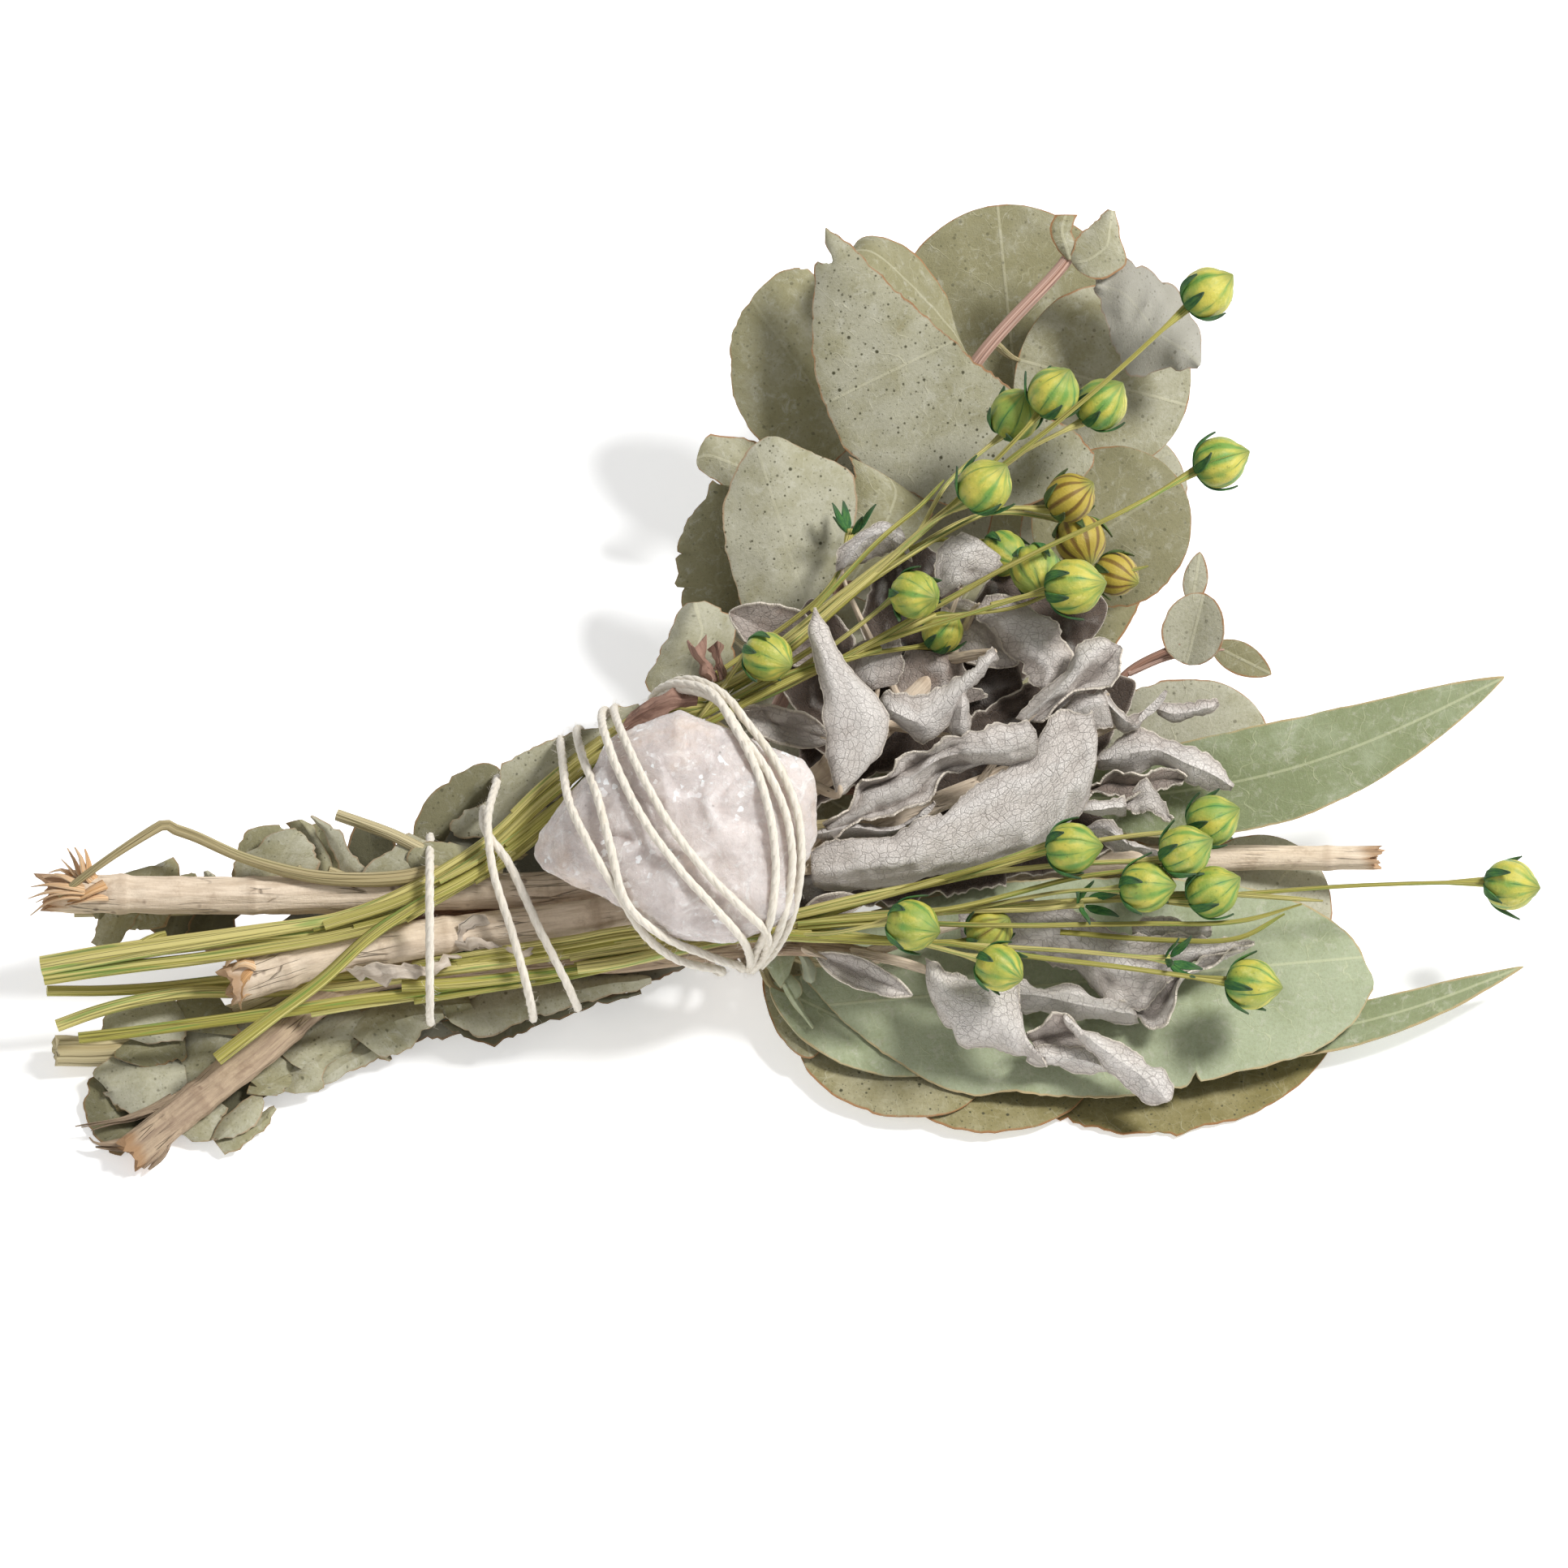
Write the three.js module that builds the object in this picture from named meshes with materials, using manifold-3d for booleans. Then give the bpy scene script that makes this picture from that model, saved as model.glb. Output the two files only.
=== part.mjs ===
// A tied bunch of dried white sage, eucalyptus and flax with a rose quartz, lying on a table.
// Millimetres. The bunch is laid out on a sloping face: x runs across it from the cut stems to
// the leaves, y runs up it, and z stands out of it. The face group turns that frame into the
// part's own, with +Z up and the table at z = 0.
import * as THREE from "three";
import { mergeVertices } from "three/addons/utils/BufferGeometryUtils.js";
import Module from "manifold-3d";

const wasm = await Module();
wasm.setup();

const faceLean = THREE.MathUtils.degToRad(35); // the face rises this much from front to back
const centreShift = { x: -0.85, y: -64.58 }; // brings the middle of the bunch over the origin
const clearance = 0.35; // air left round a piece where its neighbour is cut back from it
const bladeThickness = 0.7;
const weldDistance = 0.003;
const leastDetail = 0.1; // what a cut leaves that is smaller than this is smoothed away
const restingThickness = 1.0; // of a leaf that lies flat on the table
const petioleRadius = 0.65;
const stringRadius = 0.75;
const podRadius = 3.9;
const podLength = 8.4;

const level = [0, Math.sin(faceLean), Math.cos(faceLean)]; // straight up, in the face's frame
const vec = ([x, y, z]) => new THREE.Vector3(x, y, z);

// A place over the table, x across, y away from the front and z up, in the face's frame.
const table = (x, y, z = restingThickness / 2) => [
  x,
  y * Math.cos(faceLean) + z * Math.sin(faceLean),
  z * Math.cos(faceLean) - y * Math.sin(faceLean),
];

// ---------------------------------------------------------------- solids

// A closed mesh, given as points and triples of their numbers, as a solid.
function solidOf(points, triangles) {
  const vertProperties = new Float32Array(points.flatMap((p) => [p.x, p.y, p.z]));
  const triVerts = new Uint32Array(triangles.flat());
  return new wasm.Manifold(new wasm.Mesh({ numProp: 3, vertProperties, triVerts }));
}

const joined = (solids) => wasm.Manifold.union(solids);

// A skin over rings of points that all have the same count, closed at both ends.
function loft(rings) {
  const count = rings[0].length;
  const last = (rings.length - 1) * count;
  const triangles = [];
  for (let start = 0; start < last; start += count) {
    for (let k = 0; k < count; k++) {
      const a = start + k;
      const b = start + ((k + 1) % count);
      triangles.push([a, b, b + count], [a, b + count, a + count]);
    }
  }
  for (let k = 1; k < count - 1; k++) {
    triangles.push([0, k + 1, k], [last, last + k, last + k + 1]);
  }
  return solidOf(rings.flat(), triangles);
}

// A round bar whose middle runs through the points, with a radius for each.
function bar(middles, radii, sides, grow) {
  const last = middles.length - 1;
  const ahead = middles.map((_, i) =>
    middles[Math.min(i + 1, last)].clone().sub(middles[Math.max(i - 1, 0)]).normalize(),
  );
  const first = Math.abs(ahead[0].x) < 0.7 ? new THREE.Vector3(1, 0, 0) : new THREE.Vector3(0, 0, 1);
  const normal = first.cross(ahead[0]).normalize();
  const rings = middles.map((middle, i) => {
    normal.addScaledVector(ahead[i], -normal.dot(ahead[i])).normalize();
    const binormal = new THREE.Vector3().crossVectors(ahead[i], normal);
    const centre = middle.clone().addScaledVector(ahead[i], i === 0 ? -grow : i === last ? grow : 0);
    return Array.from({ length: sides }, (_, k) => {
      const turn = (2 * Math.PI * k) / sides;
      return centre
        .clone()
        .addScaledVector(normal, (radii[i] + grow) * Math.cos(turn))
        .addScaledVector(binormal, (radii[i] + grow) * Math.sin(turn));
    });
  });
  return loft(rings);
}

const smooth = (points) => new THREE.CatmullRomCurve3(points.map(vec), false, "centripetal");

// A stem along a smooth curve through the points. Its radii are spread evenly along it.
function stem(points, radii, { sides = 5, perPoint = 2, grow = 0 } = {}) {
  const middles = smooth(points).getPoints((points.length - 1) * perPoint);
  const spread = middles.map((_, i) => {
    const along = (i / (middles.length - 1)) * (radii.length - 1);
    const low = Math.min(Math.floor(along), radii.length - 2);
    return radii[low] + (radii[low + 1] - radii[low]) * (along - low);
  });
  return bar(middles, spread, sides, grow);
}

// Half the width of a leaf at a share s of its length, as a share of its widest half.
const outlines = {
  round: (s) => Math.sqrt(Math.max(0, 1 - (2 * s - 1) ** 2)) * (1.04 - 0.12 * s),
  lance: (s) => 2.05 * Math.pow(s, 0.72) * Math.pow(1 - s, 0.85) * (1 - 0.18 * s),
  sage: (s) => Math.pow(Math.sin(Math.PI * Math.pow(s, 0.92)), 0.7),
  tongue: (s) => Math.min(1, 1.9 * Math.pow(s, 0.6)) * Math.sqrt(Math.max(0, 1 - Math.pow(s, 9))),
};

// A leaf blade from base to tip. Its halves fold (degrees at the midrib) and curl (degrees more
// by the edge) towards the side it faces. It arches along its length (degrees), sweeps sideways
// (millimetres) and twists, and its edges wave.
function blade({ base, tip, width, ...options }, grow = 0) {
  const {
    outline = "round", facing = [0, 0, 1], foldLeft = 0, foldRight = 0, curlLeft = 0, curlRight = 0,
    arch = 0, sweep = 0, twist = 0, wave = 0, waves = 2, rows = width > 9 ? 5 : 4,
    columns = 2, thickness = bladeThickness,
  } = options;
  const root = vec(base);
  const chord = vec(tip).sub(root);
  const length = chord.length();
  const forward = chord.clone().normalize();
  const normal = vec(facing);
  normal.addScaledVector(forward, -normal.dot(forward)).normalize();
  const side = new THREE.Vector3().crossVectors(forward, normal);
  const bend = THREE.MathUtils.degToRad(arch || 0.01);
  const bendRadius = length / (2 * Math.sin(bend / 2));
  const half = thickness / 2 + grow;

  const place = (s, t) => {
    const reach = s + (grow * (2 * s - 1)) / length;
    const turn = bend * (reach - 0.5);
    const lift = normal.clone().multiplyScalar(Math.cos(turn)).addScaledVector(forward, Math.sin(turn));
    const roll = THREE.MathUtils.degToRad(twist) * (reach - 0.5);
    const rightWay = side.clone().multiplyScalar(Math.cos(roll)).addScaledVector(lift, Math.sin(roll));
    const frontWay = lift.multiplyScalar(Math.cos(roll)).addScaledVector(side, -Math.sin(roll));
    const reachOut = (width / 2) * outlines[outline](s) + (s > 0 && s < 1 ? grow : 0);
    const share = Math.abs(t);
    const way = Math.sign(t);
    const fold = THREE.MathUtils.degToRad(t < 0 ? foldLeft : foldRight);
    const curl = THREE.MathUtils.degToRad((t < 0 ? curlLeft : curlRight) || 0.01);
    const slope = fold + curl * share;
    const across = (Math.sin(slope) - Math.sin(fold)) / curl;
    const above = (Math.cos(fold) - Math.cos(slope)) / curl;
    const ripple = wave * share * share * Math.sin(2 * Math.PI * waves * s + (t < 0 ? 1.3 : 0));
    const point = root
      .clone()
      .addScaledVector(forward, bendRadius * Math.sin(turn) + length / 2)
      .addScaledVector(normal, bendRadius * (Math.cos(turn) - Math.cos(bend / 2)))
      .addScaledVector(side, sweep * Math.sin(Math.PI * reach))
      .addScaledVector(rightWay, way * across * reachOut)
      .addScaledVector(frontWay, above * reachOut + ripple);
    const face = frontWay
      .clone()
      .multiplyScalar(Math.cos(slope * (share > 0 ? 1 : 0)))
      .addScaledVector(rightWay, -way * Math.sin(slope));
    return [point, face];
  };

  const front = [];
  const back = [];
  const add = (s, t) => {
    const [point, face] = place(s, t);
    front.push(point.clone().addScaledVector(face, half));
    back.push(point.clone().addScaledVector(face, -half));
  };
  add(0, 0);
  for (let r = 1; r < rows; r++) {
    const s = (1 - Math.cos((Math.PI * r) / rows)) / 2;
    for (let c = 0; c <= columns; c++) add(s, (2 * c) / columns - 1);
  }
  add(1, 0);

  const count = front.length;
  const at = (r, c) => 1 + (r - 1) * (columns + 1) + c;
  const skin = [];
  for (let c = 0; c < columns; c++) {
    skin.push([0, at(1, c + 1), at(1, c)]);
    skin.push([count - 1, at(rows - 1, c), at(rows - 1, c + 1)]);
    for (let r = 1; r < rows - 1; r++) {
      skin.push([at(r, c), at(r, c + 1), at(r + 1, c + 1)], [at(r, c), at(r + 1, c + 1), at(r + 1, c)]);
    }
  }
  const rim = [0];
  for (let r = 1; r < rows; r++) rim.push(at(r, columns));
  rim.push(count - 1);
  for (let r = rows - 1; r > 0; r--) rim.push(at(r, 0));
  const triangles = [...skin, ...skin.map(([a, b, c]) => [a + count, c + count, b + count])];
  rim.forEach((a, i) => {
    const b = rim[(i + 1) % rim.length];
    triangles.push([a, a + count, b + count], [a, b + count, b]);
  });
  return solidOf([...front, ...back], triangles);
}

// A leaf: its blade, and a petiole from where it grows into the blade's base.
function leaf(shape, grow) {
  const made = blade(shape, grow);
  if (!shape.from) return made;
  const base = vec(shape.base);
  const inside = base.clone().lerp(vec(shape.tip), 0.1);
  const radius = shape.petiole ?? petioleRadius;
  const petiole = stem([shape.from, shape.base, inside.toArray()], [radius * 1.1, radius * 0.8], {
    sides: 3, perPoint: 1, grow,
  });
  return joined([made, petiole]);
}

// A sprig: stems, each { points, radii }, and the leaves that grow on them, as one body.
const sprig = ({ stems = [], leaves = [], sides = 5 }) => (grow) => joined([
  ...stems.map(({ points, radii, ...more }) => stem(points, radii, { sides, ...more, grow })),
  ...leaves.map((shape) => leaf(shape, grow)),
]);

// ---------------------------------------------------------------- rose quartz

const quartz = {
  middle: [-15.5, 44.5],
  outline: [
    [-36.9, 40.6], [-35.1, 44.1], [-31.3, 48.8], [-26.8, 54.1], [-25.2, 57.6], [-19.5, 60],
    [-14.8, 61.8], [-7.8, 60], [-1.9, 57.1], [2.2, 55.3], [4.4, 51.8], [4.9, 44.1], [2.2, 37.6],
    [1.1, 31.8], [-6.6, 28.2], [-16, 28.8], [-23.1, 32.9], [-28.9, 35.9], [-33.6, 37.6],
  ],
  // each level of the stone: how far out of the face, and its size there
  levels: [[6.6, 0.7], [8.6, 0.93], [12.4, 1], [15.6, 0.9], [18, 0.64], [18.8, 0.3]],
  roughness: 0.035,
};

// How far out the front of the stone is at a place, or -1 beside the stone.
function stoneFront(x, y) {
  const [middleX, middleY] = quartz.middle;
  const ray = new THREE.Vector2(x - middleX, y - middleY);
  let share = 0;
  quartz.outline.forEach((corner, k) => {
    const next = quartz.outline[(k + 1) % quartz.outline.length];
    const a = new THREE.Vector2(corner[0] - middleX, corner[1] - middleY);
    const b = new THREE.Vector2(next[0] - middleX, next[1] - middleY);
    const spread = a.cross(b);
    if (ray.cross(a) * ray.cross(b) <= 0 && (ray.dot(a) > 0 || ray.dot(b) > 0)) {
      share = Math.max(share, (ray.cross(b) - ray.cross(a)) / spread);
    }
  });
  const front = quartz.levels.slice(2);
  const outer = front.findIndex(([, size]) => share > size);
  if (outer === 0) return -1;
  if (outer < 0) return front[front.length - 1][0];
  const [[lowZ, lowSize], [highZ, highSize]] = [front[outer - 1], front[outer]];
  return lowZ + ((highZ - lowZ) * (lowSize - share)) / (lowSize - highSize);
}

function quartzStone(grow) {
  const [middleX, middleY] = quartz.middle;
  const rings = quartz.levels.map(([z, size], level) =>
    quartz.outline.map(([x, y], k) => {
      const chip = 1 + quartz.roughness * Math.sin(5.1 * k + 2.3 * level);
      const out = new THREE.Vector2(x - middleX, y - middleY);
      const reach = out.length();
      out.setLength(reach * size * (level === 2 ? 1 : chip) + grow);
      const lean = level < 2 ? 0 : 0.9 * Math.sin(1.9 * k + level);
      const grown = level === 0 ? -grow : level === quartz.levels.length - 1 ? grow : grow * 0.7;
      return new THREE.Vector3(middleX + out.x, middleY + out.y, z + lean + grown);
    }),
  );
  return loft(rings.map((ring) => [...ring].reverse()));
}

// ---------------------------------------------------------------- cotton string

// Where the string crosses the front of the bunch, turn by turn, from top to bottom.
const stringTurns = [
  [[-51.3, 43, -1], [-51.3, 40, 6.5], [-51.3, 34, 10.4], [-51.3, 26, 8.4], [-51.3, 20, 7],
    [-51.3, 16.4, 1]],
  [[-41.8, 54, -4], [-43.1, 45, 7.2], [-42, 38, 9.6], [-39.5, 30, 8.4], [-37.3, 22, 7.4], [-36.4, 17, 1]],
  [[-43.7, 50, -3], [-43.3, 46.4, 6.6], [-40.1, 40, 9], [-35.4, 30, 8.4], [-31.8, 23, 7.6],
    [-30, 17.6, 1]],
  [[-32.9, 60, -3], [-32.5, 54, 5.5], [-31, 48, 15.2], [-27.4, 41, 18.6], [-24.2, 35.3, 17],
    [-20.5, 29.5, 14.6],
    [-14, 26, 9], [-8, 22.8, 4]],
  [[-29.8, 61, -2], [-29.5, 56, 10], [-27.4, 50, 16.6], [-24.6, 41.2, 20], [-21, 33, 17.8],
    [-14.5, 28.2, 15],
    [-9, 25.6, 9], [-4.4, 22.2, 3]],
  [[-26.2, 64, -2], [-25, 58, 14.8], [-22.5, 51.8, 18.4], [-18.4, 44.4, 20.8], [-13.6, 37.6, 20.4],
    [-8, 31.4, 17], [-4.6, 27.4, 13.4], [-3, 23.2, 3]],
  [[-24.4, 64.6, -2], [-23.3, 58.6, 15], [-19.9, 51.4, 19.6], [-15.6, 44, 20.8], [-11, 37.8, 20.6],
    [-5.6, 31.9, 17.6], [-2, 28.6, 14], [-0.8, 24.2, 3]],
  [[-16, 66.4, -3], [-12.4, 64.4, 9], [-10.1, 62.6, 14.5], [-5.4, 54.1, 18.4], [-1.5, 44.6, 17.6],
    [-0.7, 37.6, 17.4], [-2.2, 30, 15.4], [-3.9, 25.2, 8], [-4.6, 22.6, 2]],
  [[-13.2, 67.4, -3], [-9.4, 65, 9], [-7.2, 62, 14.4], [-2.2, 53.1, 17.6], [2, 43.4, 17], [1.9, 36, 16.4],
    [-0.9, 27.6, 12.5], [-2.6, 23.4, 3]],
];
const stringBack = { handle: -14.5, neck: -18.5, neckFrom: -36 }; // how far behind it crosses back
const stringAbove = 2; // from the stone's front to the middle of the string

function cottonString(grow) {
  const route = [];
  stringTurns.forEach((turn, i) => {
    route.push(...turn);
    const next = stringTurns[i + 1];
    if (!next) return;
    const from = vec(turn[turn.length - 1]);
    const to = vec(next[0]);
    for (const share of [0.06, 0.5, 0.94]) {
      const point = from.clone().lerp(to, share);
      const behind = point.x > stringBack.neckFrom ? stringBack.neck : stringBack.handle;
      point.z = share > 0.2 && share < 0.8 ? behind : behind * 0.62;
      point.y += share < 0.2 ? -1 : share > 0.8 ? 1 : 0;
      route.push(point.toArray());
    }
  });
  const middles = route.map(vec);
  for (const point of middles) {
    const front = stoneFront(point.x, point.y);
    if (front > 0 && point.z > 0) point.z = Math.max(point.z, front + stringAbove);
  }
  return bar(middles, middles.map(() => stringRadius), 5, grow);
}

// ---------------------------------------------------------------- white sage

const sageUpper = {
  stems: [
    {
      points: [[-106.6, 35.3, 1], [-90.1, 34.9, 1.6], [-66.6, 34.9, 1.6], [-47.8, 35.5, 1.2],
        [-29, 36.4, -1.4], [-10, 42.5, -1.4], [5, 52, -3.4], [18, 63, -6], [27, 74, -9]],
      radii: [2.9, 2.7, 2.6, 2.5, 2.2, 1.8, 1.2], sides: 6, perPoint: 1,
    },
  ],
  leaves: [
    { base: [7.4, 48.8, 5.8], tip: [4.2, 76.4, 9.6], width: 11, outline: "sage", from: [3.6, 51.2, -2.6],
      foldLeft: 35, foldRight: 25, arch: 25, sweep: 2.4 },
    { base: [30.5, 71.2, 2], tip: [13.6, 62, 5], width: 11, outline: "sage", from: [23, 69, -7.6],
      foldLeft: 35, foldRight: 25, arch: 20 },
    { base: [15, 64, -2], tip: [30, 69.4, -1], width: 8, outline: "sage", from: [14, 59.6, -5],
      foldLeft: 40, foldRight: -25, arch: 20 },
    { base: [29, 77, -3], tip: [42.6, 64.6, -1], width: 12, outline: "sage", from: [25.6, 72.4, -8.6],
      foldLeft: 20, foldRight: 30, arch: -20 },
    { base: [9.2, 76, -6], tip: [24.6, 86.8, -4], width: 9.5, outline: "sage", from: [17, 62.6, -6],
      foldRight: 50, foldLeft: 20, sweep: -6, arch: 35, rows: 6 },
    { base: [20.6, 76.4, -5], tip: [32, 83, -3], width: 9, outline: "sage", from: [21, 67, -6.8],
      foldLeft: 40, foldRight: 40 },
    { base: [23, 77, -8], tip: [34, 68.4, -6], width: 9, outline: "sage", from: [26, 73, -8.8],
      foldLeft: 30 },
    { base: [5, 66.4, -5], tip: [17.2, 73.4, -4], width: 10, outline: "sage", from: [12, 58.4, -4.6],
      foldLeft: -25, foldRight: 25, arch: -25 },
    { base: [6, 70, -9], tip: [-8, 76, -8], width: 9, outline: "sage", from: [11, 57.6, -4.6],
      foldLeft: 30, foldRight: 20, arch: 20 },
    { base: [7, 57.4, -2], tip: [-7.2, 61.6, -2], width: 6.5, outline: "sage", from: [4, 51.4, -3.2],
      foldLeft: 30, foldRight: 30 },
    { base: [26, 72.6, -9.4], tip: [47, 77, -18], width: 17, outline: "sage" },
    { base: [18, 63.6, -7.4], tip: [20, 86, -17], width: 16, outline: "sage" },
    { base: [8, 54.6, -5], tip: [4, 78, -14], width: 12, outline: "sage" },
  ],
};

const sageLower = {
  stems: [
    {
      points: [[-80.1, 21.8, 3.4], [-66.6, 25.3, 3], [-51.3, 28, 2.4], [-30, 30.6, 2.6],
        [-12, 34.8, 0.6], [4, 41, -2.4], [20, 47.4, -4.4], [38, 55, -6]],
      radii: [3, 2.9, 2.6, 2.2, 2, 1.6, 1], sides: 6, perPoint: 1,
    },
  ],
  leaves: [
    { base: [3, 36.6, 1], tip: [45.4, 54, 0.4], width: 17, outline: "tongue", from: [-2, 38.8, -1.2],
      foldLeft: 10, curlLeft: 50, foldRight: -8, curlRight: -25, arch: 18, rows: 7, columns: 4 },
    { base: [5, 43.6, 3], tip: [36, 58, 6.4], width: 9.5, outline: "sage", from: [2, 40.2, -2],
      foldLeft: 45, foldRight: -10, arch: 14 },
    { base: [8.4, 48.4, 0.4], tip: [31, 60, 3], width: 8.5, outline: "sage", from: [3.6, 41, -2],
      foldLeft: 50, foldRight: 10, arch: 12 },
    { base: [21, 53.4, 7], tip: [37.6, 61.4, 9], width: 10, outline: "sage", from: [18, 46.8, -3.6],
      foldLeft: -20, foldRight: -30, arch: 20 },
    { base: [33, 57, 1], tip: [47.6, 62.6, 1.6], width: 9, outline: "sage", from: [26, 49.8, -4.8],
      foldLeft: 30, foldRight: 25, arch: 20 },
    { base: [32, 60.6, -2], tip: [50, 71.2, 0], width: 10, outline: "sage", from: [28, 50.8, -5],
      foldLeft: 60, foldRight: 50, arch: 12 },
    { base: [38.6, 59, -4], tip: [51.4, 66.4, -3], width: 8, outline: "sage", from: [32, 52.6, -5.4],
      foldLeft: 40, foldRight: 10 },
    { base: [44, 60, -7], tip: [61.6, 63.2, -5], width: 6, outline: "sage", from: [36, 54.2, -5.9],
      foldLeft: 20, foldRight: 40, sweep: -2 },
    { base: [45, 56.4, -5], tip: [64.4, 51, -3], width: 9.5, outline: "sage", from: [37, 54.6, -5.9],
      foldLeft: 40, foldRight: -15, sweep: -2, arch: -15 },
    { base: [44, 50.4, 0], tip: [58, 54, -0.5], width: 7, outline: "sage", from: [30, 51.6, -5.4],
      foldLeft: 55, foldRight: 30 },
    { base: [43, 46.6, -3], tip: [56.4, 49, -2], width: 7.5, outline: "sage", from: [34, 53.2, -5.6],
      foldLeft: 40, foldRight: -20 },
    { base: [42, 44, -7], tip: [54, 39.8, -5], width: 7, outline: "sage", from: [30, 51.4, -5.6],
      foldLeft: 50, sweep: -2.5 },
    { base: [22, 48.6, -5.4], tip: [51, 66, -12], width: 16, outline: "sage" },
    { base: [12, 43.8, -4.2], tip: [50, 44, -11], width: 14, outline: "sage", foldLeft: -20 },
  ],
};

const sageLow = {
  stems: [
    {
      points: [[-94.8, -2.4, 4.9], [-78.4, 10.6, 1.4], [-63.1, 22, -3.4], [-44, 24.4, -4.8],
        [-22, 25.6, -4.6], [-6, 27.4, -1.6], [6, 27.2, 1.4], [14, 26, 2]],
      radii: [2.65, 2.6, 2.4, 2.1, 1.9, 1.6, 1], sides: 6, perPoint: 1,
    },
  ],
  leaves: [
    { base: [19, 20.8, 5], tip: [56.8, 6.2, 7], width: 16, outline: "sage", from: [6, 27.4, 1.4],
      petiole: 0.9, foldLeft: 40, curlLeft: 40, foldRight: -10, sweep: 3, arch: 8, rows: 7, columns: 4 },
    { base: [24, 31, 1.6], tip: [62.6, 27.4, 2], width: 15, outline: "sage", from: [12, 26.6, 1.8],
      foldLeft: -15, foldRight: 25, arch: 10, rows: 6 },
    { base: [28, 22, 1], tip: [67.8, 26.6, 2], width: 11, outline: "sage", from: [13, 26.2, 1.9],
      foldRight: 60, foldLeft: 15, sweep: 5, rows: 6 },
    { base: [4.6, 26.4, 3.4], tip: [18.6, 20.4, 5.6], width: 5, outline: "sage", from: [2, 27.6, 0.6],
      foldLeft: 30, foldRight: 20 },
    { base: [3, 33, 1.8], tip: [12, 34.2, 1.6], width: 4, outline: "sage", from: [0, 28.6, 0],
      foldLeft: 30, foldRight: 20 },
  ],
};

const sageStub = {
  stems: [{ points: [[-105.6, 12.4, -4], [-97.2, 12.6, -5.4], [-80, 17, -9], [-58, 27, -11.4],
    [-38, 31, -11]],
    radii: [2.25, 2.2, 1.8], sides: 6 }],
};

const sageThrough = {
  stems: [{ points: [[-58, 36, -8], [-40, 36, -10.6], [-14, 36.6, -12], [20, 38.6, -13],
    [60, 40.2, -12.6],
    [86, 40.4, -12]], radii: [2.2, 2.2, 2, 1.7], sides: 6 }],
};

// ---------------------------------------------------------------- eucalyptus, round leaves

const roundTop = {
  stems: [
    {
      points: [[-46, 42, -9.6], [-30, 45.6, -10.6], [-10.1, 49.4, -11.6], [5.2, 74.1, -21],
        [15.8, 91.8, -26],
        [28, 112.5, -27.4], [40.6, 126.6, -28], [42.4, 129.4, -28]],
      radii: [1.3, 1.2, 1.1, 0.9], sides: 5, perPoint: 1,
    },
  ],
  leaves: [
    { base: [45.1, 100.2, -26.5], tip: [4.9, 130.8, -23.5], width: 42, foldLeft: 4, foldRight: -74,
      rows: 7,
      facing: [-0.1, -0.1, 1] },
    { base: [34.8, 98.8, -48], tip: [31.1, 135.5, -43], width: 37, from: [20.6, 100, -26.7], rows: 6 },
    { base: [34, 112.9, -39], tip: [58.8, 106.2, -41], width: 29, from: [30.6, 115.2, -27.6], arch: 14 },
    { base: [46.2, 124.6, -30], tip: [60.4, 111.8, -29], width: 12, from: [40.6, 126.2, -28], arch: -20 },
    { base: [41.6, 127, -28], tip: [39.6, 134.4, -28], width: 6.4, facing: [0.6, 0, 1] },
    { base: [42.4, 128.4, -28], tip: [47, 133.8, -26.5], width: 8.4, facing: [-0.4, 0, 1] },
    { base: [12.8, 98.8, -33], tip: [-3.6, 125.9, -31], width: 27.5, from: [15.4, 91.2, -25.9],
      arch: 14 },
    { base: [4.6, 73.2, -21], tip: [2.4, 100.8, -24], width: 26.5, facing: [-0.1, 0.16, 1], rows: 6 },
    { base: [-2, 90, -40], tip: [-12.7, 101.2, -39], width: 10, from: [9, 80.6, -22.9] },
    { base: [-2.6, 72.4, -30], tip: [-10.4, 94.2, -34], width: 20, from: [0.4, 66.6, -18.4] },
    { base: [-11.6, 62, -22], tip: [-15.4, 73.6, -26], width: 7.4, from: [-6, 56.4, -14.2] },
    { base: [-9, 61, -18], tip: [-12.7, 77.6, -20], width: 13, from: [-5.6, 56.8, -14.4] },
    { base: [38.1, 82.4, -31], tip: [57.6, 95.2, -33], width: 24, from: [12, 85.6, -24.4], arch: 14 },
    { base: [8, 80, -34], tip: [27, 101, -36], width: 26, from: [6, 75.4, -21.5] },
  ],
};

const roundLow = {
  stems: [
    { points: [[-56, 23, -9], [-30, 25.4, -10], [-6, 27, -10], table(16, 26, 4), table(34, 30, 1.3)],
      radii: [1.3, 1.2, 1.1, 0.9], sides: 5, perPoint: 1 },
  ],
  leaves: [
    { base: table(27, 33), tip: table(81.4, 21), width: 56, facing: level, thickness: restingThickness,
      rows: 7 },
    { base: table(14, 17.6, 1.7), tip: table(45, 9, 1.7), width: 29, from: table(14, 25.6, 4.4),
      facing: level,
      rows: 6 },
    { base: table(3, 19, 3.4), tip: table(28, 5.4, 2.8), width: 21, from: table(6, 26, 5),
      facing: level },
    { base: table(-1, 27.6, 7), tip: table(4, 10.6, 4.6), width: 8, facing: level },
    { base: [58, 18, -8], tip: [75.4, 41.6, -18.4], width: 25, from: table(34, 29.6, 1.5), arch: 12,
      facing: [0.2, 0.2, 1] },
  ],
};

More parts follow.
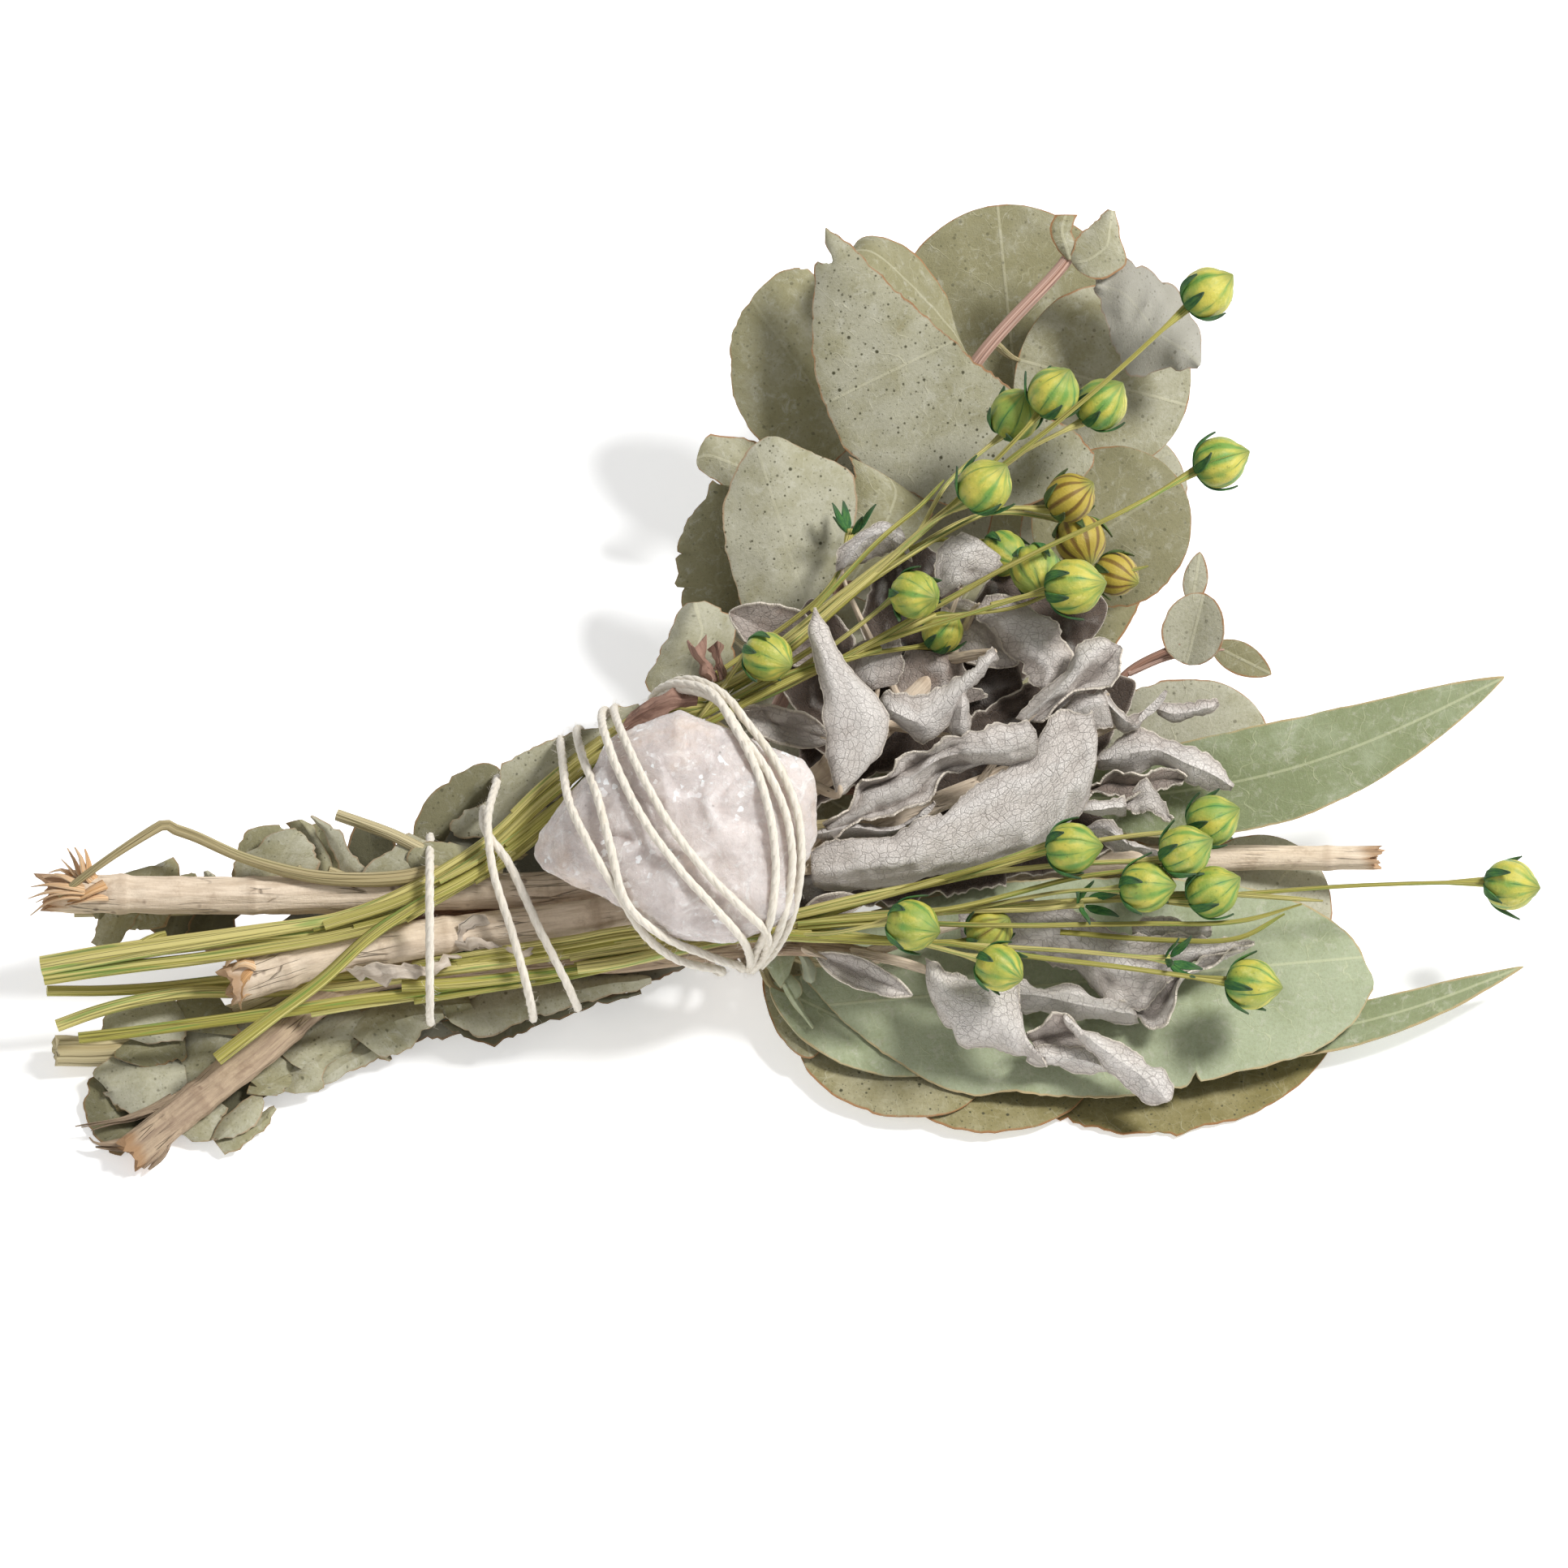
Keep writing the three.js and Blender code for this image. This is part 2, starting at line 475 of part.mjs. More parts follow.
const roundBack = {
  stems: [
    { points: [[-84, 27, -10], [-54, 31.4, -11.4], [-14, 43, -15.2], table(14, 62, 12), table(34, 84, 6),
      table(46, 102, 4)], radii: [1.5, 1.5, 1.2, 0.9], sides: 5, perPoint: 1 },
  ],
  leaves: [
    { base: table(26, 82), tip: table(42, 116), width: 38, from: table(26, 75.4, 8.3), facing: level,
      thickness: restingThickness, rows: 6 },
    { base: table(8, 58, 11.8), tip: table(-2, 92, 3), width: 30, facing: level },
    { base: table(20, 68.6, 10.4), tip: table(17, 106, 9), width: 30, facing: level },
    { base: table(23, 72, 9), tip: table(50, 58, 4), width: 28, facing: level },
    { base: table(40, 93, 5), tip: table(54, 116, 12), width: 24, facing: level },
    { base: table(3, 54, 11.6), tip: table(28, 40, 4.6), width: 24, facing: level },
    { base: table(14, 62, 12.4), tip: table(30, 92, 15), width: 28, facing: [0, 0.9, 0.4] },
    { base: table(0, 52.4, 12.2), tip: table(-2, 84, 13), width: 22, facing: [0, 0.9, 0.4] },
  ],
};

const smallSpray = {
  stems: [
    { points: [[-30, 49, -6], [-4, 50, -9], [26, 52, -14], [44, 60, -17], [50, 67.4, -17],
      [57.6, 71.4, -16]],
      radii: [1, 0.9, 0.7, 0.5], sides: 5 },
    { points: [[50, 67.2, -17], [56, 69.6, -17.4], [64, 70.6, -17]], radii: [0.6, 0.45], sides: 4 },
  ],
  leaves: [
    { base: [58.4, 68.4, -16], tip: [61, 78.8, -15], width: 9.6, foldRight: 25 },
    { base: [59.2, 77, -15.4], tip: [60.4, 84.8, -15], width: 3.6, outline: "sage" },
    { base: [62, 71.4, -17.1], tip: [70.8, 67, -15.6], width: 4.8, outline: "sage" },
    { base: [44, 49, -16.6], tip: [70, 60, -15], width: 24, from: [28, 52.4, -14.4], arch: 14 },
  ],
};

// ---------------------------------------------------------------- eucalyptus, long leaves

const lanceUpper = {
  leaves: [
    { base: [36, 48.6, -13], tip: [104.6, 66.6, -6], width: 23, outline: "lance", from: [-40, 40.6, -5.4],
      petiole: 1, sweep: 5, arch: 14, rows: 9 },
  ],
};

const lanceLower = {
  stems: [
    { points: [[-56, 28.6, -6.4], [-28, 29.8, -7], [-6, 29, -6], [4, 25.4, -4.6]], radii: [1.3, 1.2, 1],
      sides: 5 },
  ],
  leaves: [
    { base: [-0.6, 26.6, -4.8], tip: [84.6, 24.6, -4.6], width: 26, outline: "tongue", sweep: 7.4,
      facing: [0, 0.32, 0.95], rows: 9, arch: 4 },
    { base: [-2, 22, -5.8], tip: [23.4, 9.6, -1.8], width: 13, outline: "sage", facing: [0, 0.45, 0.9],
      rows: 6,
      from: [-4, 27.8, -5.6] },
    { base: [50, 14, -5.4], tip: [107.4, 24.6, -9], width: 12, outline: "lance", from: [3, 25.4, -5],
      sweep: 4.4, facing: [0, 0.5, 0.86], rows: 9 },
  ],
};

// ---------------------------------------------------------------- small leaves round the handle

const handleUpper = {
  stems: [
    { points: [[-105.5, 34.6, 4.6], [-98, 40.6, 4.8], [-89.6, 45.1, 3.4], [-81.4, 42.1, 3],
      [-72.4, 39, 5.2],
      [-61.2, 38.4, 5], [-47.8, 39, 3.4]], radii: [0.8, 0.7, 0.9], sides: 3, perPoint: 1 },
    { points: [[-64.8, 46.6, 0.6], [-57, 43.8, 2], [-50, 40.6, 3.4], [-40.7, 39, 2.6]], radii: [0.9, 0.9],
      sides: 3, perPoint: 1 },
  ],
  leaves: [
    { base: [-80.6, 42.4, 0], tip: [-67.6, 41.4, -1], width: 11, from: [-84, 43.2, 3] },
    { base: [-73.6, 46.4, -2.6], tip: [-65, 43, -3], width: 7, from: [-79.6, 41.4, 3.2] },
    { base: [-66, 40.8, 2.6], tip: [-52.6, 42.6, -1], width: 7, from: [-70, 38.8, 5] },
  ],
};

const handleUnder = {
  stems: [
    { points: [[-103, 32.6, -5.4], [-80, 33.4, -5.6], [-58, 37.6, -5], [-42, 42, -3.6], [-34, 47, -3.2]],
      radii: [0.9, 1, 0.9], sides: 3, perPoint: 1 },
  ],
  leaves: [
    { base: [-97, 33.2, -5.4], tip: [-100.6, 28, -4], width: 7 },
    { base: [-91, 33.4, -5.6], tip: [-96.8, 29.8, -8], width: 8 },
    { base: [-85, 33.6, -5.4], tip: [-90.6, 28.8, -4], width: 7 },
    { base: [-78, 34, -5.4], tip: [-85, 29, -8], width: 8 },
    { base: [-89, 33, -5.4], tip: [-95, 40.4, -3], width: 6 },
    { base: [-68, 35.6, -5.2], tip: [-67.4, 47, -6], width: 9, foldRight: 30 },
    { base: [-53, 41, -6.4], tip: [-41.4, 53.4, -8], width: 9, foldRight: -40, from: [-57, 37.6, -5] },
    { base: [-46, 41, -4.2], tip: [-22, 61.4, -1], width: 10.5, outline: "sage", sweep: 1, rows: 7 },
    { base: [-51.4, 39.6, -4.4], tip: [-44, 43.4, 2.2], width: 4.4, outline: "sage", foldLeft: 60 },
  ],
};

const handleLow = {
  stems: [
    { points: [[-97, 4, -0.4], [-84, 8.6, -4], [-68, 15, -7.4], [-50, 20.4, -8], [-28, 21, -6.4]],
      radii: [0.9, 1, 0.9], sides: 3, perPoint: 1 },
  ],
  leaves: [
    { base: [-94, 5, -1.2], tip: table(-101.4, 1.4, 2), width: 10, facing: level },
    { base: [-88, 7.4, -3], tip: [-101, 10, -3], width: 10, facing: [0, 0.3, 1] },
    { base: [-80, 10, -4.8], tip: [-96, 17, -3], width: 12, facing: [0.1, 0.2, 1] },
    { base: [-85, 8.4, -3.6], tip: [-75, -1.4, 2], width: 11, facing: [0, 0.5, 0.8] },
    { base: [-74, 12.6, -6], tip: [-57, 14.6, -4], width: 9, outline: "sage", facing: [0, 0.2, 1] },
    { base: [-50, 20, -8], tip: [-21.6, 21.4, -4.6], width: 7, outline: "sage", rows: 5 },
  ],
};

// ---------------------------------------------------------------- flax

// A pod on the end of a stem: a ball that comes to a point, held in a collar of five sepals.
// Each ring is how far along the pod's length, its radius, and the radius between the sepals.
const podRings = [[-0.47, 0.22, 0.22], [-0.12, 1.28, 0.9], [0.16, 0.96, 0.96], [0.56, 0.06, 0.06]];
const sepals = 5;

function pod({ at, towards }, grow) {
  const centre = vec(at);
  const axis = vec(towards).normalize();
  const first = Math.abs(axis.z) < 0.8 ? new THREE.Vector3(0, 0, 1) : new THREE.Vector3(1, 0, 0);
  const across = first.cross(axis).normalize();
  const other = new THREE.Vector3().crossVectors(axis, across);
  return loft(podRings.map(([share, tips, between]) =>
    Array.from({ length: 2 * sepals }, (_, k) => {
      const turn = (Math.PI * k) / sepals;
      const reach = podRadius * (k % 2 ? between : tips) + grow;
      return centre
        .clone()
        .addScaledVector(axis, share * (podLength + 2 * grow))
        .addScaledVector(across, reach * Math.cos(turn))
        .addScaledVector(other, reach * Math.sin(turn));
    }),
  ));
}

// A spray of flax: stalks, and pods on branches that leave a stalk at a share of its length.
const flax = ({ stalks, pods }) => (grow) => joined([
  ...stalks.map((points) => stem(points, [0.85, 0.75, 0.7, 0.6], { sides: 4, perPoint: 1, grow })),
  ...pods.flatMap(({ stalk, leave, via, at, towards }) => {
    const start = smooth(stalks[stalk]).getPoint(leave).toArray();
    const end = vec(at).addScaledVector(vec(towards).normalize(), -0.4 * podLength).toArray();
    const branch = stem([start, ...via, end], [0.6, 0.5], { sides: 3, perPoint: 1, grow });
    return [branch, pod({ at, towards }, grow)];
  }),
]);

const flaxUpper = {
  stalks: [
    [[-107.2, 24.6, 4.6], [-84, 26.8, 6], [-64.2, 30.6, 6], [-52.5, 35.3, 5.6], [-43.1, 42.8, 4.4],
      [-32.5, 52.6, 4], [-19.5, 61, 4.2], [-6, 66.6, 4], [10, 79, 2], [24, 91, -2], [36, 100.4, -5]],
    [[-107.2, 21.6, 4.4], [-84, 24, 6.4], [-64.2, 27.8, 7], [-51.5, 32.6, 6.2], [-40.6, 40.4, 5],
      [-30, 49.6, 4.2], [-18.6, 60.8, 4.2], [-5, 63, 4.4], [8, 69, 3], [22, 75.6, 1]],
    [[-81.9, 11.2, 6.6], [-66.6, 22.4, 7.6], [-55, 31.4, 8.8], [-45, 38, 7.6], [-37, 44, 5.4],
      [-26.4, 52.2, 6.4], [-12, 59.4, 7], [2, 66.6, 5.8], [14, 70.8, 1]],
  ],
  pods: [
    { stalk: 0, leave: 0.95, via: [[45, 108, -1]], at: [61.1, 122.1, -10], towards: [0.55, 0.1, 0.8] },
    { stalk: 0, leave: 0.91, via: [[33.6, 101, -3]], at: [38.9, 107.5, -5.4], towards: [0.1, 0.5, 0.8] },
    { stalk: 0, leave: 0.87, via: [[24, 95, -6]], at: [33.4, 104.4, -11], towards: [-0.3, 0.4, 0.8] },
    { stalk: 0, leave: 1, via: [], at: [45.8, 105.9, -11], towards: [0.7, 0.1, 0.6] },
    { stalk: 0, leave: 0.83, via: [[21.6, 89, 1.4]], at: [28.8, 93.9, 3], towards: [0.1, 0.1, 1] },
    { stalk: 1, leave: 0.87, via: [[24, 78, 2.6], [36, 84.4, 3], [50, 91, 0]], at: [62.7, 97.6, -6],
      towards: [0.9, 0.5, 0.2] },
    { stalk: 0, leave: 0.78, via: [[30, 90.6, -6]], at: [41.2, 92.4, -9], towards: [0.4, 0.5, 0.6] },
    { stalk: 0, leave: 0.72, via: [[28, 90, -13]], at: [42.9, 86.8, -16], towards: [0.5, -0.2, 0.8] },
    { stalk: 1, leave: 1, via: [[34, 76.8, -1]], at: [47.9, 81.6, -5], towards: [0.8, 0.1, 0.5] },
    { stalk: 1, leave: 0.96, via: [[31, 77, 4]], at: [41.5, 79.6, 4], towards: [0.3, -0.1, 1] },
    { stalk: 1, leave: 0.92, via: [[28, 80, 0]], at: [36.4, 82.4, -3], towards: [0.2, -0.3, 0.9] },
    { stalk: 0, leave: 0.68, via: [[20, 86, -8]], at: [31.6, 84.7, -12], towards: [0, 0.4, 0.9] },
    { stalk: 1, leave: 0.8, via: [[9, 72.6, 4.6]], at: [18.7, 78.5, 6], towards: [0.2, -0.3, 1] },
    { stalk: 2, leave: 0.98, via: [], at: [22.8, 72.9, -4.6], towards: [0.4, -0.3, 0.9] },
    { stalk: 2, leave: 0.76, via: [[-10, 63.6, 7]], at: [-2.7, 69.6, 9.6], towards: [0.2, -0.1, 1] },
  ],
};

const flaxLower = {
  stalks: [
    [[-106.6, 19, 2.4], [-80.7, 19.6, -1.6], [-66, 20.6, -0.6], [-56, 22.4, 3], [-40, 26.4, 6.2],
      [-21.9, 29.8, 5.6], [-4.2, 30.5, 6.1],
      [12, 34.6, 6.4], [30, 38.4, 7.4]],
    [[-105.4, 15.6, 3], [-84, 17.2, -1], [-62, 18.8, 3], [-40, 23.4, 5.6], [-21.9, 27.4, 6],
      [-4.2, 30, 6.4],
      [12, 31.6, 6.6], [40, 34, 7]],
    [[-98, 10, 5.4], [-80, 13.6, 4.4], [-60, 16.8, 3.4], [-40, 20.4, 4.4], [-21.9, 24.8, 6],
      [-4.2, 29.4, 6.7],
      [8, 29, 7.6], [24, 28, 9]],
  ],
  pods: [
    { stalk: 0, leave: 0.94, via: [[30, 39.4, 10]], at: [41.2, 41.8, 12], towards: [0.2, 0.1, 1] },
    { stalk: 0, leave: 0.98, via: [[44, 42.6, 7.6]], at: [61.6, 45.6, 7], towards: [0.8, 0.3, 0.5] },
    { stalk: 0, leave: 1, via: [[44, 39.6, 9]], at: [57.6, 41.2, 12], towards: [0.5, 0.2, 0.9] },
    { stalk: 1, leave: 0.9, via: [[40, 35.4, 9.6]], at: [51.9, 36.1, 11.4], towards: [0.2, 0.1, 1] },
    { stalk: 1, leave: 0.98, via: [[48, 34.2, 7]], at: [61.6, 35.3, 7.6], towards: [0.5, 0.1, 0.9] },
    { stalk: 2, leave: 0.84, via: [[8, 29.6, 10]], at: [18.2, 30.7, 13], towards: [0.3, 0.1, 1] },
    { stalk: 2, leave: 0.98, via: [], at: [29.5, 29.6, 5], towards: [0.1, 0.6, 1] },
    { stalk: 2, leave: 0.96, via: [], at: [30.8, 24.6, 14.6], towards: [0.1, -0.4, 1] },
    { stalk: 2, leave: 1, via: [[34, 26.4, 9.8], [48, 24.6, 10.4]], at: [67.2, 22.1, 9],
      towards: [0.8, 0, 0.7] },
    { stalk: 1, leave: 1, via: [[64, 35, 3], [84, 36.4, 2]], at: [104.8, 36.5, 1],
      towards: [0.9, -0.1, 0.5] },
  ],
};

// ---------------------------------------------------------------- the bunch

const sageGrey = { color: 0xb5aea8, roughness: 0.95 };
const sageWood = { color: 0xb9a58c, roughness: 0.9 };
const roundGreen = { color: 0x8b8d76, roughness: 0.85 };
const lanceGreen = { color: 0x97a58c, roughness: 0.8 };
const flaxGreen = { color: 0x9aa63a, roughness: 0.7 };
const cotton = { color: 0xe9e2d3, roughness: 0.95 };
const roseQuartz = { color: 0xd9cfcd, roughness: 0.35 };

// In order: a piece is cut back wherever it would run into one named before it.
const pieces = [
  ["cotton_string", cottonString, cotton],
  ["rose_quartz", quartzStone, roseQuartz],
  ["flax_upper", flax(flaxUpper), flaxGreen],
  ["flax_lower", flax(flaxLower), flaxGreen],
  ["sage_sprig_lower", sprig(sageLower), sageGrey],
  ["sage_sprig_upper", sprig(sageUpper), sageGrey],
  ["sage_sprig_low", sprig(sageLow), sageGrey],
  ["sage_stem_stub", sprig(sageStub), sageWood],
  ["sage_stem_through", sprig(sageThrough), sageWood],
  ["eucalyptus_lance_upper", sprig(lanceUpper), lanceGreen],
  ["eucalyptus_lance_lower", sprig(lanceLower), lanceGreen],
  ["eucalyptus_round_top", sprig(roundTop), roundGreen],
  ["eucalyptus_round_low", sprig(roundLow), roundGreen],
  ["eucalyptus_small_spray", sprig(smallSpray), roundGreen],
  ["eucalyptus_round_back", sprig(roundBack), roundGreen],
  ["handle_leaves_upper", sprig(handleUpper), roundGreen],
  ["handle_leaves_under", sprig(handleUnder), roundGreen],
  ["handle_leaves_low", sprig(handleLow), roundGreen],
];

const largestBody = (solid) => solid.decompose().reduce((a, b) => (b.volume() > a.volume() ? b : a));

function geometryOf(solid) {
  const { vertProperties, triVerts } = solid.getMesh();
  const geometry = new THREE.BufferGeometry();
  geometry.setAttribute("position", new THREE.BufferAttribute(vertProperties, 3));
  geometry.setIndex([...triVerts]);
  return geometry;
}

// The solid with corners that all but touch made one, and what then hangs by an edge dropped.
function welded(solid) {
  const { attributes, index } = mergeVertices(geometryOf(solid), weldDistance);
  const triVerts = new Uint32Array(index.array);
  return largestBody(
    new wasm.Manifold(new wasm.Mesh({ numProp: 3, vertProperties: attributes.position.array, triVerts })),
  );
}

function meshOf(solid, name, look) {
  const geometry = geometryOf(solid).toNonIndexed();
  geometry.computeVertexNormals();
  const mesh = new THREE.Mesh(geometry, new THREE.MeshStandardMaterial({ ...look, metalness: 0 }));
  mesh.name = name;
  return mesh;
}

const face = new THREE.Group();
face.rotation.x = faceLean;
face.position.set(centreShift.x, centreShift.y, 0);

let taken = null; // the room that the pieces so far take up, with the clearance round them
for (const [name, build, look] of pieces) {
  const whole = build(0);
  const cut = taken ? whole.subtract(taken) : whole;
  const kept = welded(largestBody(cut.simplify(leastDetail)));
  face.add(meshOf(kept, name, look));
  taken = taken ? taken.add(build(clearance)) : build(clearance);
}

const bunch = new THREE.Group();
bunch.name = "sage_bunch";
bunch.add(face);

export default bunch;
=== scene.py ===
# A tied bunch of white sage, eucalyptus and dyed flax with a rose quartz on its neck.
# The pieces are laid out in millimetres on a sloping face: x runs from the cut stems to the
# leaves, y up the face and z out of it. onTable turns that into the part's own metres.
import math

import bmesh
import bpy
import numpy as np
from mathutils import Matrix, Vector


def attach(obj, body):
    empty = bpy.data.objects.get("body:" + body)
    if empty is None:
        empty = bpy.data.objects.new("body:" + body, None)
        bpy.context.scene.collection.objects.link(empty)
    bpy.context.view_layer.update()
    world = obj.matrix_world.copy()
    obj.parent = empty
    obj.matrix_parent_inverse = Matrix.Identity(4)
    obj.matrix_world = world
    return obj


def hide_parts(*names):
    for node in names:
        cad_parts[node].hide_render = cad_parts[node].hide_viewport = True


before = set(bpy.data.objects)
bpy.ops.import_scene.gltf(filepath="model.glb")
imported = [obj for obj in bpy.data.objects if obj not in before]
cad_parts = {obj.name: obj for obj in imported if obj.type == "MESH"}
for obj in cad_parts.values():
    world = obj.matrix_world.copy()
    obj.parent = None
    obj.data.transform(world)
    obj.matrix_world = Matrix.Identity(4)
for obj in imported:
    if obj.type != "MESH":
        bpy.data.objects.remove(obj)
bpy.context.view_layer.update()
print("frame loaded:", len(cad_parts), "solids")

layout = dict(lean=35, shiftX=-0.85, shiftY=-64.58)  # degrees, and millimetres over the table
leanSine = math.sin(math.radians(layout["lean"]))
leanCosine = math.cos(math.radians(layout["lean"]))
level = (0, leanSine, leanCosine)  # straight up, on the face


def onTable(points):
    p = np.asarray(points, float)
    x = p[..., 0] + layout["shiftX"]
    y = p[..., 1] * leanCosine - p[..., 2] * leanSine + layout["shiftY"]
    z = p[..., 1] * leanSine + p[..., 2] * leanCosine
    return np.stack([x, y, z], -1) / 1000


def table(x, y, z=0.5):  # a place over the table, in the face's frame
    return (x, y * leanCosine + z * leanSine, z * leanCosine - y * leanSine)


# numbers that vary softly

def softNoise(seed, size, *coords):  # from -1 to 1, changing over size
    q = [np.asarray(c, float) / size + 13.7 * (i + 1) + 0.37 * seed for i, c in enumerate(coords)]
    q = np.stack(np.broadcast_arrays(*q), -1)
    cell = np.floor(q).astype(np.int64)
    part = q - cell
    part = part * part * (3 - 2 * part)
    total = 0
    dims = q.shape[-1]
    for corner in range(2 ** dims):
        weight = 1
        key = np.full(q.shape[:-1], 1013904223 + 7919 * int(seed), np.int64)
        for axis in range(dims):
            up = (corner >> axis) & 1
            weight = weight * (part[..., axis] if up else 1 - part[..., axis])
            key = (key ^ ((cell[..., axis] + up) * (73856093, 19349663, 83492791)[axis])) & 0xFFFFFFFF
            key = (key * 1274126177 + 12345) & 0xFFFFFFFF
            key = key ^ (key >> 15)
        total = total + weight * ((key & 0xFFFF) / 32767.5 - 1)
    return total


def layeredNoise(seed, size, *coords, layers=3, fade=0.5):
    total, strength = 0, 1
    for k in range(layers):
        total = total + strength * softNoise(seed + 17 * k, size / 2 ** k, *coords)
        strength *= fade
    return total


def ridgeNoise(seed, size, *coords):  # sharp crests at 1, round hollows down to -1
    return 1 - 2 * np.abs(softNoise(seed, size, *coords))


def unit(vectors):
    length = np.linalg.norm(vectors, axis=-1, keepdims=True)
    return vectors / np.maximum(length, 1e-9)


def between(low, high, x):  # 0 below low, 1 above high
    return np.clip((np.asarray(x, float) - low) / (high - low), 0, 1)


def smoothPath(points, step):  # a curve through the points, cut into even steps
    p = np.asarray(points, float)
    p = np.vstack([2 * p[0] - p[1], p, 2 * p[-1] - p[-2]])
    made = []
    for a, b, c, d in zip(p, p[1:], p[2:], p[3:]):
        knots = [0.0]
        for one, two in ((a, b), (b, c), (c, d)):
            knots.append(knots[-1] + max(np.linalg.norm(two - one) ** 0.5, 1e-4))
        t = np.linspace(knots[1], knots[2], 24, endpoint=False)[:, None]
        t0, t1, t2, t3 = knots
        ab = (t1 - t) / (t1 - t0) * a + (t - t0) / (t1 - t0) * b
        bc = (t2 - t) / (t2 - t1) * b + (t - t1) / (t2 - t1) * c
        cd = (t3 - t) / (t3 - t2) * c + (t - t2) / (t3 - t2) * d
        abc = (t2 - t) / (t2 - t0) * ab + (t - t0) / (t2 - t0) * bc
        bcd = (t3 - t) / (t3 - t1) * bc + (t - t1) / (t3 - t1) * cd
        made.append((t2 - t) / (t2 - t1) * abc + (t - t1) / (t2 - t1) * bcd)
    made = np.vstack(made + [p[-2:-1]])
    along = np.concatenate([[0], np.cumsum(np.linalg.norm(np.diff(made, axis=0), axis=1))])
    count = max(3, int(round(along[-1] / step)) + 1)
    even = np.linspace(0, along[-1], count)
    return np.stack([np.interp(even, along, made[:, k]) for k in range(3)], -1), even


def framesAlong(path):  # the way ahead and two ways across, turning as little as they can
    ahead = unit(np.gradient(path, axis=0))
    first = np.array([0.0, 0, 1]) if abs(ahead[0][2]) < 0.8 else np.array([1.0, 0, 0])
    across = np.empty_like(ahead)
    now = unit(np.cross(first, ahead[0]))
    for i, way in enumerate(ahead):
        now = unit(now - way * now.dot(way))
        across[i] = now
    return ahead, across, np.cross(ahead, across)


# parts: points on the face, faces, a material, and marks that the materials read

def partOf(points, faces, material, **marks):
    points = np.asarray(points, float).reshape(-1, 3)
    full = {k: np.broadcast_to(np.asarray(v, float), len(points)).astype(np.float32)
            for k, v in marks.items()}
    return dict(points=points, faces=faces, material=material, marks=full)


def gridFaces(rows, columns, wrapped=False):
    i, j = np.meshgrid(np.arange(rows - 1), np.arange(columns if wrapped else columns - 1), indexing="ij")
    k = (j + 1) % columns
    a, b = i * columns + j, i * columns + k
    return np.stack([a, b, b + columns, a + columns], -1).reshape(-1, 4)


def closedTube(rings, around):  # rings joined into a tube, with a face over each end
    faces = gridFaces(rings, around, wrapped=True).tolist()
    faces.append(list(range(around))[::-1])
    faces.append([(rings - 1) * around + k for k in range(around)])
    return faces


def meshFrom(name, parts, materials):
    points, faces, slots = [], [], []
    names = sorted({k for p in parts for k in p["marks"]})
    marks = {k: [] for k in names}
    start = 0
    for p in parts:
        points.append(p["points"])
        own = p["faces"].tolist() if isinstance(p["faces"], np.ndarray) else p["faces"]
        faces.extend([v + start for v in face] for face in own)
        slots.extend([p["material"]] * len(p["faces"]))
        for k in names:
            marks[k].append(p["marks"].get(k, np.zeros(len(p["points"]), np.float32)))
        start += len(p["points"])
    mesh = bpy.data.meshes.new(name)
    mesh.from_pydata(onTable(np.vstack(points)).tolist(), [], faces)
    mesh.polygons.foreach_set("material_index", slots)
    mesh.polygons.foreach_set("use_smooth", [True] * len(faces))
    for k in names:
        layer = mesh.attributes.new(k, "FLOAT", "POINT")
        layer.data.foreach_set("value", np.concatenate(marks[k]).astype(np.float32))
    for m in materials:
        mesh.materials.append(m)
    mesh.validate()
    mesh.update()
    mesh.set_sharp_from_angle(angle=math.radians(52))
    return mesh


def newObject(name, data):
    made = bpy.data.objects.new(name, data)
    bpy.context.scene.collection.objects.link(made)
    return made


def addPiece(name, mesh, node):
    piece = newObject(name, mesh)
    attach(piece, "root")
    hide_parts(node)
    mesh.calc_loop_triangles()
    print("made", name, len(mesh.loop_triangles), "triangles")
    return piece


# node trees: each helper adds a node and gives back one of its outputs

def wire(tree, value, socket):
    if isinstance(value, bpy.types.NodeSocket):
        tree.links.new(value, socket)
    elif value is not None:
        socket.default_value = value


def put(tree, kind, *values, out=0, **settings):  # values in the order of the node's inputs
    node = tree.nodes.new(kind)
    for key, value in settings.items():
        setattr(node, key, value)
    for socket, value in zip(node.inputs, values):
        wire(tree, value, socket)
    return node.outputs[out] if len(node.outputs) else node


def putNamed(tree, kind, out, **values):  # values by the names of the node's inputs
    node = tree.nodes.new(kind)
    for key, value in values.items():
        wire(tree, value, node.inputs[key])
    return node.outputs[out]


def calc(tree, operation, *values):
    return put(tree, "ShaderNodeMath", *values, operation=operation)


def plus(tree, a, b):
    return calc(tree, "ADD", a, b)


def minus(tree, a, b):
    return calc(tree, "SUBTRACT", a, b)


def times(tree, a, b):
    return calc(tree, "MULTIPLY", a, b)


def place(tree, x, y, z=0.0):
    return put(tree, "ShaderNodeCombineXYZ", x, y, z)


def mark(tree, name):
    return put(tree, "ShaderNodeAttribute", attribute_name=name, out=2)


def share(tree, value, low, high, toLow=0.0, toHigh=1.0):
    return put(tree, "ShaderNodeMapRange", value, low, high, toLow, toHigh, interpolation_type="SMOOTHSTEP")


def cloud(tree, vector, scale, detail=2.0, roughness=0.5, distortion=0.0):
    return putNamed(tree, "ShaderNodeTexNoise", "Fac", Vector=vector, Scale=scale, Detail=detail,
                    Roughness=roughness, Distortion=distortion)


def cells(tree, vector, scale, feature="F1", out="Distance"):
    node = tree.nodes.new("ShaderNodeTexVoronoi")
    node.feature = feature
    wire(tree, vector, node.inputs["Vector"])
    wire(tree, scale, node.inputs["Scale"])
    return node.outputs[out]


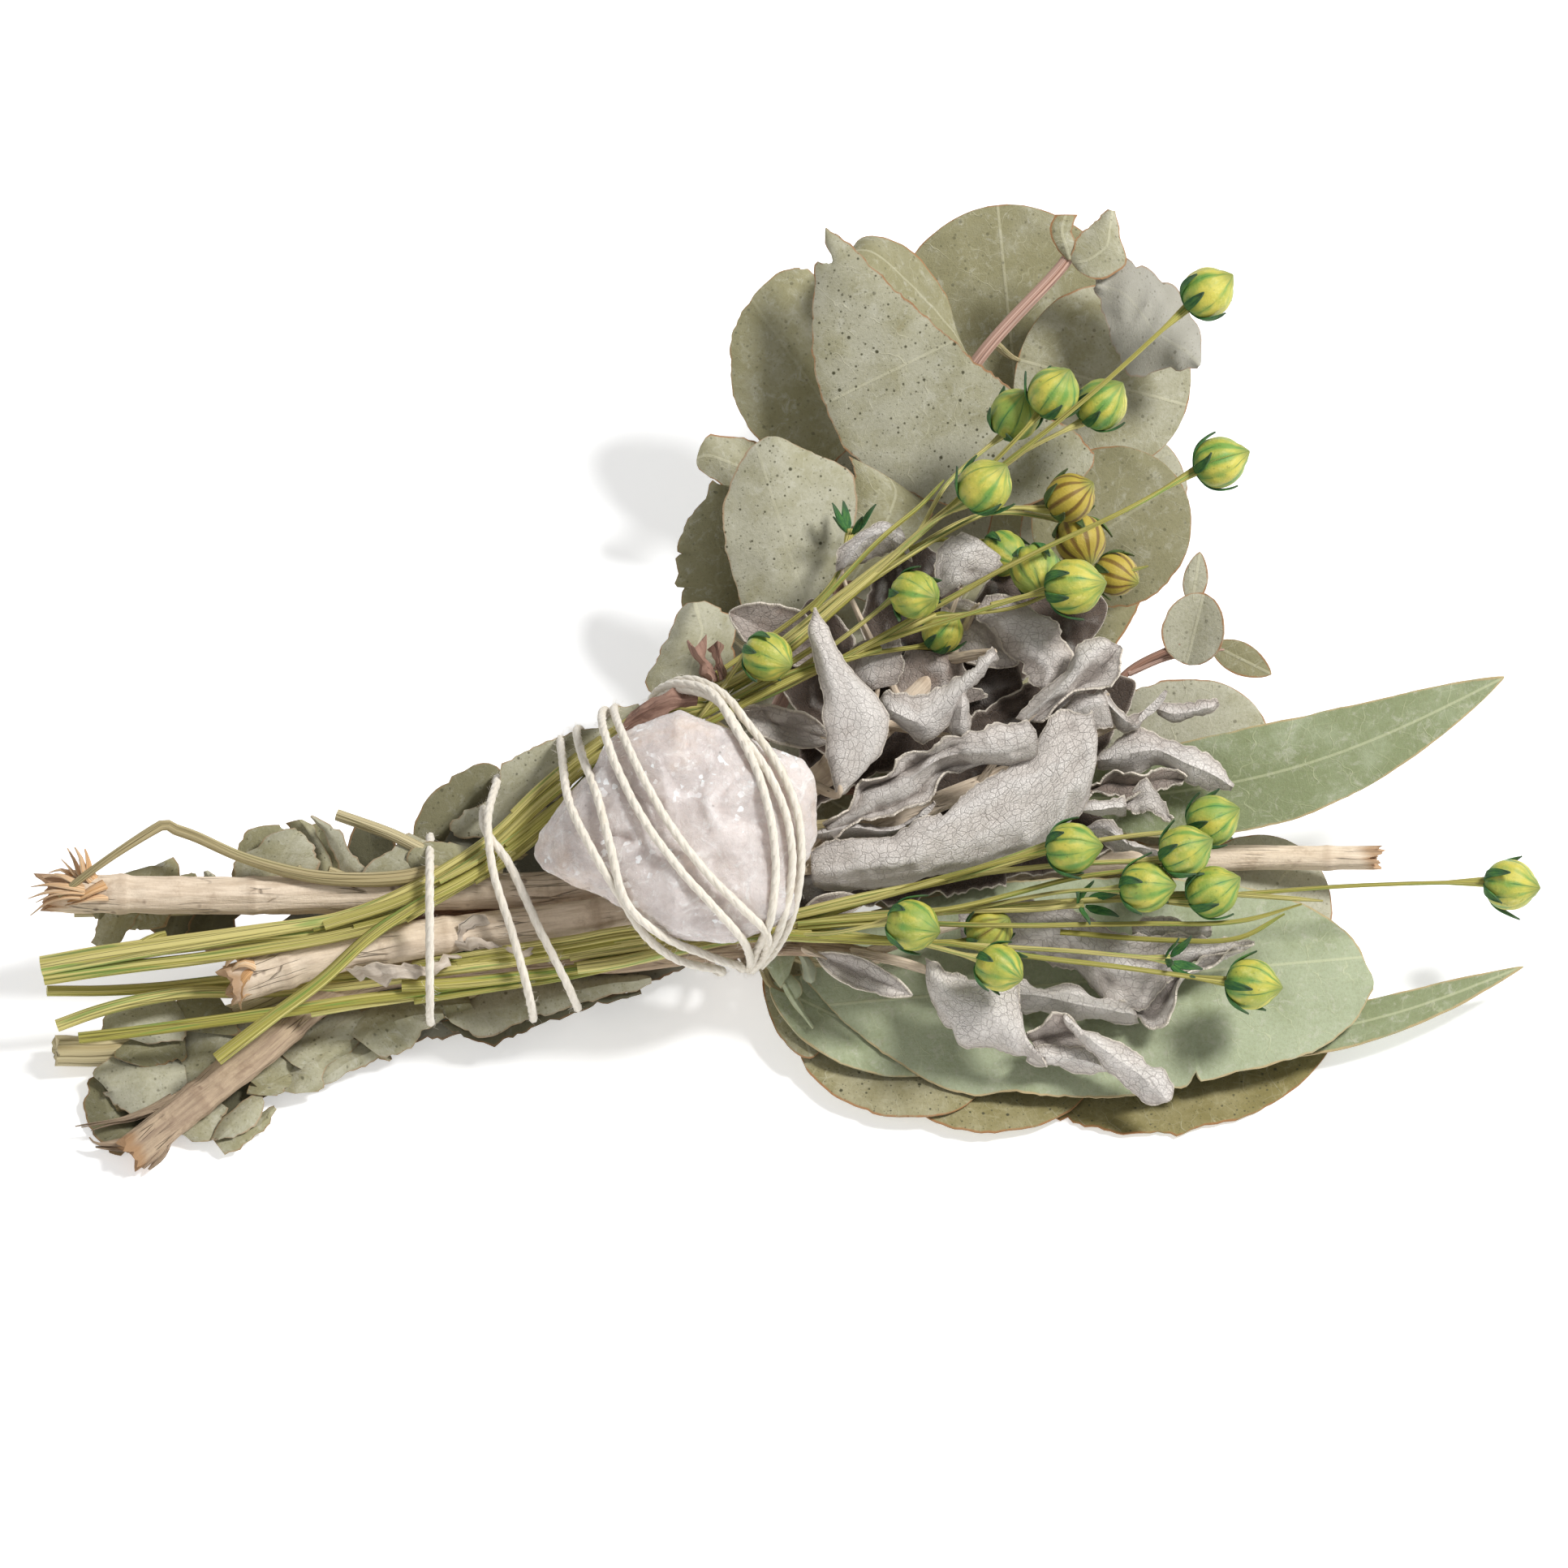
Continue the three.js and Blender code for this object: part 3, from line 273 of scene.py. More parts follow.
def tint(text):  # a colour as a web page writes it
    parts = [int(text[i:i + 2], 16) / 255 for i in (0, 2, 4)]
    return tuple(c / 12.92 if c < 0.04045 else ((c + 0.055) / 1.055) ** 2.4 for c in parts) + (1.0,)


def blend(tree, factor, a, b, kind="MIX"):
    node = tree.nodes.new("ShaderNodeMix")
    node.data_type = "RGBA"
    node.blend_type = kind
    wire(tree, factor, node.inputs[0])
    wire(tree, tint(a) if isinstance(a, str) else a, node.inputs[6])
    wire(tree, tint(b) if isinstance(b, str) else b, node.inputs[7])
    return node.outputs[2]


def relief(tree, height, depth):  # depth in millimetres
    return putNamed(tree, "ShaderNodeBump", "Normal", Distance=depth / 1000, Height=height)


def newFinish(name, roughness, **sockets):
    material = bpy.data.materials.new(name)
    material.use_nodes = True
    shader = material.node_tree.nodes["Principled BSDF"]
    shader.inputs["Roughness"].default_value = roughness
    for key, value in sockets.items():
        shader.inputs[key.replace("_", " ")].default_value = value
    return material, material.node_tree, shader


# finishes

eucalyptusLook = dict(
    round=dict(light="b4b19c", dark="96916f", back="b7b6ab", vein="cbc7ab", rim="a0714a", veinStep=5.2,
               veinSlant=0.75),
    lance=dict(light="a9b193", dark="89926c", back="bcc1ae", vein="cdcfa9", rim="b9a37a", veinStep=4.6,
               veinSlant=0.62),
)


# deep and the hollow colour paint shade; the others are the leaf's own colours
eucalyptusMarks = dict(grain="7b7859", mottle="c6c4b4", pale="a29f97", warm="ddd2a6", gland="4e4c38",
                       deep="3e3c2c", hollowShade="67654c", scorch="8d7449")


oilGlands = (  # fineness, size, share of the spots that have one, strength
    (0.46, 0.16, 0.5, 1.0),
    (0.85, 0.21, 0.6, 0.9),
    (2.0, 0.32, 0.4, 0.5),
)


def eucalyptusFinish(name, light, dark, back, vein, rim, veinStep, veinSlant):
    material, tree, shader = newFinish(name, 0.78, Specular_IOR_Level=0.25)
    along, across = mark(tree, "along"), mark(tree, "across")
    seed, edge = mark(tree, "seed"), mark(tree, "edge")
    spot = place(tree, along, across, times(tree, seed, 37.0))
    patches = cloud(tree, spot, 0.12, 5.0, 0.62)
    # tone makes a whole leaf darker: it varies at random, and is set high on leaves that lie in shadow, where
    # it paints their shade
    patches = plus(tree, patches, times(tree, mark(tree, "tone"), 0.24))
    colour = blend(tree, share(tree, patches, 0.32, 0.72), light, dark)
    grain = cloud(tree, spot, 1.9, 5.0, 0.75)
    colour = blend(tree, share(tree, grain, 0.42, 0.72, 0.0, 0.3), colour, eucalyptusMarks["grain"])
    mottle = cloud(tree, spot, 0.55, 5.0, 0.75, 0.6)
    colour = blend(tree, share(tree, mottle, 0.5, 0.72, 0.0, 0.5), colour, eucalyptusMarks["mottle"])
    colour = blend(tree, share(tree, mark(tree, "front"), 0.2, -0.2, 0.0, 0.6), colour, back)
    colour = blend(tree, mark(tree, "pale"), colour, eucalyptusMarks["pale"])
    colour = blend(tree, mark(tree, "warm"), colour, eucalyptusMarks["warm"], "MULTIPLY")
    # side veins slant off the midrib and wander a little
    away = calc(tree, "ABSOLUTE", across)
    wander = times(tree, minus(tree, cloud(tree, spot, 0.13, 3.0), 0.5), 11.0)
    slant = minus(tree, along, times(tree, away, veinSlant))
    phase = calc(tree, "DIVIDE", plus(tree, slant, wander), veinStep)
    ripple = calc(tree, "ABSOLUTE", minus(tree, calc(tree, "FRACT", phase), 0.5))
    sideVein = share(tree, ripple, 0.03, 0.0)
    net = share(tree, cells(tree, spot, 0.42, "DISTANCE_TO_EDGE"), 0.045, 0.0)
    rib = share(tree, away, 0.3, 0.1)
    faint = share(tree, cloud(tree, spot, 0.3, 3.0), 0.35, 0.65)
    veins = calc(tree, "MAXIMUM", times(tree, sideVein, 0.4), times(tree, net, 0.16))
    veins = calc(tree, "MAXIMUM", times(tree, veins, faint), times(tree, rib, 0.42))
    veins = times(tree, veins, mark(tree, "veins"))
    colour = blend(tree, veins, colour, vein)
    # oil glands: dark pin points, a few large and many small
    specks = mark(tree, "specks")
    for scale, reach, keep, strength in oilGlands:
        pick = put(tree, "ShaderNodeSeparateColor", cells(tree, spot, scale, out="Color"))
        dot = times(tree, share(tree, cells(tree, spot, scale), reach, reach * 0.45),
                   share(tree, pick, keep + 0.05, keep - 0.05))
        dot = times(tree, times(tree, dot, specks), strength)
        colour = blend(tree, dot, colour, eucalyptusMarks["gland"])
    # painted shade: leaves with a high tone, lying in shadow or deep among the others, go very dark
    deep = share(tree, mark(tree, "tone"), 0.5, 2.1, 0.0, 0.85)
    colour = blend(tree, deep, colour, eucalyptusMarks["deep"])
    # thin dry margin, broken here and there, and a few brown marks
    uneven = cloud(tree, spot, 0.22, 4.0, 0.7)
    margin = share(tree, minus(tree, edge, times(tree, uneven, 0.42)), 0.14, -0.1)
    margin = times(tree, margin, share(tree, mark(tree, "veins"), 0.1, 0.9, 0.35, 1.0))
    colour = blend(tree, times(tree, margin, share(tree, uneven, 0.3, 0.55, 0.2, 0.85)), colour, rim)
    # painted shade: darker where the leaf's surface dips into a hollow (bulge below 0)
    hollowShade = share(tree, mark(tree, "bulge"), 0.0, -1.2, 0.0, 0.25)
    colour = blend(tree, hollowShade, colour, eucalyptusMarks["hollowShade"])
    scorch = share(tree, cloud(tree, spot, 0.24, 5.0, 0.75), 0.66, 0.8, 0.0, 0.45)
    colour = blend(tree, scorch, colour, eucalyptusMarks["scorch"])
    wire(tree, colour, shader.inputs["Base Color"])
    height = plus(tree, times(tree, veins, 0.8), times(tree, grain, 0.9))
    wire(tree, relief(tree, height, 0.14), shader.inputs["Normal"])
    return material


# deep and the hollow colour paint shade and the crest colour paints a highlight; the others are the leaf's
# own colours
sageLook = dict(light="dfd7cf", dark="b5a9a0", aged="8d7768", deep="3a3028", hollowShade="7f7167",
                crestHighlight="ebe7e2", net="7f7269", fineNet="857970", fleck="9c856c", inner="91847a",
                rim="dcd2c3")


def sageFinish(name):
    material, tree, shader = newFinish(name, 0.95, Specular_IOR_Level=0.1, Sheen_Weight=0.12,
                                       Sheen_Roughness=0.5)
    along, across = mark(tree, "along"), mark(tree, "across")
    seed, edge = mark(tree, "seed"), mark(tree, "edge")
    spot = place(tree, along, across, times(tree, seed, 41.0))
    patches = cloud(tree, spot, 0.14, 4.0, 0.6)
    # tone makes a whole leaf darker: it varies at random, and is set high on leaves that lie in shadow, where
    # it paints their shade
    patches = plus(tree, patches, times(tree, mark(tree, "tone"), 0.3))
    colour = blend(tree, share(tree, patches, 0.28, 0.78), sageLook["light"], sageLook["dark"])
    colour = blend(tree, share(tree, patches, 0.7, 1.0, 0.0, 0.75), colour, sageLook["aged"])
    # painted shade: leaves with a high tone, deep among the others, go very dark
    colour = blend(tree, share(tree, mark(tree, "tone"), 1.1, 1.8, 0.0, 0.9), colour, sageLook["deep"])
    bulge = mark(tree, "bulge")
    # painted shade: darker where the crumpled surface dips into a hollow (bulge below 0)
    colour = blend(tree, share(tree, bulge, 0.0, -1.3, 0.0, 0.62), colour, sageLook["hollowShade"])
    # painted highlight: paler on the crests of the crumples (bulge above 0)
    colour = blend(tree, share(tree, bulge, 0.1, 1.4, 0.0, 0.45), colour, sageLook["crestHighlight"])
    netSpot = place(tree, times(tree, along, 0.7), across, times(tree, seed, 41.0))
    net = share(tree, cells(tree, netSpot, 1.1, "DISTANCE_TO_EDGE"), 0.07, 0.0)
    fine = share(tree, cells(tree, netSpot, 2.8, "DISTANCE_TO_EDGE"), 0.12, 0.0)
    shown = share(tree, cloud(tree, spot, 0.25, 2.0), 0.35, 0.65)
    colour = blend(tree, times(tree, times(tree, net, 0.34), shown), colour, sageLook["net"])
    colour = blend(tree, times(tree, fine, 0.1), colour, sageLook["fineNet"])
    fleck = share(tree, cloud(tree, spot, 0.6, 5.0, 0.75), 0.64, 0.8, 0.0, 0.35)
    colour = blend(tree, fleck, colour, sageLook["fleck"])
    # the leaf's own thickness shows as a paler line, with a dull one inside it
    colour = blend(tree, share(tree, edge, 0.8, 0.3, 0.0, 0.5), colour, sageLook["inner"])
    colour = blend(tree, share(tree, edge, 0.3, 0.12, 0.0, 0.9), colour, sageLook["rim"])
    wire(tree, colour, shader.inputs["Base Color"])
    felt = cloud(tree, spot, 5.0, 4.0, 0.7)
    dents = plus(tree, times(tree, net, 0.25), times(tree, fine, 0.15))
    height = minus(tree, times(tree, felt, 0.4), dents)
    wire(tree, relief(tree, height, 0.45), shader.inputs["Normal"])
    return material


woodMarks = dict(crack="6d5847", pit="6b5040", torn="ab8560")


def woodFinish(name, light, dark, blotch):
    material, tree, shader = newFinish(name, 0.85, Specular_IOR_Level=0.25)
    along = mark(tree, "along")
    ringX = times(tree, mark(tree, "ringX"), 2.6)
    ringY = times(tree, mark(tree, "ringY"), 2.6)
    seed = times(tree, mark(tree, "seed"), 31.0)
    streakSpot = place(tree, plus(tree, ringX, seed), ringY, times(tree, along, 0.09))
    spot = place(tree, plus(tree, ringX, seed), ringY, along)
    streak = cloud(tree, streakSpot, 1.5, 5.0, 0.65)
    colour = blend(tree, share(tree, streak, 0.36, 0.72), light, dark)
    stain = share(tree, cloud(tree, spot, 0.16, 5.0, 0.7), 0.54, 0.7, 0.0, 0.55)
    colour = blend(tree, stain, colour, blotch)
    crack = share(tree, cells(tree, streakSpot, 0.9, "DISTANCE_TO_EDGE"), 0.035, 0.0)
    crack = times(tree, crack, share(tree, cloud(tree, spot, 0.12, 3.0), 0.5, 0.62))
    colour = blend(tree, times(tree, crack, 0.5), colour, woodMarks["crack"])
    pit = share(tree, cells(tree, spot, 0.22), 0.13, 0.05)
    colour = blend(tree, times(tree, pit, 0.6), colour, woodMarks["pit"])
    fine = cloud(tree, spot, 2.2, 4.0, 0.7)
    colour = blend(tree, share(tree, fine, 0.45, 0.72, 0.0, 0.3), colour, dark)
    colour = blend(tree, share(tree, mark(tree, "node"), 0.3, 0.9, 0.0, 0.3), colour, blotch)
    colour = blend(tree, share(tree, mark(tree, "torn"), 0.1, 0.9, 0.0, 0.8), colour, woodMarks["torn"])
    wire(tree, colour, shader.inputs["Base Color"])
    height = minus(tree, plus(tree, streak, times(tree, fine, 0.35)), crack)
    wire(tree, relief(tree, height, 0.25), shader.inputs["Normal"])
    return material


def stalkFinish(name, light, dark, dye, dyed, dirtAndShade="6c5f34"):
    material, tree, shader = newFinish(name, 0.6, Specular_IOR_Level=0.3)
    along, ringX, ringY = mark(tree, "along"), mark(tree, "ringX"), mark(tree, "ringY")
    seed = times(tree, mark(tree, "seed"), 53.0)
    streakSpot = place(tree, plus(tree, times(tree, ringX, 1.8), seed),
                       times(tree, ringY, 1.8), times(tree, along, 0.014))
    ownShade = times(tree, minus(tree, mark(tree, "seed"), 0.5), 0.35)
    streak = plus(tree, cloud(tree, streakSpot, 1.4, 3.0), ownShade)
    colour = blend(tree, share(tree, streak, 0.32, 0.68), light, dark)
    dyeSpot = place(tree, plus(tree, ringX, seed), ringY, times(tree, along, 0.05))
    colour = blend(tree, share(tree, cloud(tree, dyeSpot, 1.4, 1.0, 0.6), 0.56, 0.68, 0.0, dyed), colour, dye)
    dirt = share(tree, cells(tree, streakSpot, 1.1, "DISTANCE_TO_EDGE"), 0.05, 0.0, 0.0, 0.6)
    colour = blend(tree, dirt, colour, dirtAndShade)
    # painted shade: darker on the side of each stalk where ringY is below 0; the same dark colour also draws
    # the dirt lines
    shade = share(tree, plus(tree, ringY, times(tree, streak, 0.6)), 0.1, -0.8, 0.0, 0.22)
    colour = blend(tree, shade, colour, dirtAndShade)
    wire(tree, colour, shader.inputs["Base Color"])
    height = minus(tree, cloud(tree, streakSpot, 3.0, 2.0), dirt)
    wire(tree, relief(tree, height, 0.15), shader.inputs["Normal"])
    return material


podColours = dict(light="c3ba50", dark="9ca544", pale="d6cf80", dull="7d9c48", halo="55903f", base="4a8a44",
                  aged="b49b3c", line="2f6a35", agedLine="5f4420", ripe="6a4a1c", freckle="63702f",
                  tip="6f7d3a")


def podFinish(name):
    material, tree, shader = newFinish(name, 0.45, Specular_IOR_Level=0.42)
    turn, rise, seam = mark(tree, "turn"), mark(tree, "rise"), mark(tree, "seam")
    own = mark(tree, "seed")
    seed = times(tree, own, 23.0)
    around = times(tree, turn, 2 * math.pi)
    spot = place(tree, plus(tree, calc(tree, "COSINE", around), seed), calc(tree, "SINE", around),
                 times(tree, rise, 2.0))
    patch = cloud(tree, spot, 1.3, 4.0, 0.6)
    colour = blend(tree, share(tree, patch, 0.35, 0.65), podColours["light"], podColours["dark"])
    # painted highlights: pale patches scattered over the capsule
    pale = share(tree, cloud(tree, spot, 2.2, 4.0, 0.7), 0.5, 0.72, 0.0, 0.5)
    colour = blend(tree, pale, colour, podColours["pale"])
    dull = plus(tree, cloud(tree, spot, 0.75, 3.0, 0.6), times(tree, own, 0.16))
    colour = blend(tree, share(tree, dull, 0.52, 0.72, 0.0, 0.7), colour, podColours["dull"])
    halo = plus(tree, times(tree, seam, 0.6), times(tree, cloud(tree, spot, 1.1, 3.0), 1.5))
    colour = blend(tree, share(tree, halo, 1.08, 1.55, 0.0, 0.8), colour, podColours["halo"])
    base = share(tree, plus(tree, rise, times(tree, patch, 0.4)), 0.56, 0.2, 0.0, 0.8)
    colour = blend(tree, base, colour, podColours["base"])
    aged = mark(tree, "aged")
    old = share(tree, plus(tree, aged, times(tree, patch, 0.3)), 0.6, 1.05, 0.0, 0.85)
    colour = blend(tree, old, colour, podColours["aged"])
    line = blend(tree, share(tree, aged, 0.4, 0.6), podColours["line"], podColours["agedLine"])
    shown = share(tree, cloud(tree, spot, 0.9, 3.0), 0.4, 0.6, 0.0, 0.85)
    colour = blend(tree, times(tree, share(tree, seam, 0.95, 0.992), shown), colour, line)
    ripe = times(tree, share(tree, aged, 0.4, 0.8), share(tree, seam, 0.72, 0.96, 0.0, 0.8))
    colour = blend(tree, ripe, colour, podColours["ripe"])
    freckle = share(tree, cloud(tree, spot, 6.0, 3.0), 0.64, 0.72, 0.0, 0.5)
    colour = blend(tree, freckle, colour, podColours["freckle"])
    colour = blend(tree, share(tree, rise, 0.93, 1.0, 0.0, 0.7), colour, podColours["tip"])
    wire(tree, colour, shader.inputs["Base Color"])
    wire(tree, relief(tree, cloud(tree, spot, 9.0, 4.0, 0.7), 0.12), shader.inputs["Normal"])
    return material


sepalLook = dict(dark="2b5a35", light="4d7a3c", tip="4c5a48", aged="6a6a3a")


def sepalFinish(name):
    material, tree, shader = newFinish(name, 0.65, Specular_IOR_Level=0.25)
    spot = place(tree, times(tree, mark(tree, "turn"), 11.0),
                 times(tree, mark(tree, "rise"), 1.4), times(tree, mark(tree, "seed"), 29.0))
    uneven = share(tree, cloud(tree, spot, 2.0, 4.0, 0.6), 0.35, 0.65)
    colour = blend(tree, uneven, sepalLook["dark"], sepalLook["light"])
    colour = blend(tree, share(tree, mark(tree, "rise"), 0.55, 1.0, 0.0, 0.75), colour, sepalLook["tip"])
    colour = blend(tree, share(tree, mark(tree, "aged"), 0.5, 1.0, 0.0, 0.4), colour, sepalLook["aged"])
    wire(tree, colour, shader.inputs["Base Color"])
    wire(tree, relief(tree, cloud(tree, spot, 7.0, 3.0), 0.1), shader.inputs["Normal"])
    return material


cottonLook = dict(light="ece5d8", dark="dad0be", soiled="cfc2a6")


def cottonFinish(name):
    material, tree, shader = newFinish(name, 0.95, Specular_IOR_Level=0.1, Sheen_Weight=0.3,
                                       Sheen_Roughness=0.6)
    ringX = plus(tree, mark(tree, "ringX"), mark(tree, "seed"))
    spot = place(tree, ringX, mark(tree, "ringY"), times(tree, mark(tree, "along"), 0.45))
    fibre = cloud(tree, spot, 3.0, 5.0, 0.7)
    colour = blend(tree, share(tree, fibre, 0.35, 0.75), cottonLook["light"], cottonLook["dark"])
    soiled = share(tree, cloud(tree, spot, 0.05, 3.0), 0.5, 0.75, 0.0, 0.35)
    colour = blend(tree, soiled, colour, cottonLook["soiled"])
    wire(tree, colour, shader.inputs["Base Color"])
    wire(tree, relief(tree, fibre, 0.1), shader.inputs["Normal"])
    return material


quartzLook = dict(light="ded4cf", dark="cdc3bf", haze="efece9", smoke="bdb3b0", stain="d3bda9",
                  glint="ffffff", grit="a5703c")


def quartzFinish(name):
    material, tree, shader = newFinish(
        name, 0.4, Specular_IOR_Level=0.5, Subsurface_Weight=0.55, Subsurface_Radius=(1.0, 0.85, 0.8),
        Subsurface_Scale=0.006)
    spot = put(tree, "ShaderNodeTexCoord", out=3)
    mist = cloud(tree, spot, 55.0, 6.0, 0.7, 0.8)
    colour = blend(tree, share(tree, mist, 0.34, 0.66), quartzLook["light"], quartzLook["dark"])
    haze = cloud(tree, spot, 260.0, 6.0, 0.8, 1.6)
    colour = blend(tree, share(tree, haze, 0.5, 0.68, 0.0, 0.8), colour, quartzLook["haze"])
    smoke = cloud(tree, spot, 620.0, 5.0, 0.8)
    colour = blend(tree, share(tree, smoke, 0.5, 0.68, 0.0, 0.45), colour, quartzLook["smoke"])
    stain = share(tree, cloud(tree, spot, 38.0, 5.0, 0.75), 0.54, 0.72, 0.0, 0.55)
    colour = blend(tree, stain, colour, quartzLook["stain"])
    glint = put(tree, "ShaderNodeSeparateColor", cells(tree, spot, 1400.0, out="Color"), out=1)
    glint = share(tree, glint, 0.82, 0.95)
    glint = times(tree, glint, share(tree, cloud(tree, spot, 110.0, 5.0), 0.48, 0.62))
    colour = blend(tree, glint, colour, quartzLook["glint"])
    grit = share(tree, cells(tree, spot, 420.0), 0.2, 0.08)
    grit = times(tree, grit, share(tree, cloud(tree, spot, 70.0, 3.0), 0.62, 0.7))
    colour = blend(tree, grit, colour, quartzLook["grit"])
    wire(tree, colour, shader.inputs["Base Color"])
    sparkle = put(tree, "ShaderNodeSeparateColor", cells(tree, spot, 1300.0, out="Color"))
    wire(tree, share(tree, sparkle, 0.25, 0.75, 0.12, 0.6), shader.inputs["Roughness"])
    crystal = times(tree, sparkle, 0.5)
    height = plus(tree, plus(tree, haze, times(tree, smoke, 0.6)), crystal)
    wire(tree, relief(tree, height, 0.3), shader.inputs["Normal"])
    return material


finish = dict(
    roundLeaf=eucalyptusFinish("roundLeaf", **eucalyptusLook["round"]),
    lanceLeaf=eucalyptusFinish("lanceLeaf", **eucalyptusLook["lance"]),
    sageLeaf=sageFinish("sageLeaf"),
    sageWood=woodFinish("sageWood", "ecdac3", "cfbba3", "ab937a"),
    husk=woodFinish("husk", "a08070", "73564a", "553c31"),
    barkStrip=woodFinish("barkStrip", "cfc3b4", "a89988", "8a7562"),
    frayed=stalkFinish("frayed", "f0cfa6", "d8a874", "f6e6ca", 0.6, "c08a55"),
    brownWood=woodFinish("brownWood", "bfa98e", "9a8470", "7f6552"),
    redStem=stalkFinish("redStem", "c7a595", "a47c69", "9b8377", 0.6, "7b5a4c"),
    paleStem=stalkFinish("paleStem", "cdc098", "aa9a70", "a8a070", 0.5),
    flaxStalk=stalkFinish("flaxStalk", "e0d488", "a9a24c", "5f9a44", 0.6),
    pod=podFinish("pod"),
    sepal=sepalFinish("sepal"),
    cotton=cottonFinish("cotton"),
    quartz=quartzFinish("quartz"),
)
print("finishes made:", len(finish))


# leaves

leafLooks = dict(  # what makes one kind of leaf differ from another, in millimetres and degrees
    round=dict(thick=0.42, soft=1, flat=1, ragged=0.02, nibble=0.22, buckle=6, buckleSize=17, crease=0,
               wrinkle=0.28, wrinkleSize=10, ruffle=0.45, ruffleSize=8, rib=0.16, specks=0.5, veins=1, pale=0,
               finish="roundLeaf"),
    scrap=dict(thick=0.4, soft=0.3, flat=1, ragged=0.06, nibble=0.5, buckle=14, buckleSize=9, crease=0,
               wrinkle=0.3, wrinkleSize=8, ruffle=0.45, ruffleSize=6, rib=0.05, specks=0.6, veins=0.35,
               pale=0, finish="roundLeaf"),
    lance=dict(thick=0.4, soft=1, flat=1, ragged=0.012, nibble=0.16, buckle=5, buckleSize=22, crease=0,
               wrinkle=0.25, wrinkleSize=14, ruffle=0.35, ruffleSize=12, rib=0.22, specks=0.05, veins=1,
               pale=0, finish="lanceLeaf"),
    sage=dict(thick=0.5, soft=0.1, flat=0.8, ragged=0.07, nibble=0.55, buckle=18, buckleSize=9, crease=26,
              wrinkle=0.5, wrinkleSize=5.6, ruffle=1.0, ruffleSize=4, rib=0.3, specks=0, veins=1, pale=0,
              finish="sageLeaf"),
    bark=dict(thick=0.35, soft=0.3, flat=1, nibble=0.8, crease=0, wrinkle=0.8, wrinkleSize=3, ruffle=1.0,
              ruffleSize=2.4, rib=0, specks=0, veins=0, pale=0, finish="barkStrip"),
)

outlines = dict(  # half the leaf's width along its length, 1 where it is widest
    round=lambda s: np.sqrt(np.maximum(0, 1 - (2 * s - 1) ** 2)) * (1.04 - 0.12 * s),
    lance=lambda s: 2.05 * s ** 0.72 * (1 - s) ** 0.85 * (1 - 0.18 * s),
    sage=lambda s: np.sin(np.pi * s ** 0.92) ** 0.7,
)

# corners per millimetre, and the most of them along and across a leaf
meshing = dict(sageFine=1.9, bladeFine=1.35, lineFine=1.4, most=(84, 26), mostAlongLines=110)


def leafLook(leaf, kind):
    return {**leafLooks[kind], **leaf.get("look", {})}


def wrinkles(look, mark, p, q, coarse, small):
    return look["wrinkle"] * (coarse * ridgeNoise(mark + 6, look["wrinkleSize"], p, q + 90)
                              + small * ridgeNoise(mark + 7, look["wrinkleSize"] / 2.3, p, q))


def crossSection(angle, step):  # where a slope that changes from step to step leads to
    middle = np.concatenate([angle[:, :1], (angle[:, 1:] + angle[:, :-1]) / 2], 1)
    return np.cumsum(np.cos(middle) * step, 1), np.cumsum(np.sin(middle) * step, 1)


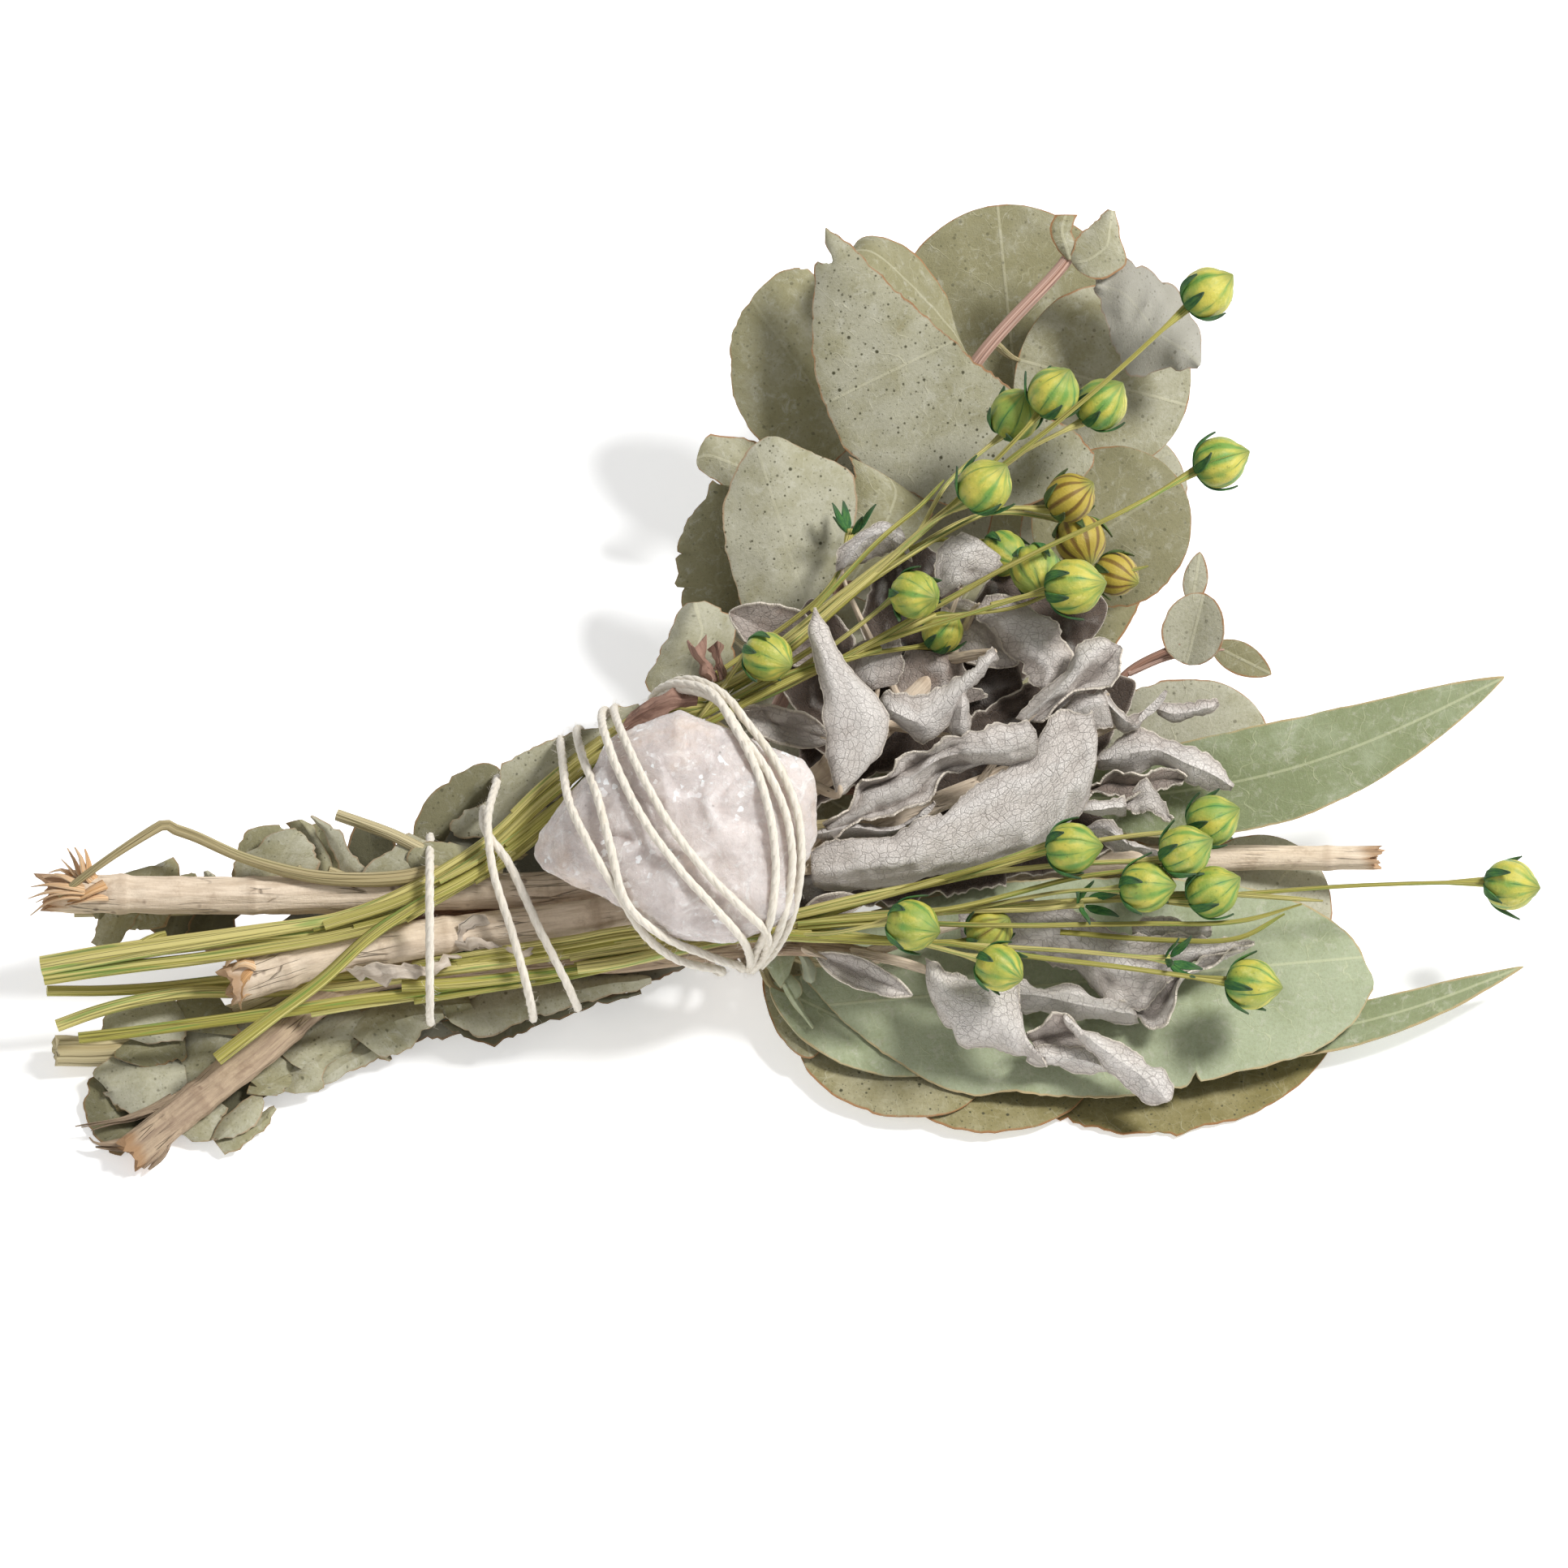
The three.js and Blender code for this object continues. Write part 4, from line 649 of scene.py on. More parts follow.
def leafBlade(leaf, kind, seed):  # a leaf from its base, tip and width
    look = leafLook(leaf, kind)
    base, tip = np.array(leaf["base"], float), np.array(leaf["tip"], float)
    chord = tip - base
    length = np.linalg.norm(chord)
    forward = chord / length
    normal = np.array(leaf.get("facing", (0, 0, 1)), float)
    normal = unit(normal - forward * normal.dot(forward))
    side = np.cross(forward, normal)
    bend = math.radians(leaf.get("arch", 0) or 0.01)
    bendRadius = length / (2 * math.sin(bend / 2))

    fine = meshing["sageFine" if kind == "sage" else "bladeFine"]
    rows = int(np.clip(length * fine, 14, meshing["most"][0]))
    half = int(np.clip(leaf["width"] * fine / 2, 4, meshing["most"][1]))
    even = np.linspace(0.003, 0.997, rows)
    s = 0.5 * even + 0.5 * (1 - np.cos(np.pi * even)) / 2
    reachOver = np.linspace(0, 1, half + 1) ** 1.12
    places = []
    for way in (-1, 1):  # the two halves, each from the midrib out
        t = reachOver[None, :]
        mark = seed * 7 + (3 if way > 0 else 0)
        edge = layeredNoise(mark, 0.3, s * length / 12, layers=4, fade=0.6)
        nick = np.maximum(0, softNoise(mark + 5, 1.0, s * length / 2.2) - 0.62) * 2
        halfWidth = leaf["width"] / 2 * outlines[leaf.get("outline", "round")](s)
        halfWidth = halfWidth * (1 + look["ragged"] * (edge - nick * 2.2))
        reachOut = halfWidth[:, None]
        fold = math.radians(leaf.get("foldLeft" if way < 0 else "foldRight", 0))
        clean = fold * between(0, 0.16, t) ** 0.7 + 0 * reachOut
        p, q = s[:, None] * length, t * reachOut
        slope = clean + math.radians(look["buckle"]) * softNoise(mark + 1, look["buckleSize"], p, q + 40)
        if look["crease"]:
            drift = 1.6 * softNoise(mark + 2, 14, p) + 0.5 * softNoise(mark + 3, 5, p)
            waves = q / 3.1 + drift + (1.7 if way > 0 else 0)
            folds = np.sin(2 * np.pi * waves) + 0.6 * np.sin(2 * np.pi * (q / 1.75 - 0.7 * drift + 0.3))
            deep = 0.45 + 0.75 * between(-0.5, 0.7, softNoise(mark + 4, 8, p, q))
            slope = slope + math.radians(look["crease"]) * folds * deep * between(0, 0.12, t)
        step = np.diff(np.concatenate([[0], reachOver]))[None, :] * reachOut
        x, y = crossSection(slope, step)
        cleanX, cleanY = crossSection(clean + 0 * slope, step)
        least = 0.3 * np.abs(cleanX[:, -1:]) + 1e-6
        x = x * np.clip(cleanX[:, -1:] / np.maximum(x[:, -1:], least), 0.5, 2.2)
        y = cleanY + 0.8 * ((y - cleanY) - t * (y[:, -1:] - cleanY[:, -1:]))
        lift = wrinkles(look, mark, p, q, 0.7, 0.4) * (0.25 + t)
        lift = lift + look["ruffle"] * t ** 3 * softNoise(mark + 8, look["ruffleSize"], p + 0 * t)
        lift = lift * between(0, 3, np.minimum(p, length - p) + 0 * t)
        places.append((way * x, y + lift, way * q, reachOut * (1 - t)))

    x, y, across, edge = [np.concatenate([a[:, :0:-1], b], 1) for a, b in zip(*places)]
    reach = s[:, None] + 0 * across
    turn = (bend * (reach - 0.5))[..., None]
    lift = normal * np.cos(turn) + forward * np.sin(turn)
    grid = (base + forward * (bendRadius * np.sin(turn) + length / 2)
            + normal * (bendRadius * (np.cos(turn) - math.cos(bend / 2)))
            + side * (leaf.get("sweep", 0) * np.sin(np.pi * reach))[..., None]
            + side * x[..., None] + lift * y[..., None])
    ends = np.minimum(s, 1 - s)[:, None] * length * 1.2
    return leafSkin(grid, s, reach * length, across, np.minimum(edge, ends), look, leaf, seed)


def softened(grid, rounds):  # each place moved to the middle of its neighbours
    for _ in range(rounds):
        for axis in (0, 1):
            wide = np.concatenate([grid.take([0], axis), grid, grid.take([-1], axis)], axis)
            count = grid.shape[axis]
            before, after = (wide.take(range(k, k + count), axis) for k in (0, 2))
            grid = 0.5 * grid + 0.25 * (before + after)
    return grid


def sheetNormals(grid):
    return unit(np.cross(np.gradient(grid, axis=1), np.gradient(grid, axis=0)))


def sheetFaces(rows, columns):  # a sheet's front, its back and the rim between them
    count = rows * columns
    skin = gridFaces(rows, columns)
    last = (rows - 1) * columns
    rim = [(j + 1, j, j + count, j + 1 + count) for j in range(columns - 1)]
    rim += [(last + j, last + j + 1, last + j + 1 + count, last + j + count) for j in range(columns - 1)]
    for i in range(rows - 1):
        a, b = i * columns, (i + 1) * columns
        rim.append((a, b, b + count, a + count))
        a, b = a + columns - 1, b + columns - 1
        rim.append((b, a, a + count, b + count))
    return np.concatenate([skin, skin[:, ::-1] + count, np.array(rim)])


def twice(marks, back=1):  # the same marks on the front and on the back
    return np.concatenate([marks.ravel(), back * marks.ravel()])


def leafSkin(grid, s, along, across, edge, look, leaf, seed):  # both faces and the rim
    facing = sheetNormals(grid)
    facing[0], facing[-1] = facing[1], facing[-2]
    halfThick = look["thick"] / 2 * (1 - 0.45 * np.exp(-np.maximum(edge, 0) / 0.5))
    rib = look["rib"] * np.exp(-(across / 0.5) ** 2) * (1 - 0.8 * s[:, None])
    front = grid + facing * (halfThick - 0.4 * rib)[..., None]
    back = grid - facing * (halfThick + rib)[..., None]
    # the finishes read this mark to paint shade in the hollows and a highlight on the crests
    bulge = ((grid - softened(grid, 14)) * facing).sum(-1) / 0.32  # proud places over 0, hollows under it
    bulge = np.clip(bulge * between(0, 2.2, edge), -2, 2)
    return partOf(
        np.concatenate([front.reshape(-1, 3), back.reshape(-1, 3)]), sheetFaces(*edge.shape), look["finish"],
        along=twice(along), across=twice(across), edge=twice(edge), seed=(seed * 0.61) % 1,
        bulge=twice(bulge, -1), tone=leaf.get("tone", 0.9 * math.sin(seed * 2.3)), specks=look["specks"],
        pale=look["pale"], warm=look.get("warm", 0), veins=look["veins"], ringX=twice(across) * 0.3,
        front=twice(np.ones(edge.shape), -1))


def evenly(points, count):  # so many places along a smooth curve
    path, along = smoothPath(points, 0.4)
    even = np.linspace(0, along[-1], count)
    return np.stack([np.interp(even, along, path[:, k]) for k in range(3)], -1)


def leafFromLines(leaf, kind, seed):  # lines run base to tip, from the leaf's left edge to its right
    look = leafLook(leaf, kind)
    lines = [np.array(line, float) for line in leaf["lines"]]
    length = max(np.linalg.norm(np.diff(line, axis=0), axis=1).sum() for line in lines)
    fine = meshing["sageFine" if kind == "sage" else "lineFine"]
    rows = int(np.clip(length * fine, 12, meshing["mostAlongLines"]))
    guides = np.stack([evenly(line, rows) for line in lines])
    if len(guides) > 2:
        chord = guides[0] + (guides[-1] - guides[0]) * np.linspace(0, 1, len(guides))[:, None, None]
        guides[..., 2] = chord[..., 2] + look["flat"] * (guides[..., 2] - chord[..., 2])
    else:
        middle = guides.mean(0) + np.array([0, 0, leaf.get("bulge", 0.6)])
        guides = np.stack([guides[0], middle, guides[1]])
    gaps = np.linalg.norm(np.diff(guides, axis=0), axis=2).mean(1)
    t = np.concatenate([np.zeros(1)] + [np.linspace(k, k + 1, max(3, int(gap * fine)) + 1)[1:]
                                        for k, gap in enumerate(gaps)])
    padded = np.concatenate([[2 * guides[0] - guides[1]], guides, [2 * guides[-1] - guides[-2]]])
    k = np.minimum(t.astype(int), len(guides) - 2)
    f = (t - k)[:, None, None]
    a, b, c, d = padded[k], padded[k + 1], padded[k + 2], padded[k + 3]
    grid = 0.5 * (2 * b + (c - a) * f + (2 * a - 5 * b + 4 * c - d) * f * f
                  + (3 * b - a - 3 * c + d) * f ** 3)
    grid = look["soft"] * grid + (1 - look["soft"]) * (b + (c - b) * f)
    grid = grid.swapaxes(0, 1)
    s = np.linspace(0, 1, rows)
    away = np.linalg.norm(np.diff(grid, axis=1), axis=2)
    left = np.concatenate([np.zeros((rows, 1)), np.cumsum(away, 1)], 1)
    right = left[:, -1:] - left
    for side, reach, one, two in ((0, left, 0, 1), (1, right, -1, -2)):  # nibbled edges
        out = unit(grid[:, one] - grid[:, two])
        uneven = layeredNoise(seed * 7 + side, 3.2, s * length, layers=4, fade=0.7)
        nick = np.maximum(0, softNoise(seed * 7 + side + 5, 1.0, s * length / 1.8) - 0.6) * 2.4
        push = look["nibble"] * (uneven - nick) * between(0, 2, left[:, -1])
        weight = np.clip(1 - reach / (1.6 + 2 * look["nibble"]), 0, 1) ** 2
        grid = grid + out[:, None] * (push[:, None] * weight)[..., None]
    across = left - left[:, -1:] / 2
    edge = np.minimum(left, right)
    p = s[:, None] * length + 0 * across
    lift = wrinkles(look, seed * 7, p, across, 0.6, 0.3)
    lift = lift + 0.011 * look["crease"] * layeredNoise(seed * 7 + 2, 2.6, p / 3.5, across, layers=2)
    lift = lift + look["ruffle"] * np.exp(-edge / 1.4) * softNoise(seed * 7 + 8, look["ruffleSize"], p)
    ends = np.minimum(p, length - p)
    lift = lift * between(0, 2.5, ends + 0.6) * between(0, 2.5, left[:, -1:])
    grid = grid + sheetNormals(grid) * lift[..., None]
    along = p
    if "vein" in leaf:  # the veins start from a line of their own
        start, end = np.array(leaf["vein"], float)
        way = (end - start) / np.linalg.norm(end - start)
        spot = grid[..., :2] - start
        along = spot @ way
        across = spot[..., 0] * way[1] - spot[..., 1] * way[0]
    return leafSkin(grid, s, along, across, np.minimum(edge, ends + 0.2), look, leaf, seed)


# stems

def endCap(ring, way, depth, seed, ringX, ringY):  # three smaller rings that close a stem's end
    middle = ring.mean(0)
    caps = []
    for shrink, sink in ((0.8, 0.0), (0.45, 0.25), (0.12, 0.1)):
        jag = depth * (sink + 0.22 * softNoise(seed + 11, 0.4, ringX[0] * shrink, ringY[0] * shrink))
        caps.append(middle + (ring - middle) * shrink + way * jag[:, None])
    return np.stack(caps)


def tube(points, radii, finishName, seed, sides=10, step=1.2, ridge=0.0, nodes=0.0, torn=(0, 0)):
    path, along = smoothPath(points, step)
    reached = along / along[-1]
    radius = np.interp(reached, np.linspace(0, 1, len(radii)), radii)[:, None]
    ahead, across, other = framesAlong(path)
    turn = np.arange(sides) / sides
    ringX, ringY = np.cos(2 * np.pi * turn)[None, :], np.sin(2 * np.pi * turn)[None, :]
    if ridge:
        lumps = softNoise(seed + 2, 2.2, ringX * 2.6, ringY * 2.6, along[:, None])
        radius = radius * (1 + ridge * layeredNoise(seed, 0.45, ringX, ringY, along[:, None] / 45, layers=3)
                           + 0.35 * ridge * lumps)
    ringMark = 0 * along
    if nodes:  # leaf scars: swollen rings along the stem
        order = np.arange(int(along[-1] / nodes) + 1)
        scars = nodes * (0.5 + order) + 2.2 * np.sin(seed + 2.1 * order)
        swell = sum(np.exp(-((along - at) / 0.9) ** 2) - 0.35 * np.exp(-((along - at - 1.8) / 0.8) ** 2)
                    for at in scars)
        radius = radius * (1 + 0.08 * swell[:, None])
        ringMark = np.clip(swell, 0, 1)
    rings = (path[:, None] + across[:, None] * (radius * ringX)[..., None]
             + other[:, None] * (radius * ringY)[..., None])
    tornMark = np.zeros(rings.shape[:2])
    for end, depth in enumerate(torn):
        if not depth:
            continue
        fromEnd = along if end == 0 else along[-1] - along
        reach = depth * (0.5 * layeredNoise(seed + 5 + end, 0.35, ringX, ringY, layers=3, fade=0.8))
        weight = between(depth * 2.2, 0, fromEnd)[:, None]
        rings = rings + ahead[:, None] * (reach * weight)[..., None] * (1 if end else -1)
        uneven = 0.3 * softNoise(seed + 8, 0.4, ringX, ringY)
        tornMark = np.maximum(tornMark, between(0.35, 1, weight + uneven))
    grid = np.concatenate([endCap(rings[0], ahead[0], torn[0], seed, ringX, ringY)[::-1], rings,
                           endCap(rings[-1], -ahead[-1], torn[1], seed, ringX, ringY)])
    alongAll = np.concatenate([[0] * 3, along, [along[-1]] * 3])[:, None] + 0 * turn
    tornAll = np.concatenate([np.full((3, sides), 1.0 if torn[0] else 0), tornMark,
                              np.full((3, sides), 1.0 if torn[1] else 0)])
    ringAll = np.concatenate([np.zeros(3), ringMark, np.zeros(3)])[:, None] + 0 * turn
    return partOf(grid.reshape(-1, 3), closedTube(len(grid), sides), finishName, along=alongAll.ravel(),
                  node=ringAll.ravel(), ringX=np.broadcast_to(ringX, grid.shape[:2]).ravel(),
                  ringY=np.broadcast_to(ringY, grid.shape[:2]).ravel(), seed=(seed * 0.37) % 1,
                  torn=tornAll.ravel())


def petiole(leaf, finishName, seed):
    if "lines" in leaf:
        base, tip = (np.mean([line[end] for line in leaf["lines"]], 0) for end in (0, -1))
    else:
        base, tip = np.array(leaf["base"], float), np.array(leaf["tip"], float)
    thick = leaf.get("petiole", 0.6)
    return tube([leaf["start"], tuple(base), tuple(base + 0.12 * (tip - base))],
                [thick * 1.05, thick * 0.9, thick * 0.35], finishName, seed, sides=8, step=1.0, ridge=0.12)


def buildSprig(name, node, sprig, kind, stemFinish, seed, stemLook=None):
    parts = []
    for k, stem in enumerate(sprig.get("stems", [])):
        parts.append(tube(stem["points"], stem["radii"], stemFinish, seed + 50 + k, **(stemLook or {})))
    for k, leaf in enumerate(sprig.get("leaves", [])):
        leafKind = leaf.get("kind", kind)
        blade = leafFromLines if "lines" in leaf else leafBlade
        parts.append(blade(leaf, leafKind, seed + k))
        if "start" in leaf:
            parts.append(petiole(leaf, "sageWood" if leafKind == "sage" else "paleStem", seed + 20 + k))
    names = sorted({p["material"] for p in parts})
    for p in parts:
        p["material"] = names.index(p["material"])
    return addPiece(name, meshFrom(name, parts, [finish[n] for n in names]), node)


# node trees for what repeats or runs along a path

def newTree(name, **inputs):
    tree = bpy.data.node_groups.new(name, "GeometryNodeTree")
    tree.interface.new_socket(name="Geometry", in_out="INPUT", socket_type="NodeSocketGeometry")
    kinds = {float: "Float", int: "Int", str: "Material", bool: "Object"}
    for key, value in inputs.items():
        kind = kinds[type(value)]
        socket = tree.interface.new_socket(name=key, in_out="INPUT", socket_type="NodeSocket" + kind)
        if kind in ("Float", "Int"):
            socket.default_value = value
    tree.interface.new_socket(name="Geometry", in_out="OUTPUT", socket_type="NodeSocketGeometry")
    source = tree.nodes.new("NodeGroupInput").outputs
    return tree, source


def endTree(tree, geometry, material):
    solid = put(tree, "GeometryNodeRealizeInstances", geometry)
    solid = put(tree, "GeometryNodeSetMaterial", solid, None, material)
    wire(tree, solid, tree.nodes.new("NodeGroupOutput").inputs[0])


def grownMesh(name, source, tree, **values):  # the tree's result on that object, as a plain mesh
    modifier = source.modifiers.new(name, "NODES")
    modifier.node_group = tree
    for item in tree.interface.items_tree:
        if item.in_out == "INPUT" and item.name in values:
            modifier[item.identifier] = values[item.name]
    bpy.context.view_layer.update()
    made = bpy.data.meshes.new_from_object(source.evaluated_get(bpy.context.evaluated_depsgraph_get()))
    made.name = name
    source.modifiers.remove(modifier)
    bpy.data.objects.remove(source)
    return made


def curvesObject(name, paths):  # each path: points on the face, and a radius for each
    data = bpy.data.curves.new(name, "CURVE")
    data.dimensions = "3D"
    for points, radii in paths:
        spline = data.splines.new("POLY")
        spline.points.add(len(points) - 1)
        spots = onTable(points)
        spline.points.foreach_set("co", np.concatenate([spots, np.ones((len(spots), 1))], 1).ravel())
        spline.points.foreach_set("radius", np.asarray(radii, float) / 1000)
    return newObject(name, data)


def pointsObject(name, points, **marks):
    mesh = bpy.data.meshes.new(name)
    mesh.from_pydata(onTable(points).tolist(), [], [])
    for key, values in marks.items():
        values = np.asarray(values, np.float32)
        vector = values.ndim == 2
        layer = mesh.attributes.new(key, "FLOAT_VECTOR" if vector else "FLOAT", "POINT")
        layer.data.foreach_set("vector" if vector else "value", values.ravel())
    return newObject(name, mesh)


def storeMark(tree, geometry, name, value, domain="POINT"):
    node = tree.nodes.new("GeometryNodeStoreNamedAttribute")
    node.data_type, node.domain = "FLOAT", domain
    for key, given in dict(Geometry=geometry, Name=name, Value=value).items():
        wire(tree, given, node.inputs[key])
    return node.outputs[0]


def namedMark(tree, name, kind="FLOAT"):
    return put(tree, "GeometryNodeInputNamedAttribute", name, data_type=kind)


def scaled(tree, vector, factor):
    node = tree.nodes.new("ShaderNodeVectorMath")
    node.operation = "SCALE"
    wire(tree, vector, node.inputs[0])
    wire(tree, factor, node.inputs["Scale"])
    return node.outputs[0]


def anyNumber(tree, low, high, seed=None):
    return put(tree, "FunctionNodeRandomValue", None, None, low, high, None, None, None, None, seed, out=1)


def circle(tree, sides, radius):
    ring = put(tree, "GeometryNodeCurvePrimitiveCircle", sides)
    wire(tree, radius, ring.node.inputs["Radius"])
    return ring


def ringMarks(tree, ring):  # where each corner sits round the ring
    turn = times(tree, put(tree, "GeometryNodeSplineParameter"), 2 * math.pi)
    for name, way in (("ringX", "COSINE"), ("ringY", "SINE")):
        ring = storeMark(tree, ring, name, calc(tree, way, turn))
    return ring


def evenSteps(tree, source):  # the curve in even steps, and how far along it each lies
    curve = put(tree, "GeometryNodeResampleCurve", source["Geometry"], None, None, source["Step"],
                mode="LENGTH")
    return curve, put(tree, "GeometryNodeSplineParameter", out=1)


def stalkTree():  # thin round stalks that wander a little along curves
    tree, source = newTree("stalksAlongPaths", Step=0.0012, Wander=0.00022, Sides=8, Flat=1.0, Twist=0.0,
                           Seed=0, Material="")
    curve, reach = evenSteps(tree, source)
    curve = storeMark(tree, curve, "along", times(tree, reach, 1000.0))
    curve = storeMark(tree, curve, "seed", anyNumber(tree, 0.0, 1.0, source["Seed"]), "CURVE")
    wobble = put(tree, "ShaderNodeTexNoise", None, source["Seed"], 90.0, 1.0, out=1, noise_dimensions="4D")
    offset = put(tree, "ShaderNodeVectorMath", wobble, (0.5, 0.5, 0.5), operation="SUBTRACT")
    offset = scaled(tree, offset, source["Wander"])
    curve = put(tree, "GeometryNodeSetPosition", curve, None, None, offset)
    ring = put(tree, "GeometryNodeTransform", ringMarks(tree, circle(tree, source["Sides"], 1.0)))
    wire(tree, place(tree, 1.0, source["Flat"], 1.0), ring.node.inputs["Scale"])
    curve = put(tree, "GeometryNodeSetCurveTilt", curve, None, times(tree, reach, source["Twist"]))
    solid = put(tree, "GeometryNodeCurveToMesh", curve, ring, put(tree, "GeometryNodeInputRadius"), True)
    endTree(tree, put(tree, "GeometryNodeSetShadeSmooth", solid), source["Material"])
    return tree


def cordTree():  # plies that wind round the path, with loose fibres standing off them
    tree, source = newTree("twistedCord", Step=0.0006, Pitch=0.005, Offset=0.0003, Ply=0.0004, Sides=6,
                           Hairs=500000.0, HairLength=0.0011, Seed=0, Material="")
    curve, reach = evenSteps(tree, source)
    tangent, normal = put(tree, "GeometryNodeInputTangent"), put(tree, "GeometryNodeInputNormal")
    other = put(tree, "ShaderNodeVectorMath", tangent, normal, operation="CROSS_PRODUCT")
    ring = ringMarks(tree, circle(tree, source["Sides"], source["Ply"]))
    joined = tree.nodes.new("GeometryNodeJoinGeometry")
    turn = times(tree, calc(tree, "DIVIDE", reach, source["Pitch"]), 2 * math.pi)
    for ply in range(3):
        angle = plus(tree, turn, ply * 2 * math.pi / 3)
        ways = [scaled(tree, way, times(tree, calc(tree, kind, angle), source["Offset"]))
                for kind, way in (("COSINE", normal), ("SINE", other))]
        shift = put(tree, "ShaderNodeVectorMath", *ways, operation="ADD")
        strand = storeMark(tree, curve, "along", times(tree, reach, 1000.0))
        strand = storeMark(tree, strand, "seed", 3.0 + 7.0 * ply)
        strand = put(tree, "GeometryNodeSetPosition", strand, None, None, shift)
        solid = put(tree, "GeometryNodeCurveToMesh", strand, ring, 1.0, True)
        tree.links.new(put(tree, "GeometryNodeSetShadeSmooth", solid), joined.inputs[0])
    plies = joined.outputs[0]
    spots = putNamed(tree, "GeometryNodeDistributePointsOnFaces", "Points", Mesh=plies,
                     Density=source["Hairs"], Seed=source["Seed"])
    thread = put(tree, "GeometryNodeCurveQuadraticBezier", 3, (0.0, 0.0, 0.0), (0.0003, 0.0, 0.45),
                 (0.45, 0.1, 0.8))
    hair = put(tree, "GeometryNodeCurveToMesh", thread, circle(tree, 3, 0.014), 1.0, False)
    lean = put(tree, "FunctionNodeRandomValue", (-1.1, -1.1, -3.1), (1.1, 1.1, 3.1), data_type="FLOAT_VECTOR")
    turned = put(tree, "FunctionNodeRotateRotation", spots.node.outputs["Rotation"],
                 put(tree, "FunctionNodeEulerToRotation", lean), rotation_space="LOCAL")
    size = times(tree, source["HairLength"], anyNumber(tree, 0.35, 1.2))
    hairs = put(tree, "GeometryNodeInstanceOnPoints", spots, None, hair, None, None, turned, size)
    both = tree.nodes.new("GeometryNodeJoinGeometry")
    tree.links.new(plies, both.inputs[0])
    tree.links.new(hairs, both.inputs[0])
    endTree(tree, both.outputs[0], source["Material"])
    return tree


def scatterTree():  # one shape on every point, turned to the point's own way and size
    tree, source = newTree("shapesOnPoints", Shape=True, Seed=0, Spin=6.28, Material="")
    shape = put(tree, "GeometryNodeObjectInfo", source["Shape"], out=4)
    way = put(tree, "FunctionNodeAlignRotationToVector", None, None, namedMark(tree, "way", "FLOAT_VECTOR"),
              axis="Z")
    spin = anyNumber(tree, 0.0, source["Spin"], source["Seed"])
    turned = put(tree, "FunctionNodeRotateRotation", way,
                 put(tree, "FunctionNodeAxisAngleToRotation", (0.0, 0.0, 1.0), spin), rotation_space="LOCAL")
    made = put(tree, "GeometryNodeInstanceOnPoints", source["Geometry"], None, shape, None, None, turned,
               namedMark(tree, "size"))
    endTree(tree, made, source["Material"])
    return tree


stalksAlongPaths = stalkTree()
twistedCord = cordTree()
shapesOnPoints = scatterTree()


# The tables from here on hold millimetres on the face and degrees. A stem has points and a radius at
# even shares of its length. A leaf has lines side by side from its base to its tip, or a base, a tip
# and a width; start is where its own stalk leaves the stem, and petiole that stalk's radius. Fold
# lifts a half, arch bends the leaf along its length, sweep curves it sideways, tone darkens it: tone
# varies at random from leaf to leaf, and is set high on leaves that lie in shadow or fill the gaps
# behind others, where it paints their shade.

# cotton string

quartz = dict(
  middle=(-15.5, 44.5),
  outline=[(-36.9, 40.6), (-35.1, 44.1), (-31.3, 48.8), (-26.8, 54.1), (-25.2, 57.6), (-19.5, 60),
   (-14.8, 61.8), (-7.8, 60), (-1.9, 57.1), (2.2, 55.3), (4.4, 51.8), (4.9, 44.1), (2.2, 37.6), (1.1, 31.8),
   (-6.6, 28.2), (-16, 28.8), (-23.1, 32.9), (-28.9, 35.9), (-33.6, 37.6)],
  # each level of the stone: how far out of the face, and its size there
  levels=[(6.6, 0.7), (8.6, 0.93), (12.4, 1), (15.6, 0.9), (18, 0.64), (18.8, 0.3)],
)

